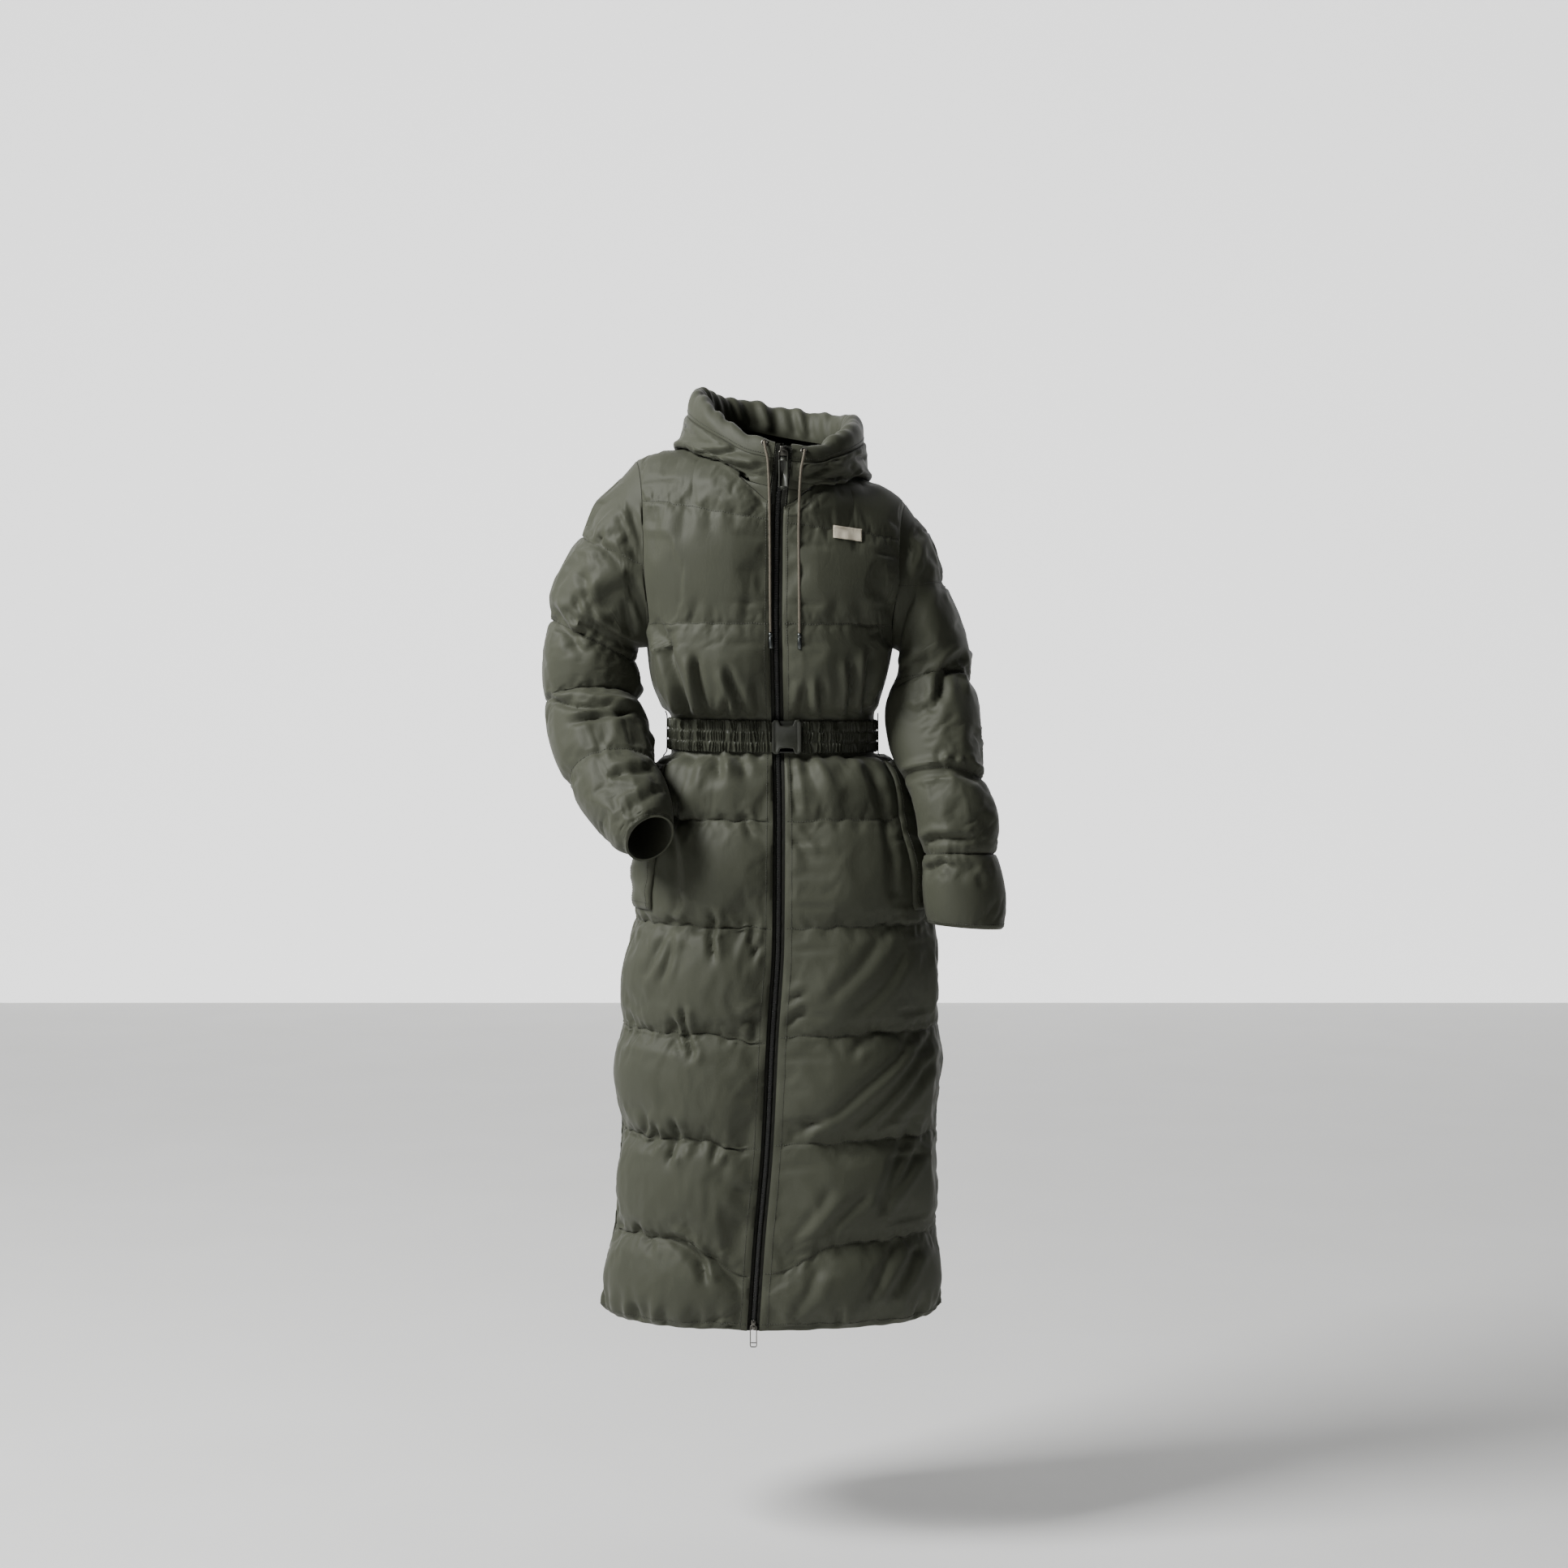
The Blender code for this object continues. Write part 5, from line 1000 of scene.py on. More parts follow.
def line_puckers(distance, along, line, depth, seed=0):
    """Small gathers that a stitched line draws up on both sides of it."""
    ripple = waves(along + 0.3 * distance, 31 * line + seed, 0.012, 0.060)
    strength = 0.55 + 0.45 * waves(along, 17 * line + seed + 5, 0.08, 0.4, 4)
    return depth * ripple * strength * np.exp(-distance / 0.014) * ease(distance, -0.003, 0.004)


def dress_body():
    """The fronts and the back, before and after their filling swells."""
    forms = {f"front_{name}": (*panel_forms(side, False), side) for name, side in SIDES.items()}
    right, left = (panel_forms(side, True) for side in (-1, 1))
    forms["back"] = (*(np.concatenate([a[:, :0:-1], b], 1) for a, b in zip(right, left)), 0)
    sheets, plain = {}, {}
    for name, (points, normals, thickness, free, v, *_) in forms.items():
        plain[name] = pushed(points, normals, thickness)
        gap = np.minimum(v % 1, 1 - v % 1)
        pins = np.exp(-((gap / 0.012) ** 2)) + (free < 0.12)
        pins[:, 0] = pins[:, -1] = pins[0] = pins[-1] = 1
        sheets[name] = (plain[name], pins, False, 0.022, 0.35)
    return forms, sheets, plain


BLOUSE = 0.0050  # how far the cloth stands out over the belt
# How much further the filling stands out in the middle of a channel. It is less at the breast.
FULLNESS = 0.0060
BREAST_LESS = 0.0020
CHANNEL = 0.135  # the usual height of a channel
PUCKER_DEPTH, HEM_PUFF = 0.0034, 0.0045


def map_inset(map_):
    """Distances along the cloth from a panel's nearer side edge."""
    across = map_[..., 0]
    return np.minimum(across - across.min(1, keepdims=True), across.max(1, keepdims=True) - across)


def close_body(forms, plain, swollen):
    """Folds and gathers the swollen panels, and closes each as a padded wall."""
    pieces = {}
    for order, (name, (points, normals, thickness, free, v, map_, side)) in enumerate(forms.items()):
        back = name == "back"
        breast = ease(v, 5.8, 6.4)
        inset = map_inset(map_)
        most = SWELL_CAP * (1 - 0.65 * breast) * np.clip(free * 1.4, 0, 1)
        outer = capped(plain[name], swollen[name], most)
        full = np.sin(math.pi * np.clip(v % 1, 0, 1)) ** 1.3 * (FULLNESS - BREAST_LESS * breast)
        full = full * np.clip(inset / 0.05, 0, 1) * np.clip(free * 1.2, 0, 1) * ease(-v, -8.3, -7.9)
        outer = pushed(outer, normals, full)
        # the cloth blouses a little over the belt, so that folds drawn in by it have depth
        z = outer[..., 2]
        blouse = BLOUSE * ease(z, -0.328, -0.314) * ease(-z, 0.19, 0.27)
        outer = pushed(outer, normals, blouse * np.clip(inset / 0.02, 0, 1))
        outer = fold_in(outer, normals, BACK_FOLDS if back else FRONT_FOLDS, 1 if back else -1)
        distance = np.abs(v - np.round(v)) * CHANNEL
        along = map_[..., 0]
        for k in range(1, 9):
            near = (np.round(v) == k) & (distance < 0.05)
            share = 0.35 if k > 5 else 0.45 if side > 0 else 1.0
            ripple = share * line_puckers(distance, along, k, PUCKER_DEPTH, order)
            outer = pushed(outer, normals, ripple * near * np.clip(free * 3, 0, 1))
        hem = waves(along, 90 + order, 0.018, 0.075) * ease(v, 0.0, 0.10) * ease(-v, -0.42, -0.12)
        outer = kept_above(pushed(outer, normals, HEM_PUFF * hem), points, normals)
        # its edges are sewn flat
        loose = ease(inset, 0.0, 0.010) * ease(v, 0.0, 0.05) * ease(TOP_V - v, 0.0, 0.05)
        outer = pushed(plain[name], outer - plain[name], loose)
        pieces[name] = (add_wall(name + "_dressed", points, outer, map_), outer, normals)
    return pieces


# ------------------------------------------------------------------ sleeves
def sleeve_forms(side):
    """A sleeve's plain inner points, normals, thickness, freedom to swell, and distances along the cut."""
    table = SLEEVES[side]
    turns = np.linspace(0, 2 * math.pi, SLEEVE_AROUND, endpoint=False)
    turn, row = np.meshgrid(turns, np.linspace(0, len(table) - 1, SLEEVE_ALONG))

    def place(turn_at, row_at):
        return sleeve_surface(turn_at, row_at, side)

    points = place(turn, row)
    normals = surface_normals(place, turn, row, side)
    beside = np.clip(1 - row / 0.35, 0, 1)[..., None]
    normals = unit(normals + (armhole_out(turns, side) - normals) * beside)
    cut_at = sleeve_cut(turn, row, side)
    lines = np.array(SLEEVE_QUILT_CUT)
    i = np.clip(np.searchsorted(lines, cut_at, side="right") - 1, 0, len(lines) - 2)
    share = np.clip((cut_at - lines[i]) / (lines[i + 1] - lines[i]), 0, 1)
    pressed = read_row(table, "pressed", row) * ease(-np.cos(turn), -0.2, 0.5)
    free = 0.9 * loft(share) * ease(row, 0, 1.2) * (1 - pressed)
    around = np.arange(SLEEVE_AROUND + 1) / SLEEVE_AROUND * 0.36
    map_ = stacked(around + MAPS["sleeve"] + side, np.concatenate([cut_at, cut_at[:, :1]], 1))
    distance = np.abs(cut_at[..., None] - lines[1:]).min(-1)
    return points, normals, WALL + LOFT * free, free, (1 - pressed) * ease(row, 0.1, 1.0), distance, map_


def dress_sleeves():
    """The sleeves, before and after their filling swells."""
    forms, sheets, plain = {}, {}, {}
    for side_name, side in SIDES.items():
        name = f"sleeve_{side_name}"
        forms[name] = sleeve_forms(side)
        points, normals, thickness, free, loose, distance, map_ = forms[name]
        plain[name] = pushed(points, normals, thickness)
        pins = np.exp(-((distance / 0.0028) ** 2)) + (loose < 0.25)
        pins[0] = pins[-1] = 1
        sheets[name] = (plain[name], pins, True, 0.035, 0.35)
    return forms, sheets, plain


SLEEVE_FOLDS = {-1: SLEEVE_RIGHT_FOLDS, 1: SLEEVE_LEFT_FOLDS}
SLEEVE_DROP = 22  # in millimetres: how much lower a sleeve's back has the other sleeve's creases
SLEEVE_FULLNESS, SLEEVE_PUCKER = 0.0028, 0.0018
BEND_AT, BEND_REACH = (0.171, -0.169), 0.022  # a tight bend at the front of the left sleeve


def evened(points, share, times=40):
    """Evens a closed grid of points, each as far as its share says."""
    for _ in range(times):
        around = np.roll(points, 1, 1) + np.roll(points, -1, 1)
        along = np.concatenate([points[:1], points[:-1]]) + np.concatenate([points[1:], points[-1:]])
        points = points + (0.25 * (around + along) - points) * share[..., None]
    return points


def close_sleeves(forms, plain, swollen):
    """Folds the swollen sleeves and closes each as a padded wall."""
    pieces = {}
    for order, (name, (points, normals, thickness, free, loose, distance, map_)) in enumerate(forms.items()):
        side = SIDES[name.removeprefix("sleeve_")]
        outer = capped(plain[name], swollen[name], SWELL_CAP * loose * np.clip(free * 2, 0.15, 1))
        outer = pushed(outer, normals, SLEEVE_FULLNESS * loose * free**2)
        outer = fold_in(outer, normals, SLEEVE_FOLDS[side], -1)
        outer = fold_in(outer, normals, mirrored(SLEEVE_FOLDS[-side], SLEEVE_DROP), 1)
        ripple = line_puckers(distance, map_[:, :-1, 0], 3, SLEEVE_PUCKER, 40 + order)
        outer = kept_above(pushed(outer, normals, ripple * loose), points, normals)
        outer[(0, -1), :] = plain[name][(0, -1), :]
        x, y, z = np.moveaxis(outer, -1, 0)
        bend = np.exp(-((x - BEND_AT[0]) ** 2 + (z - BEND_AT[1]) ** 2) / BEND_REACH**2) * (y < 0.02)
        bend[(0, -1), :] = 0
        outer, points = evened(outer, bend), evened(points, bend)
        wall = add_wall(name + "_dressed", points, outer, map_, closed=True)
        pieces[name] = (wall, outer, normals, map_[:, :-1, 1])
    return pieces


# ------------------------------------------------------------------ hood
HOOD_FRONT_ANGLE = math.degrees(math.asin(ZIP_HALF / HOOD[0][1]))
INSERT_ANGLE = 18.5
HOOD_SEAM_ANGLE = 0.3  # the seam gap beside the centre panel, in degrees
HOOD_CENTRE_LIFT = 0.0045  # how much higher the centre panel lies than the sides
HOOD_COLUMNS_EACH, HOOD_ROWS = 76, 80
HOOD_FLAT = (0.0019, 0.18)  # the hood laid flat: across for each degree round the neck, and up in all
# More folds round the hood, on its cloth laid flat: across by the angle round the neck, and up from the neck
# seam to the rim's seam.
HOOD_ROUND_FOLDS = (
    (4, 7.5, (-152, 153), (-185, 140), (-213, 126)),
    (4, 7.5, (114, 155), (150, 142), (190, 130)),
    (4, 7, (266, 144), (278, 125), (285, 108)),
    (4, 7, (334, 151), (342, 128), (346, 104)),
    (4, 7, (407, 148), (398, 128), (391, 108)),
)


def hood_forms(angles, tree):
    """Part of the hood: plain inner points, normals, thickness and freedom to swell."""
    angle, t = np.meshgrid(angles, np.linspace(0, 1, HOOD_ROWS))

    def place(turn, t_at):
        return hood_surface(np.degrees(turn), t_at)

    points = hood_surface(angle, t)
    normals = surface_normals(place, np.radians(angle), t, 1)
    for i in np.ndindex(angle.shape):
        if abs(angle[i]) > INSERT_ANGLE + 1:
            lift = HOOD_CENTRE_LIFT * (abs(angle[i]) > HOOD_PANEL_ANGLE)
            points[i] = clear_of(points[i], tree, HOOD_CLEAR + lift)
    points = smoothed(points, 3)
    at_neck = ease(-t, -0.12, 0.0) * (np.abs(angle) < INSERT_ANGLE + 3)
    for share in (ease(t, 0.90, 1.0), at_neck):
        normals = unit(pushed(normals, neck_out(points) - normals, share))
    span = math.radians(np.ptp(angles)) * 0.11
    share = np.abs(angle - angles[0]) / np.ptp(angles)
    full = edge_taper((1 - t) * 0.16, 0.03) * edge_taper(np.minimum(share, 1 - share) * span, 0.03)
    free = full * ease(t, 0.42, 0.62)
    map_ = stacked(np.radians(angle) * 0.12 + MAPS["hood"], t * 0.2)
    return points, normals, HOOD_WALL + HOOD_LOFT * free, free, angle, t, map_


def smoothed(points, times):
    """Evens a grid of points, but for its edges."""
    for _ in range(times):
        middle = points[1:-1, 1:-1]
        near = points[:-2, 1:-1] + points[2:, 1:-1] + points[1:-1, :-2] + points[1:-1, 2:]
        points = points.copy()
        points[1:-1, 1:-1] = 0.5 * middle + 0.125 * near
    return points


def cloth_tree(meshes):
    """The faces of several meshes, to be looked up together."""
    vertices, faces = [], []
    for mesh in meshes:
        start = len(vertices)
        vertices += [tuple(vertex.co) for vertex in mesh.vertices]
        faces += [[start + i for i in face.vertices] for face in mesh.polygons]
    return BVHTree.FromPolygons(vertices, faces)


def clear_of(point, tree, clearance):
    """A point moved up, then away, until it is clearance from the cloth under it."""
    met = tree.ray_cast(point + [0, 0, 0.2], (0, 0, -1))[0]
    if met and point[2] < met[2] + 0.5 * clearance:
        point = np.array([point[0], point[1], met[2] + 0.5 * clearance])
    for _ in range(4):
        nearest, _, _, distance = tree.find_nearest(point)
        away = point - np.array(nearest)
        point = point + unit(away) * max(0.0, clearance - distance)
    return point


def dress_hood():
    """The hood's three panels, before and after their filling swells."""
    tree = cloth_tree([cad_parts[name].data for name in ("front_right", "front_left", "back")])
    first = HOOD_PANEL_ANGLE + HOOD_SEAM_ANGLE
    side_angles = np.linspace(HOOD_FRONT_ANGLE, HOOD_PANEL_ANGLE, HOOD_COLUMNS_EACH)
    spans = {f"hood_side_{name}": side * side_angles for name, side in SIDES.items()}
    spans["hood_centre"] = np.linspace(first, 360 - first, HOOD_COLUMNS_EACH)
    forms, sheets, plain = {}, {}, {}
    for name, angles in spans.items():
        forms[name] = hood_forms(angles, tree)
        points, normals, thickness, free, *_ = forms[name]
        plain[name] = pushed(points, normals, thickness)
        pins = (free < 0.1) * 1.0
        pins[:, 0] = pins[:, -1] = pins[0] = pins[-1] = 1
        sheets[name] = (plain[name], pins, False, 0.008, 0.2)
    return forms, sheets, plain


def close_hood(forms, plain, swollen):
    """Folds the swollen panels of the hood and closes each as a padded wall."""
    pieces = {}
    for order, (name, (points, normals, thickness, free, angle, t, map_)) in enumerate(forms.items()):
        outer = capped(plain[name], swollen[name], 0.0025 * np.clip(free * 1.5, 0, 1))
        outer = fold_in(outer, normals, HOOD_FOLDS, -1)
        outer = pushed(outer, normals, -crease(angle * HOOD_FLAT[0], t * HOOD_FLAT[1], HOOD_ROUND_FOLDS))
        ripple = line_puckers((1 - t) * 0.17, map_[..., 0], 4, 0.0012, 60 + order)
        outer = kept_above(pushed(outer, normals, ripple * np.clip(free * 3, 0, 1)), points, normals)
        outer[:, (0, -1)] = plain[name][:, (0, -1)]
        outer[(0, -1), :] = plain[name][(0, -1), :]
        pieces[name] = (add_wall(name + "_dressed", points, outer, map_), outer, normals)
    return pieces


RIM_TURNS = (-10, 215)  # degrees over which the rim rolls, from its seam to its inner edge


def dress_rim():
    """The hood's padded edge, rolled inwards and drawn up by its cord."""
    half = np.concatenate([np.linspace(HOOD_FRONT_ANGLE, 40, 34), np.linspace(41, 180, 120)])
    angles = np.concatenate([half, 360 - half[-2::-1]])
    turns = np.radians(np.linspace(*RIM_TURNS, 40))
    seam = hood_surface(angles, 1.0)
    out, up = neck_out(seam), np.array([0.0, 0.0, 1.0])
    wide, tall = (hood_read(key, angles)[:, None] for key in ("wide", "tall"))
    first = turns[0]
    middle = seam + out * (HOOD_WALL - wide * math.cos(first)) + up * (SEAM_GAP - tall * math.sin(first))
    along = lengths_along(seam)
    walls = HOOD_WALL + (RIM_WALL - HOOD_WALL) * ease(turns, first, 1.0)
    outer, inner = [], []
    for turn, wall in zip(turns, walls):
        drawn = 0.0002 + 0.0026 * ease(turn, 0.5, 2.4)
        ripple = drawn * waves(along + 0.008 * turn, 71, 0.022, 0.07) * ease(turn, first, 0.4)
        soft = 0.0018 * waves(along + 0.02 * turn, 73, 0.06, 0.16, 4) * ease(turn, first, 0.6)
        grow = (ripple + soft)[:, None] * (1 - ease(turn, 3.2, 3.7))
        for rows, more in ((outer, grow), (inner, -wall)):
            rows.append(middle + out * (wide + more) * math.cos(turn) + up * (tall + more) * math.sin(turn))
    inner, outer = np.array(inner), np.array(outer)
    for points in (inner, outer):
        front_share = np.maximum(np.cos(np.radians(angles)), 0) ** 2
        points[..., 0] += (zip_x(points[..., 2]) - zip_x(seam[:, 2])) * front_share
    map_ = stacked(along + MAPS["rim"], turns[:, None] * 0.02)
    thread = stitches("hood_rim_stitching", [(outer[2], neck_out(outer[2]))])
    return add_wall("hood_rim_dressed", inner, outer, map_), thread


INSERT_SHARE = 1.30  # how far the wedge runs on under the hood, as a share of its open part
INSERT_LOFT = 0.0012


def dress_insert(side_name, side):
    """The small wedge between the hood's front and the top of a front, beside the zip."""
    share = np.linspace(0, INSERT_SHARE, 20)
    upper = hood_surface(side * (HOOD_FRONT_ANGLE + share * (INSERT_ANGLE - HOOD_FRONT_ANGLE)), 0.0)
    lower = stance(body_surface(share * NECK_S * 0.34, TOP_V, side, False))
    lift = np.array([0.0, 0.0, SEAM_GAP])
    rise = np.linspace(0, 1, 12)[:, None]
    points = (lower + lift) * (1 - rise)[..., None] + (upper - lift) * rise[..., None]
    full = np.sin(math.pi * rise) * np.clip((1 - share) * 3, 0, 1) * np.minimum(1, share * 12)
    outer = pushed(points, neck_out(points), WALL + INSERT_LOFT * full)
    map_ = stacked(share * 0.02 + MAPS["insert"] + side, rise * 0.03)
    return add_wall(f"neck_insert_{side_name}_dressed", points, outer, map_)


# ------------------------------------------------------------------ stitching, tubes and turned pieces
def stitches(name, rows, pitch=0.0034, long=0.0024, thick=0.00034):
    """Sewing thread along rows of (points, outward directions), as short separate stitches in one mesh."""
    vertices, faces = [], []
    corner = np.array([(x, y, z) for x in (-1, 1) for y in (-1, 1) for z in (-1, 1)], float)
    shell = np.array([(0, 1, 3, 2), (4, 6, 7, 5), (0, 4, 5, 1), (2, 3, 7, 6), (0, 2, 6, 4), (1, 5, 7, 3)])
    for path, out in rows:
        gone = lengths_along(path)
        at = np.arange(pitch, gone[-1] - pitch / 2, pitch)
        middle, ahead, up = (
            stacked(*[np.interp(place, gone, values[:, k]) for k in range(3)])
            for place, values in ((at, path), (at + 0.0004, path), (at, out))
        )
        run, up = unit(ahead - middle), unit(up)
        spot = middle[:, None] + corner[None, :, :1] * run[:, None] * long / 2
        spot = spot + corner[None, :, 1:2] * np.cross(up, run)[:, None] * thick
        spot = spot + (corner[None, :, 2:] + 0.4) * up[:, None] * thick
        faces.append((shell + 8 * (np.arange(len(at)) + len(vertices) // 8)[:, None, None]).reshape(-1, 4))
        vertices += spot.reshape(-1, 3).tolist()
    return recalculated(add_mesh(name, vertices, np.concatenate(faces).tolist()))


def pick(*pieces):
    """Selects only these pieces, with the first one active."""
    bpy.ops.object.select_all(action="DESELECT")
    for piece in pieces:
        piece.select_set(True)
    bpy.context.view_layer.objects.active = pieces[0]
    return pieces[0]


def named(name, piece):
    piece.name = piece.data.name = name
    return piece


def recalculated(piece):
    """The same piece with every face pointing out."""
    pick(piece)
    bpy.ops.object.mode_set(mode="EDIT")
    bpy.ops.mesh.select_all(action="SELECT")
    bpy.ops.mesh.normals_make_consistent(inside=False)
    bpy.ops.object.mode_set(mode="OBJECT")
    return piece


def tube(name, rings):
    """Rings of points joined into a tube, with a flat face over each end."""
    count, around = rings.shape[:2]
    faces = grid_faces(count, around, True).tolist()
    faces += [list(range(around))[::-1], list(range((count - 1) * around, count * around))]
    return add_mesh(name, rings.reshape(-1, 3).tolist(), faces)


def braided(name, path, radius, strands=4, lay=0.011, relief=0.09, step=0.0009, around=16):
    """A round cord of plaited yarns along a smooth path, closed at both ends."""
    gone = lengths_along(path)
    at = np.linspace(0, gone[-1], max(12, int(gone[-1] / step)))
    middle = stacked(*[smooth(gone, path[:, k], at) for k in range(3)])
    run = unit(np.gradient(middle, axis=0))
    side = unit(np.cross(run, [0, 1.0, 0.02]))
    up = np.cross(side, run)
    turn = np.linspace(0, 2 * math.pi, around, endpoint=False)
    twist = 2 * math.pi * at[:, None] / lay
    plait = np.abs(np.sin(strands / 2 * turn + twist) * np.sin(strands / 2 * turn - twist))
    reach = radius * (1 - relief + relief * plait)
    reach[(0, -1), :] *= 0.6
    outwards = np.cos(turn)[None, :, None] * side[:, None] + np.sin(turn)[None, :, None] * up[:, None]
    return recalculated(tube(name, pushed(middle[:, None], outwards, reach))), middle


def turned(name, profile, start, axis, segments=32):
    """A lathe-turned piece: radii and distances along an axis from start, its ends on the axis."""
    spin = np.linspace(0, 2 * math.pi, segments, endpoint=False)
    turn = Vector(axis).to_track_quat("Z", "Y")
    rings = []
    for radius, far in profile:
        flat = [Vector((-radius * math.sin(angle), radius * math.cos(angle), far)) for angle in spin]
        rings.append([turn @ point + Vector(start) for point in flat])
    return recalculated(shaded(tube(name, np.array(rings))))


def modify(piece, kind, **settings):
    """Adds a modifier and applies it."""
    modifier = pick(piece).modifiers.new(kind.lower(), kind)
    for key, value in settings.items():
        setattr(modifier, key, value)
    bpy.ops.object.modifier_apply(modifier=modifier.name)
    return piece


def block(name, low, high, edge, segments=3):
    """A block between two corners, with rounded edges."""
    low, high = Vector(low), Vector(high)
    bpy.ops.mesh.primitive_cube_add(size=1, location=(low + high) / 2)
    piece = named(name, bpy.context.object)
    piece.scale = high - low
    bpy.ops.object.transform_apply(location=True, rotation=True, scale=True)
    modify(piece, "BEVEL", width=edge, segments=segments, limit_method="ANGLE", angle_limit=0.6)
    return shaded(piece)


def press(piece, rule, inset, depth):
    """Insets the faces that rule picks by middle and normal, and moves them in by depth."""
    pick(piece)
    bpy.ops.object.mode_set(mode="EDIT")
    bpy.ops.mesh.select_mode(type="FACE")
    bpy.ops.mesh.select_all(action="DESELECT")
    bpy.ops.object.mode_set(mode="OBJECT")
    for face in piece.data.polygons:
        face.select = bool(rule(face.center, face.normal))
    bpy.ops.object.mode_set(mode="EDIT")
    bpy.ops.mesh.inset(thickness=inset, depth=0)
    bpy.ops.mesh.inset(thickness=inset * 0.25, depth=-depth)
    bpy.ops.object.mode_set(mode="OBJECT")
    return piece


def joined(name, pieces):
    """Several meshes as one piece."""
    pick(*pieces)
    bpy.ops.object.join()
    return named(name, pieces[0])


def wire_loop(name, corners, radius):
    """Round wire bent along corners into a closed loop, as a mesh."""
    curve = bpy.data.curves.new(name, "CURVE")
    curve.dimensions = "3D"
    curve.bevel_depth = radius
    curve.bevel_resolution = 3
    spline = curve.splines.new("POLY")
    spline.points.add(len(corners) - 1)
    for knot, corner in zip(spline.points, corners):
        knot.co = (*corner, 1.0)
    spline.use_cyclic_u = True
    pick(link(name, curve))
    bpy.ops.object.convert(target="MESH")
    piece = modify(named(name, bpy.context.object), "WELD", merge_threshold=0.00001)
    piece.data.shade_smooth()
    return recalculated(piece)


def rounded_loop(middle, wide, tall, corner, steps=6):
    """Points round an upright rectangle with round corners, seen from the front."""
    points = []
    for k, (a, b) in enumerate(((1, -1), (1, 1), (-1, 1), (-1, -1))):
        for turn in np.linspace(0, math.pi / 2, steps):
            spin = turn + (k - 1) * math.pi / 2
            x = a * (wide / 2 - corner) + corner * math.cos(spin)
            down = b * (tall / 2 - corner) + corner * math.sin(spin)
            points.append(np.array(middle) + [x, 0, -down])
    return points


# ------------------------------------------------------------------ the zip
TOOTH_PITCH, TOOTH_HALF, TOOTH_LEAN = 0.0023, 0.00075, 0.35
TOOTH_FRONT, TOOTH_BACK = 0.0030, 0.0008  # how far in front of the zip's plain line a tooth lies
TAPE_DEPTH = 0.0008  # the same for the tape's back
TAPE_DROP = 0.0010  # how much further back than its own thickness it runs on behind the teeth
TAPE_STITCH = (0.0030, 0.0021, 0.0003)  # pitch, length and thickness
CORE_HALF, CORE_FRONT, CORE_BACK = 0.0009, 0.0012, 0.0026  # the strip that holds the teeth
WING_THICK, CROWN_SINK, CROWN_BACK = 0.0030, 0.0006, 0.0020  # a slider's parts, from its back and its front
BAIL_WIRE, BAIL_HEIGHT, BAIL_DROP = 0.0008, 0.0155, 0.0085  # radius, height, and middle below its top
GRIP_FRONT, GRIP_BACK, GRIP_DROP, GRIP_RIB = 0.0014, 0.0010, 0.0125, 0.003
RING_WIRE, RING_BAR = 0.0007, (0.0058, 0.0070)  # the lower pull's wire, and the levels of its bar


def dress_tape(side_name, side):
    """Woven tape beside the coil, drawn up a little by its own stitching."""
    edge = body_surface(0.0, np.linspace(0, TOP_V, 240), side, False)
    heights = np.linspace(-0.045, 0.030, 24)
    top = stacked(zip_x(heights) + side * ZIP_HALF, -np.interp(heights, *zip(*ZIP_TOP)), heights)
    edge = stance(np.concatenate([edge[edge[:, 2] < -0.0505], top]))
    near, far = (edge + [-side * inwards, -TAPE_DEPTH, 0] for inwards in (SEAM_GAP, ZIP_HALF - 0.0003))
    share = np.linspace(0, 1, 14)
    points = near[:, None] * (1 - share[:, None]) + far[:, None] * share[:, None]
    # its inner part runs back behind the teeth that are sewn to it
    points[..., 1] += (TAPE_WALL + TAPE_DROP) * ease(share, 0.62, 0.76)
    drawn = 0.0005 * waves(points[..., 2], 91 + side, 0.008, 0.03) * np.sin(math.pi * share)
    outer = points + stacked(0.0, -TAPE_WALL - drawn, 0.0)
    map_ = stacked(share * 0.0085 + MAPS["tape"] + side, points[..., 2])
    tape = add_wall(f"zip_tape_{side_name}_dressed", points, outer, map_)
    rows = [(outer[:, 1], np.broadcast_to([0, -1.0, 0], outer[:, 1].shape))]
    return tape, stitches(f"zip_tape_{side_name}_stitching", rows, *TAPE_STITCH)


def dress_coil():
    """The closed chain: nylon teeth hooked together down the middle, from slider to slider."""
    foot, head = SLIDERS["bottom"], SLIDERS["top"]
    z = np.arange(foot[0] + foot[2] / 2 + 0.001, head[0] - head[2] / 2 - 0.001, TOOTH_PITCH)
    tooth = block(
        "tooth", (-COIL_HALF, -TOOTH_FRONT, -TOOTH_HALF), (COIL_HALF, -TOOTH_BACK, TOOTH_HALF), 0.0005, 2
    )
    base = np.array([vertex.co for vertex in tooth.data.vertices])
    shell = [np.array(face.vertices) for face in tooth.data.polygons]
    bpy.data.objects.remove(tooth)
    middle = zip_place(z)
    vertices, faces = [], []
    for k, place in enumerate(middle):
        lean = np.array([TOOTH_LEAN * (-1) ** k, 0.0, 0.0])
        vertices += (base + place + base[:, 2:] * lean).tolist()
        faces += [(face + k * len(base)).tolist() for face in shell]
    coil = add_mesh("zip_coil_dressed", vertices, faces)
    spine = np.stack([middle + [x, -CORE_FRONT, 0] for x in (-CORE_HALF, CORE_HALF)], 1)
    core = add_wall("zip_core", spine, spine - [0, CORE_BACK - CORE_FRONT, 0], np.zeros((len(z), 2, 2)))
    return joined("zip_coil_dressed", [coil, core])


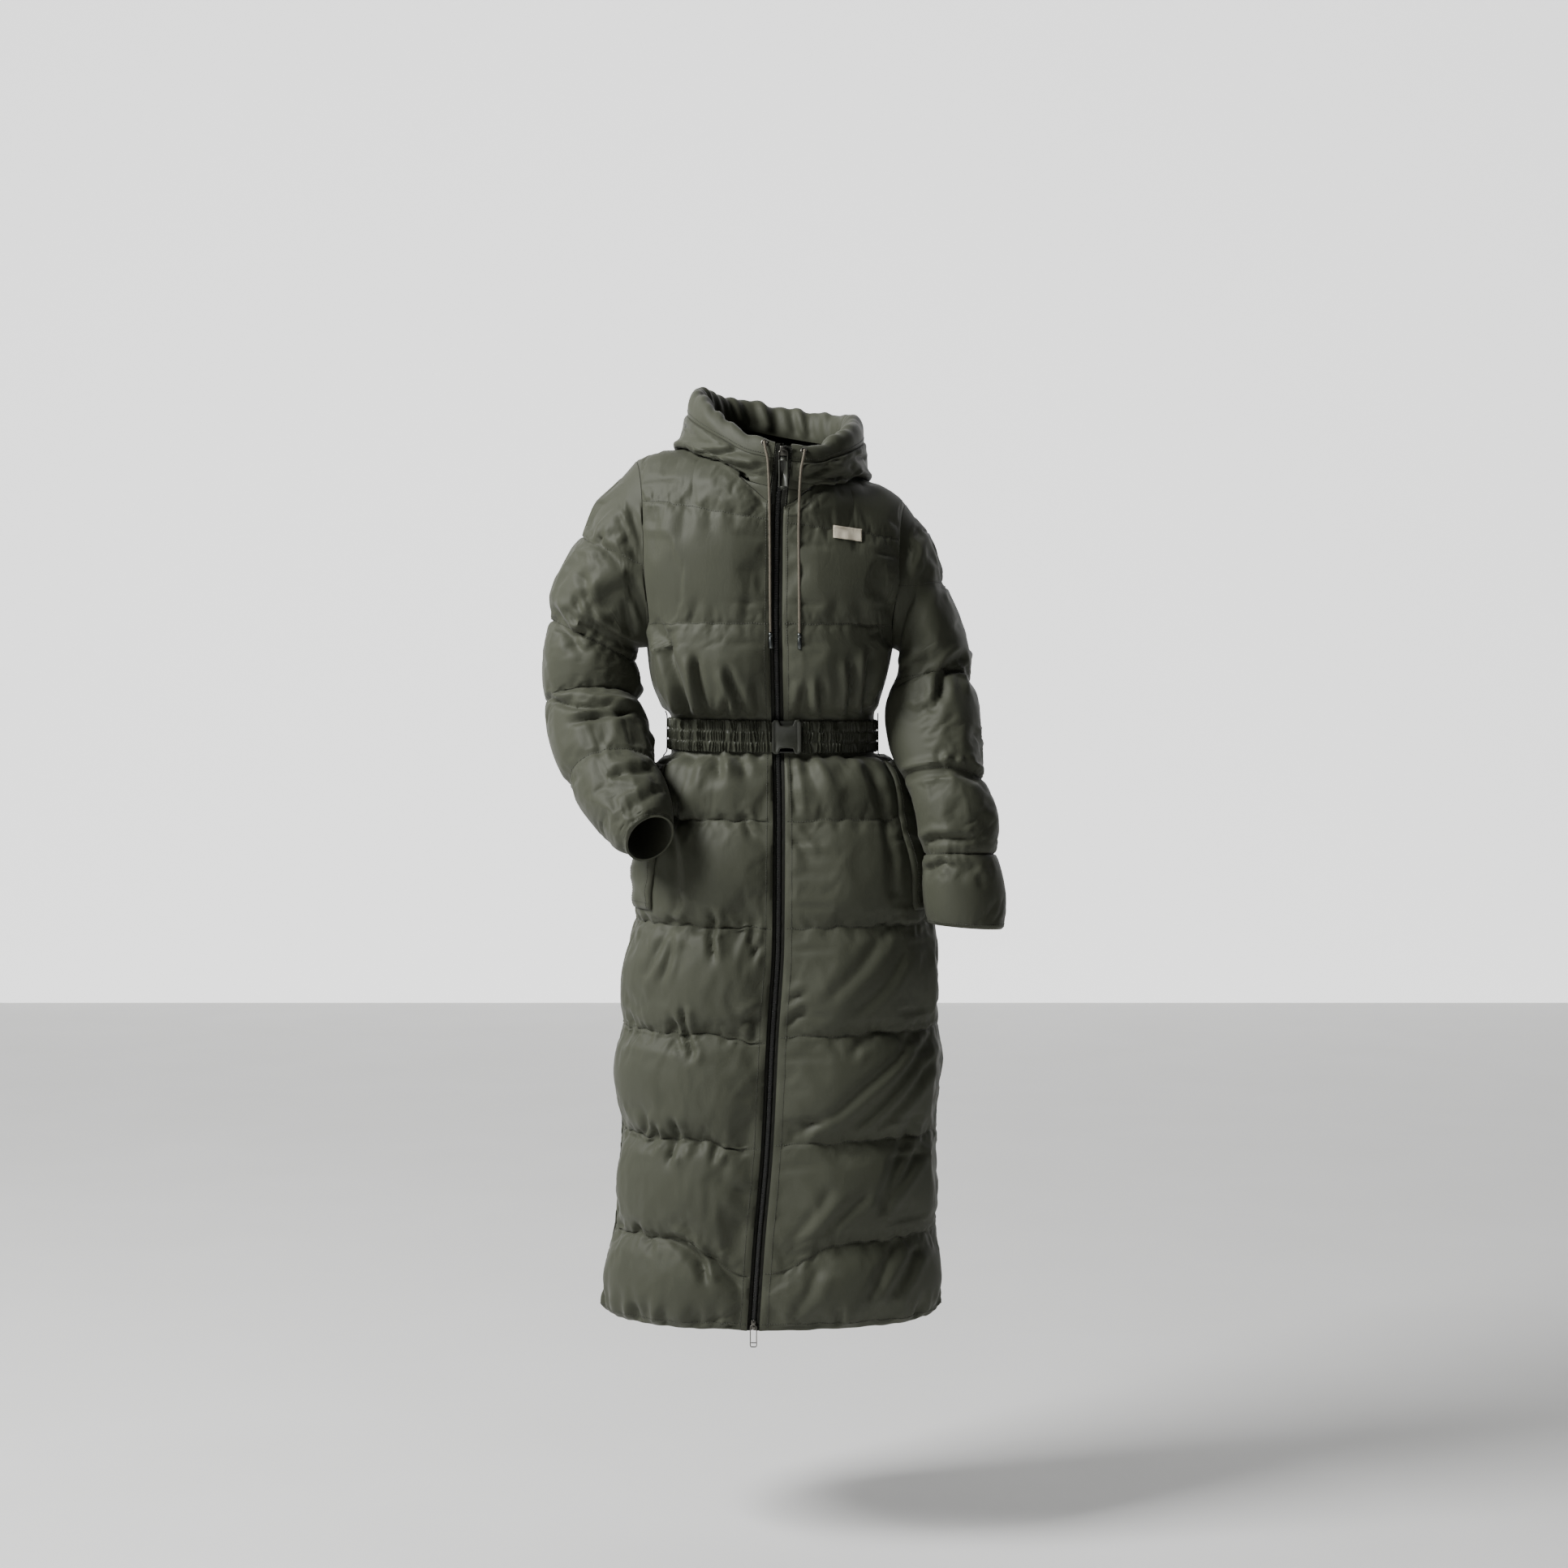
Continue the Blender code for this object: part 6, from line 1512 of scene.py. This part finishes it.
def dress_slider(which):
    """A slider: two wings over the coil, a raised crown, and ears with the pin that its pull hangs on."""
    _, width, height = SLIDERS[which]
    low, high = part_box(f"zip_slider_{which}")
    x, back, half = (low.x + high.x) / 2, high.y, width * 0.30
    parts = [block("wings", (low.x, back - WING_THICK, low.z), (high.x, back, high.z), 0.0009)]
    for name, front, foot, head in (
        ("crown", low.y + CROWN_SINK, low.z + 0.0012, low.z + height * 0.42),
        ("bridge", low.y, high.z - height * 0.46, high.z - 0.0008),
    ):
        parts.append(block(name, (x - half, front, foot), (x + half, back - CROWN_BACK, head), 0.0006))
    return joined(f"zip_slider_{which}_dressed", parts)


def dress_pulls():
    """The pulls: a wire bail with a ribbed grip above, and a plain wire loop with a bar below."""
    low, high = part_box("zip_pull_top")
    x, y = (low.x + high.x) / 2, (low.y + high.y) / 2
    corners = rounded_loop(
        (x, y, high.z - BAIL_DROP), high.x - low.x - 2 * BAIL_WIRE, BAIL_HEIGHT, 0.0025
    )
    bail = wire_loop("zip_bail", corners, BAIL_WIRE)
    grip_low, grip_high = (low.x, y - GRIP_FRONT, low.z), (high.x, y + GRIP_BACK, high.z - GRIP_DROP)
    grip = block("zip_grip", grip_low, grip_high, 0.0008)
    press(grip, lambda at, out: out.y < -0.9 and abs(at.x - x) < GRIP_RIB, 0.0016, 0.0005)
    low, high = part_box("zip_pull_bottom")
    x, y, z = (low + high) / 2
    around = 2 * RING_WIRE
    corners = rounded_loop((x, y, z), high.x - low.x - around, high.z - low.z - around, 0.0022)
    loop = wire_loop("zip_wire", corners, RING_WIRE)
    bar_low = (low.x + 0.0008, y - RING_WIRE, low.z + RING_BAR[0])
    bar_high = (high.x - 0.0008, y + RING_WIRE, low.z + RING_BAR[1])
    return bail, grip, joined("zip_pull_bottom_dressed", [loop, block("zip_bar", bar_low, bar_high, 0.0004)])


# ------------------------------------------------------------------ belt and trim
GATHER_SPACING = 0.0041
BELT_COLUMNS, BELT_ROWS = 1440, 22
BELT_LIFT, BELT_BULGE = 0.0060, 0.0012  # of its gathers over the coat's plain form, and of each band's middle
NOTCH_HALF, NOTCH_DEEP = 0.0105, 0.0075  # of the buckle's plate, where the belt goes in
WELT_WIDE, WELT_EDGE, WELT_QUILT = 0.07, 0.012, 0.0007
VENT_PUCKER = 0.0011
PATCH_STITCH = (0.0016, 0.0011, 0.00022)  # pitch, length and thickness
LOOP_ANGLE, LOOP_THREAD = 84, 0.0009  # degrees round the coat; radius


def dress_belt():
    """The elastic band: a satin casing gathered over three rubber strips, stitched between them."""
    centre, half = (float(read(BODY, BODY_COLUMNS, key, BELT_Z)) for key in ("centre", "half_width"))
    reach = BUCKLE_WIDTH / 2 + SEAM_GAP
    first, last = (float(angle_across((BUCKLE_X + side * reach - centre) / half)) for side in (1, -1))
    angle = np.linspace(first, last + 2 * math.pi, BELT_COLUMNS)
    out, base = ring_out(angle, BELT_Z)[None], ring(angle, BELT_Z)[None]
    along = lengths_along(base[0])[None]
    up = np.linspace(0, 1, BELT_ROWS)[:, None]
    band = np.clip(np.floor(up * 3), 0, 2)
    share = up * 3 - band
    bulge = np.clip(1 - np.abs(2 * share - 1) ** 3, 0, 1) ** 0.5
    drift = 0.0026 * waves(along, 201, 0.02, 0.09) + 0.0018 * band * waves(along, 203, 0.015, 0.06)
    slant = 0.0022 * waves(along + 0.03 * band, 207, 0.012, 0.05) * (share - 0.5)
    gather = np.sin(math.pi * (along + drift + slant + 0.0013 * band) / GATHER_SPACING)
    gather = (1 - 2 * np.abs(gather) ** 0.7) * (0.75 + 0.35 * waves(along, 209, 0.012, 0.04))
    rise = BELT_LIFT + BELT_BULGE * bulge + gather * (0.0004 + 0.0017 * bulge)
    flat = (up - 0.5) * BELT_WIDTH
    height = flat + 0.0007 * gather * (2 * up - 1) ** 3
    drop = BELT_DROP * (base[..., 0] - BUCKLE_X)
    outer = pushed(base, out, rise) + stacked(0.0, 0.0, height - drop)
    inner = base + out * (WALL + LAY_GAP) + stacked(0.0, 0.0, flat - drop)
    return add_wall("belt_dressed", inner, outer, stacked(along, up * BELT_WIDTH))


def dress_buckle():
    """A moulded side-release buckle: the plate, its recessed face, and the tongue in it."""
    low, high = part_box("buckle_plate")
    x, y, z = (low + high) / 2
    half, tall = (high.x - low.x) / 2, (high.z - low.z) / 2
    quarter = [
        (half, tall - 0.0035), (half - 0.0035, tall), (NOTCH_HALF + 0.0015, tall),
        (NOTCH_HALF, tall - 0.0015), (NOTCH_HALF - 0.0022, tall - NOTCH_DEEP),
        (0.0, tall - NOTCH_DEEP - 0.0006),
    ]
    outline = []
    for sx, sz in ((1, 1), (-1, 1), (-1, -1), (1, -1)):
        corner = quarter if sx * sz > 0 else quarter[-2::-1]
        outline += [(x + sx * a, y, z + sz * b) for a, b in corner]
    plate = add_mesh("buckle_plate_dressed", outline, [list(range(len(outline)))])
    modify(plate, "SOLIDIFY", thickness=high.y - low.y, offset=0)
    modify(recalculated(plate), "BEVEL", width=0.0008, segments=3, limit_method="ANGLE", angle_limit=0.7)
    press(plate, lambda at, out: out.y < -0.98, 0.0022, 0.0004)
    return shaded(plate), block("buckle_tongue_dressed", *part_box("buckle_tongue"), 0.0005)


def lay(points, normals, tree, clearance):
    """Moves points along their normals until they lie clearance above the cloth."""
    laid = points.copy()
    for i in np.ndindex(points.shape[:-1]):
        met = tree.ray_cast(points[i] + normals[i] * 0.08, -normals[i])[0]
        laid[i] = (np.array(met) if met else points[i]) + normals[i] * clearance
    return laid


def dress_welt(side_name, side, tree):
    """A padded welt beside the pocket's mouth, with its edge stitching."""
    def place(s, v):
        return stance(body_surface(s, v, side, False))

    foot, head = POCKET[0][0], POCKET[-1][0]
    v = np.linspace(foot, head, 44)[:, None]
    share = np.linspace(0, 1, 18)[None, :]
    near, far = (read(POCKET, POCKET_COLUMNS, key, v) for key in ("s_edge", "s_side"))
    s = near + (far - near) * share
    normals = surface_normals(place, s, v, side)
    points = smoothed(lay(place(s, v), normals, tree, WELT_LIFT), 4)
    rim = np.minimum(np.minimum(share, 1 - share) * 0.075, np.minimum(v - foot, head - v) * CHANNEL)
    full = edge_taper(rim, WELT_EDGE)
    quilt = WELT_QUILT * waves(v * CHANNEL + 0.02 * share, 301 + side, 0.012, 0.06) * full
    outer = pushed(points, normals, POCKET_WALL + POCKET_LOFT * full + quilt)
    map_ = stacked(share * WELT_WIDE + MAPS["welt"] + side, v * CHANNEL)
    welt = add_wall(f"pocket_welt_{side_name}_dressed", points, outer, map_)
    rows = [(outer[:, k], normals[:, k]) for k in (2, -3)] + [(outer[k], normals[k]) for k in (2, -3)]
    return welt, stitches(f"pocket_welt_{side_name}_stitching", rows)


def dress_vent(side_name, side, tree):
    """A binding down the vent at the foot of a side seam, puckered by its stitching."""
    z = np.linspace(level(VENT_FROM_V), level(VENT_TO_V), 130)[:, None]
    share = np.linspace(-1, 1, 12)[None, :]
    points = ring(side * (math.pi / 2 + VENT_WIDTH / 2 / SIDE_BEND * share), z)
    out = np.broadcast_to([side, 0.0, 0.0], points.shape)
    points = smoothed(lay(points, out, tree, VENT_LIFT), 6)
    pucker = VENT_PUCKER * waves(z + 0.012 * share, 401 + side, 0.007, 0.03) * (1 - share**2)
    outer = pushed(points, out, VENT_WALL + np.clip(pucker, -0.0008, 0.0012))
    map_ = stacked(share * 0.01 + MAPS["vent"] + side, z)
    vent = add_wall(f"side_vent_{side_name}_dressed", points, outer, map_)
    return vent, stitches(f"side_vent_{side_name}_stitching", [(outer[:, k], out[:, k]) for k in (1, -2)])


def dress_label(tree):
    """A plain woven patch on the wearer's left breast, sewn down round its edge."""
    across, upwards = (np.linspace(-0.5, 0.5, count) for count in (24, 12))
    along, up = np.meshgrid(across * LABEL_WIDTH, upwards * LABEL_HEIGHT)
    points = stacked(LABEL_AT[0] + along, -0.10, LABEL_AT[1] + up - LABEL_SLOPE * along)
    out = np.broadcast_to([0.0, -1.0, 0.0], points.shape)
    points = smoothed(lay(points, out, tree, LABEL_LIFT), 8)
    edge = np.minimum(LABEL_WIDTH / 2 - np.abs(along), LABEL_HEIGHT / 2 - np.abs(up))
    outer = pushed(points, out, LABEL_WALL * (0.7 + 0.3 * ease(edge, 0, 0.0012)))
    label = add_wall("label_patch_dressed", points, outer, stacked(along, up))
    rows = [(outer[k, 1:-1], out[k, 1:-1]) for k in (1, -2)]
    rows += [(outer[1:-1, k], out[1:-1, k]) for k in (1, -2)]
    return label, stitches("label_patch_stitching", rows, *PATCH_STITCH)


def dress_snap(side_name, side):
    """A press stud: a domed cap with a rolled rim, dished in the middle."""
    low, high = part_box(f"snap_{side_name}")
    middle, tall = (low + high) / 2, high.x - low.x
    shares = ((0.9, 0), (1, 0.25), (1, 0.6), (0.88, 0.95), (0.7, 0.9), (0.6, 0.7), (0.3, 0.78), (0.05, 0.8))
    profile = [(SNAP_RADIUS * radius, tall * far) for radius, far in shares]
    start = (low.x if side > 0 else high.x, middle.y, middle.z)
    return turned(f"snap_{side_name}_dressed", profile, start, (side, 0, 0))


def dress_cord(side_name, route):
    """A plaited cord out of its eyelet, hanging free to a metal tip, with its middle line."""
    route = np.array(route)
    at = np.linspace(0, len(route) - 1, CORD_POINTS)
    path = stacked(*[smooth(np.arange(len(route)), route[:, k], at) for k in range(3)])
    cord, middle = braided(f"drawcord_{side_name}_dressed", path, CORD_RADIUS)
    run = unit(path[-1] - path[-2])
    # ribbed near its mouth, and closed in at its end
    profile = [(AGLET_RADIUS * radius, far) for radius, far in AGLET_PROFILE]
    tip = turned(f"aglet_{side_name}_dressed", profile, path[-1] + run * SEAM_GAP, run)
    low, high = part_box(f"eyelet_{side_name}")
    bpy.ops.mesh.primitive_torus_add(
        major_segments=40, minor_segments=14, major_radius=EYELET_RADIUS, minor_radius=EYELET_WIRE
    )
    eyelet = named(f"eyelet_{side_name}_dressed", bpy.context.object)
    turn = Vector(unit(path[1] - path[0])).to_track_quat("Z", "Y")
    for vertex in eyelet.data.vertices:
        vertex.co = turn @ vertex.co + (low + high) / 2
    eyelet.data.shade_smooth()
    return cord, tip, eyelet, middle


def dress_loop(side_name, side):
    """A worked thread loop that keeps the belt at the side seam."""
    angle = side * math.radians(LOOP_ANGLE)
    drop = np.array([0, 0, BELT_DROP * side * 0.13])
    points = []
    for z, out in LOOP_ROUTE:
        points.append(ring(angle, BELT_Z + z) + ring_out(angle, BELT_Z + z) * out - drop)
    name, points = f"belt_loop_{side_name}_dressed", np.array(points)
    return braided(name, points, LOOP_THREAD, strands=2, lay=0.004, relief=0.22, step=0.0006, around=10)[0]


# ------------------------------------------------------------------ materials
def shade(colour):
    """An sRGB hex colour as linear red, green, blue and alpha."""
    parts = [int(colour[k : k + 2], 16) / 255 for k in (1, 3, 5)]
    return (*[c / 12.92 if c <= 0.04045 else ((c + 0.055) / 1.055) ** 2.4 for c in parts], 1.0)


def add_node(tree, kind, inputs, **settings):
    """Adds a node with its settings, its sockets' values, and its links."""
    made = tree.nodes.new("ShaderNode" + kind)
    for key, value in settings.items():
        setattr(made, key, value)
    for socket, value in inputs.items():
        if isinstance(value, bpy.types.NodeSocket):
            tree.links.new(value, made.inputs[socket])
        else:
            made.inputs[socket].default_value = value
    return made


def new_material(name):
    made = bpy.data.materials.new(name)
    made.use_nodes = True
    tree = made.node_tree
    return made, tree, tree.nodes["Principled BSDF"]


def put(tree, shader, **values):
    """Sets or links the shader's sockets; an underscore stands for a space."""
    for key, value in values.items():
        socket = shader.inputs[key.replace("_", " ")]
        if isinstance(value, bpy.types.NodeSocket):
            tree.links.new(value, socket)
        else:
            socket.default_value = value


def mixed(tree, share, first, second):
    """A colour between two sRGB hex colours."""
    return add_node(tree, "Mix", {0: share, 6: shade(first), 7: shade(second)}, data_type="RGBA").outputs[2]


def spread(tree, value, low, high):
    """A value from 0 to 1 spread between two others."""
    return add_node(tree, "MapRange", {0: value, 3: low, 4: high}).outputs[0]


def bumps(tree, *layers):
    """Bumps on each other: height, distance in metres and strength."""
    normal = None
    for height, distance, strength in layers:
        inputs = {"Height": height, "Distance": distance, "Strength": strength}
        if normal:
            inputs["Normal"] = normal
        normal = add_node(tree, "Bump", inputs).outputs[0]
    return normal


def satin_polyester(name, low, high, crinkle=1.0, roughness=(0.56, 0.68)):
    """Downproof polyester satin, calendered: fine dense threads, a soft gleam, and creases set by wear."""
    made, tree, shader = new_material(name)

    def step(operation, *values):
        return add_node(tree, "Math", dict(enumerate(values)), operation=operation).outputs[0]

    at = add_node(tree, "UVMap", {}, uv_map="cloth").outputs[0]
    # threads are 0.12 mm apart on the real cloth, and drawn 1 mm apart so that they show
    warp, weft = (
        add_node(tree, "TexWave", {0: at, "Scale": 314.0, "Distortion": 0.6}, bands_direction=way).outputs[1]
        for way in "XY"
    )
    weave = step("MULTIPLY", warp, weft)
    patches = {"Vector": at, "Scale": 14.0, "Detail": 4.0, "Distortion": 0.4}
    patches = add_node(tree, "TexNoise", patches).outputs[0]
    # creases a few millimetres wide, longer across the channels than along them
    long_way = add_node(tree, "Mapping", {0: at, 3: (1.0, 0.55, 1.0)}).outputs[0]
    creases = {"Vector": long_way, "Scale": 62.0, "Detail": 3.0, "Distortion": 0.9}
    creases = step("SUBTRACT", add_node(tree, "TexNoise", creases).outputs[0], 0.5)
    creases = step("SMOOTH_MIN", step("ABSOLUTE", creases), 0.09)
    put(
        tree, shader, Base_Color=mixed(tree, spread(tree, patches, 0.1, 0.9), low, high),
        Roughness=spread(tree, patches, *roughness), Specular_IOR_Level=0.24,
        Sheen_Weight=0.05, Sheen_Roughness=0.5,
        Normal=bumps(tree, (creases, 0.0016 * crinkle, 0.5), (weave, 0.00006, 0.5)),
    )
    return made


def woven_band(name, low, high, spacing=1.6, roughness=0.75):
    """Woven tape or webbing: ribs across it that catch a dull light."""
    made, tree, shader = new_material(name)
    at = add_node(tree, "UVMap", {}, uv_map="cloth").outputs[0]
    ribs = add_node(tree, "TexWave", {0: at, "Scale": 314.0 / spacing}, bands_direction="Y").outputs[1]
    yarn = add_node(tree, "TexNoise", {"Vector": at, "Scale": 900.0, "Detail": 2.0}).outputs[0]
    put(tree, shader, Base_Color=mixed(tree, yarn, low, high), Roughness=roughness, Specular_IOR_Level=0.2,
        Normal=bumps(tree, (yarn, 0.0002, 0.4), (ribs, 0.0002, 0.5)))
    return made


def plain_finish(name, low, high, grain, roughness, bump=0.00008, **values):
    """A moulded, cast or spun surface, uneven by its grain and worn a little."""
    made, tree, shader = new_material(name)
    at = add_node(tree, "TexCoord", {}).outputs["Object"]
    fine = add_node(tree, "TexNoise", {"Vector": at, "Scale": grain, "Detail": 3.0}).outputs[0]
    worn = add_node(tree, "TexNoise", {"Vector": at, "Scale": grain * 0.12, "Detail": 2.0}).outputs[0]
    put(tree, shader, Base_Color=mixed(tree, worn, low, high), Roughness=spread(tree, worn, *roughness),
        Normal=bumps(tree, (fine, bump, 0.4)), **values)
    return made


def make_materials():
    """Every finish by the record's slot."""
    satin, finish = satin_polyester, plain_finish
    return {
        "quilted_cloth": satin("satin_polyester", "#37392e", "#424438"),
        "gathered_webbing": satin("gathered_satin_over_elastic", "#2f3128", "#3b3d32", 0.4, (0.36, 0.46)),
        "vent_binding": satin("satin_binding", "#303229", "#3b3d32", 0.7),
        "zip_tape_cloth": woven_band("zip_tape_polyester", "#131410", "#20211b"),
        # injection-moulded acetal teeth, half gloss
        "zip_coil_nylon": finish("zip_teeth_acetal", "#0f100e", "#191a17", 900, (0.32, 0.45)),
        # zinc casting plated gunmetal: bright edges on a dark skin
        "dark_metal": finish("gunmetal_plated_zinc", "#4d4c48", "#77756e", 700, (0.26, 0.42), Metallic=1.0),
        # anodised aluminium tips, blue-grey
        "cord_tip_metal": finish("anodised_aluminium", "#4a4d4c", "#6b6f6e", 800, (0.28, 0.40), Metallic=1.0),
        # moulded ABS, fine spark-eroded texture
        "dark_plastic": finish("moulded_abs", "#24261f", "#30322a", 1400, (0.40, 0.52), 0.0001),
        # spun polyester thread, close to the cloth's own shade
        "sewing_thread": finish("spun_polyester_thread", "#303228", "#404237", 2200, (0.5, 0.65)),
        # plaited polyester cord, dull
        "cord_braid": finish("plaited_polyester_cord", "#4b463c", "#6a6355", 1600, (0.7, 0.85), 0.00012),
        # damask-woven satin patch, left blank
        "woven_label": woven_band("damask_woven_patch", "#cdc4ae", "#e0d9c6", 0.8, 0.6),
    }


# ------------------------------------------------------------------ the studio
CAMERA_AT, CAMERA_DIP = (0, -3.8, -0.2188), 3.08  # place, and degrees below level
LENS, SENSOR = 64.377, 36
LAMPS = {"key": ((-2.9, -1.5, 2.3), 1.5, 370), "fill": ((-1.6, -3.3, 0.3), 2.0, 5)}  # place, size and power
LAMPS_AIM = (0, 0, -0.5)
SURROUND = 0.05
FLOOR_Z, BACKDROP_AT = -1.45, (0, 5.5, 4.0)


def make_camera():
    data = bpy.data.cameras.new("camera")
    data.sensor_width, data.lens, data.clip_end = SENSOR, LENS, 60
    data.dof.use_dof = False
    camera = link("camera", data)
    camera.location = CAMERA_AT
    camera.rotation_euler = (math.radians(90 - CAMERA_DIP), 0, 0)
    bpy.context.scene.camera = camera


def light_up():
    """A soft key, high on the wearer's right; a faint low fill on the same side; and a dim, even surround."""
    for name, (place, size, power) in LAMPS.items():
        lamp = bpy.data.lights.new(name, "AREA")
        lamp.size, lamp.energy = size, power
        made = link(name, lamp)
        made.location = place
        made.rotation_euler = (Vector(LAMPS_AIM) - Vector(place)).to_track_quat("-Z", "Y").to_euler()
    world = bpy.data.worlds.new("studio")
    bpy.context.scene.world = world
    world.use_nodes = True
    background = world.node_tree.nodes["Background"]
    background.inputs[0].default_value = (1.0, 1.0, 1.0, 1.0)
    background.inputs[1].default_value = SURROUND


def make_floor():
    """A pale painted floor, and a white cloth lit from behind, well away from the coat."""
    bpy.ops.mesh.primitive_plane_add(size=24, location=(0, 0, FLOOR_Z))
    floor = bpy.context.object
    floor.name = "floor"
    made, tree, shader = new_material("painted_studio_floor")
    at = add_node(tree, "TexCoord", {}).outputs["Object"]
    mottle = add_node(tree, "TexNoise", {"Vector": at, "Scale": 3.0, "Detail": 3.0}).outputs[0]
    put(tree, shader, Base_Color=mixed(tree, mottle, "#dededc", "#e6e6e5"), Roughness=0.9)
    floor.data.materials.append(made)
    bpy.ops.mesh.primitive_plane_add(size=16, location=BACKDROP_AT, rotation=(math.radians(90), 0, 0))
    backdrop = bpy.context.object
    backdrop.name = "backdrop"
    made, tree, shader = new_material("lit_white_backdrop")
    white = shade("#ffffff")
    put(tree, shader, Base_Color=white, Roughness=1.0, Emission_Color=white, Emission_Strength=1.3)
    backdrop.data.materials.append(made)


# ------------------------------------------------------------------ the coat
def wear(piece, slot, *nodes, body="coat"):
    """Gives a piece its finish, the body that it moves with, and the solids that it stands for."""
    piece.data.materials.clear()
    piece.data.materials.append(FINISHES[slot])
    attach(piece, body)
    if nodes:
        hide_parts(*nodes)
    return piece


def line_rows(outer, normals):
    """The quilted lines of a body panel, for stitching."""
    return [(outer[k * CHANNEL_ROWS], normals[k * CHANNEL_ROWS]) for k in range(1, 9)]


def sleeve_rows(outer, normals, cut_at):
    """The quilted lines round a sleeve, found by their distance along the cut."""
    rows = np.arange(outer.shape[0])
    found = []
    for line in SLEEVE_QUILT_CUT[1:-1]:
        at = np.array([np.interp(line, cut_at[:, j], rows) for j in range(outer.shape[1])])
        low = np.clip(at.astype(int), 0, len(rows) - 2)
        part = (at - low)[:, None]
        j = np.arange(outer.shape[1])
        path = [grid[low, j] * (1 - part) + grid[low + 1, j] * part for grid in (outer, normals)]
        found.append(tuple(np.concatenate([p, p[:1]]) for p in path))
    return found


FINISHES = make_materials()
make_camera()
for side_name, route in (("right", CORD_RIGHT), ("left", CORD_LEFT)):
    cord, tip, eyelet, middle = dress_cord(side_name, route)
    wear(cord, "cord_braid", f"drawcord_{side_name}")
    wear(tip, "cord_tip_metal", f"aglet_{side_name}")
    wear(eyelet, "dark_metal", f"eyelet_{side_name}")
make_floor()
light_up()

sets = dress_body(), dress_sleeves(), dress_hood()
swollen = swell({name: sheet for _, sheets, _ in sets for name, sheet in sheets.items()})
closers = close_body, close_sleeves, close_hood
body, sleeves, hood = (close(forms, plain, swollen) for close, (forms, _, plain) in zip(closers, sets))
for name, (piece, outer, normals, *cut_at) in {**body, **sleeves, **hood}.items():
    wear(piece, "quilted_cloth", name)
    rows = []
    if name in body:
        rows = line_rows(outer, normals) + [(outer[4], normals[4])]
        rows += [] if name == "back" else [(outer[:, 2], normals[:, 2])]
    elif name in sleeves:
        rows = sleeve_rows(outer, normals, *cut_at) + [(outer[-3], normals[-3])]
    elif name == "hood_centre":
        rows = [(outer[:, k], normals[:, k]) for k in (2, -3)]
    if rows:
        wear(stitches(name + "_stitching", rows), "sewing_thread")
rim, thread = dress_rim()
wear(rim, "quilted_cloth", "hood_rim")
wear(thread, "sewing_thread")

cloth = cloth_tree([body[name][0].data for name in ("front_right", "front_left", "back")])
belt = wear(dress_belt(), "gathered_webbing", "belt_band")
for part, name in zip(dress_buckle(), ("buckle_plate", "buckle_tongue")):
    wear(part, "dark_plastic", name)
for side_name, side in SIDES.items():
    insert = wear(dress_insert(side_name, side), "quilted_cloth", f"neck_insert_{side_name}")
    tape, thread = dress_tape(side_name, side)
    wear(tape, "zip_tape_cloth", f"zip_tape_{side_name}")
    wear(thread, "sewing_thread")
    welt, thread = dress_welt(side_name, side, cloth)
    wear(welt, "quilted_cloth", f"pocket_welt_{side_name}")
    wear(thread, "sewing_thread")
    vent, thread = dress_vent(side_name, side, cloth)
    wear(vent, "vent_binding", f"side_vent_{side_name}")
    wear(thread, "sewing_thread")
    wear(dress_snap(side_name, side), "dark_metal", f"snap_{side_name}")
    wear(dress_loop(side_name, side), "sewing_thread", f"belt_loop_{side_name}")
label, thread = dress_label(cloth)
wear(label, "woven_label", "label_patch")
wear(thread, "woven_label")
wear(dress_coil(), "zip_coil_nylon", "zip_coil")
for which in SLIDERS:
    wear(dress_slider(which), "dark_metal", f"zip_slider_{which}")
bail, grip, pull = dress_pulls()
wear(bail, "dark_metal", "zip_pull_top", body="pull_top")
wear(grip, "dark_plastic", "zip_pull_top", body="pull_top")
wear(pull, "dark_metal", "zip_pull_bottom", body="pull_bottom")
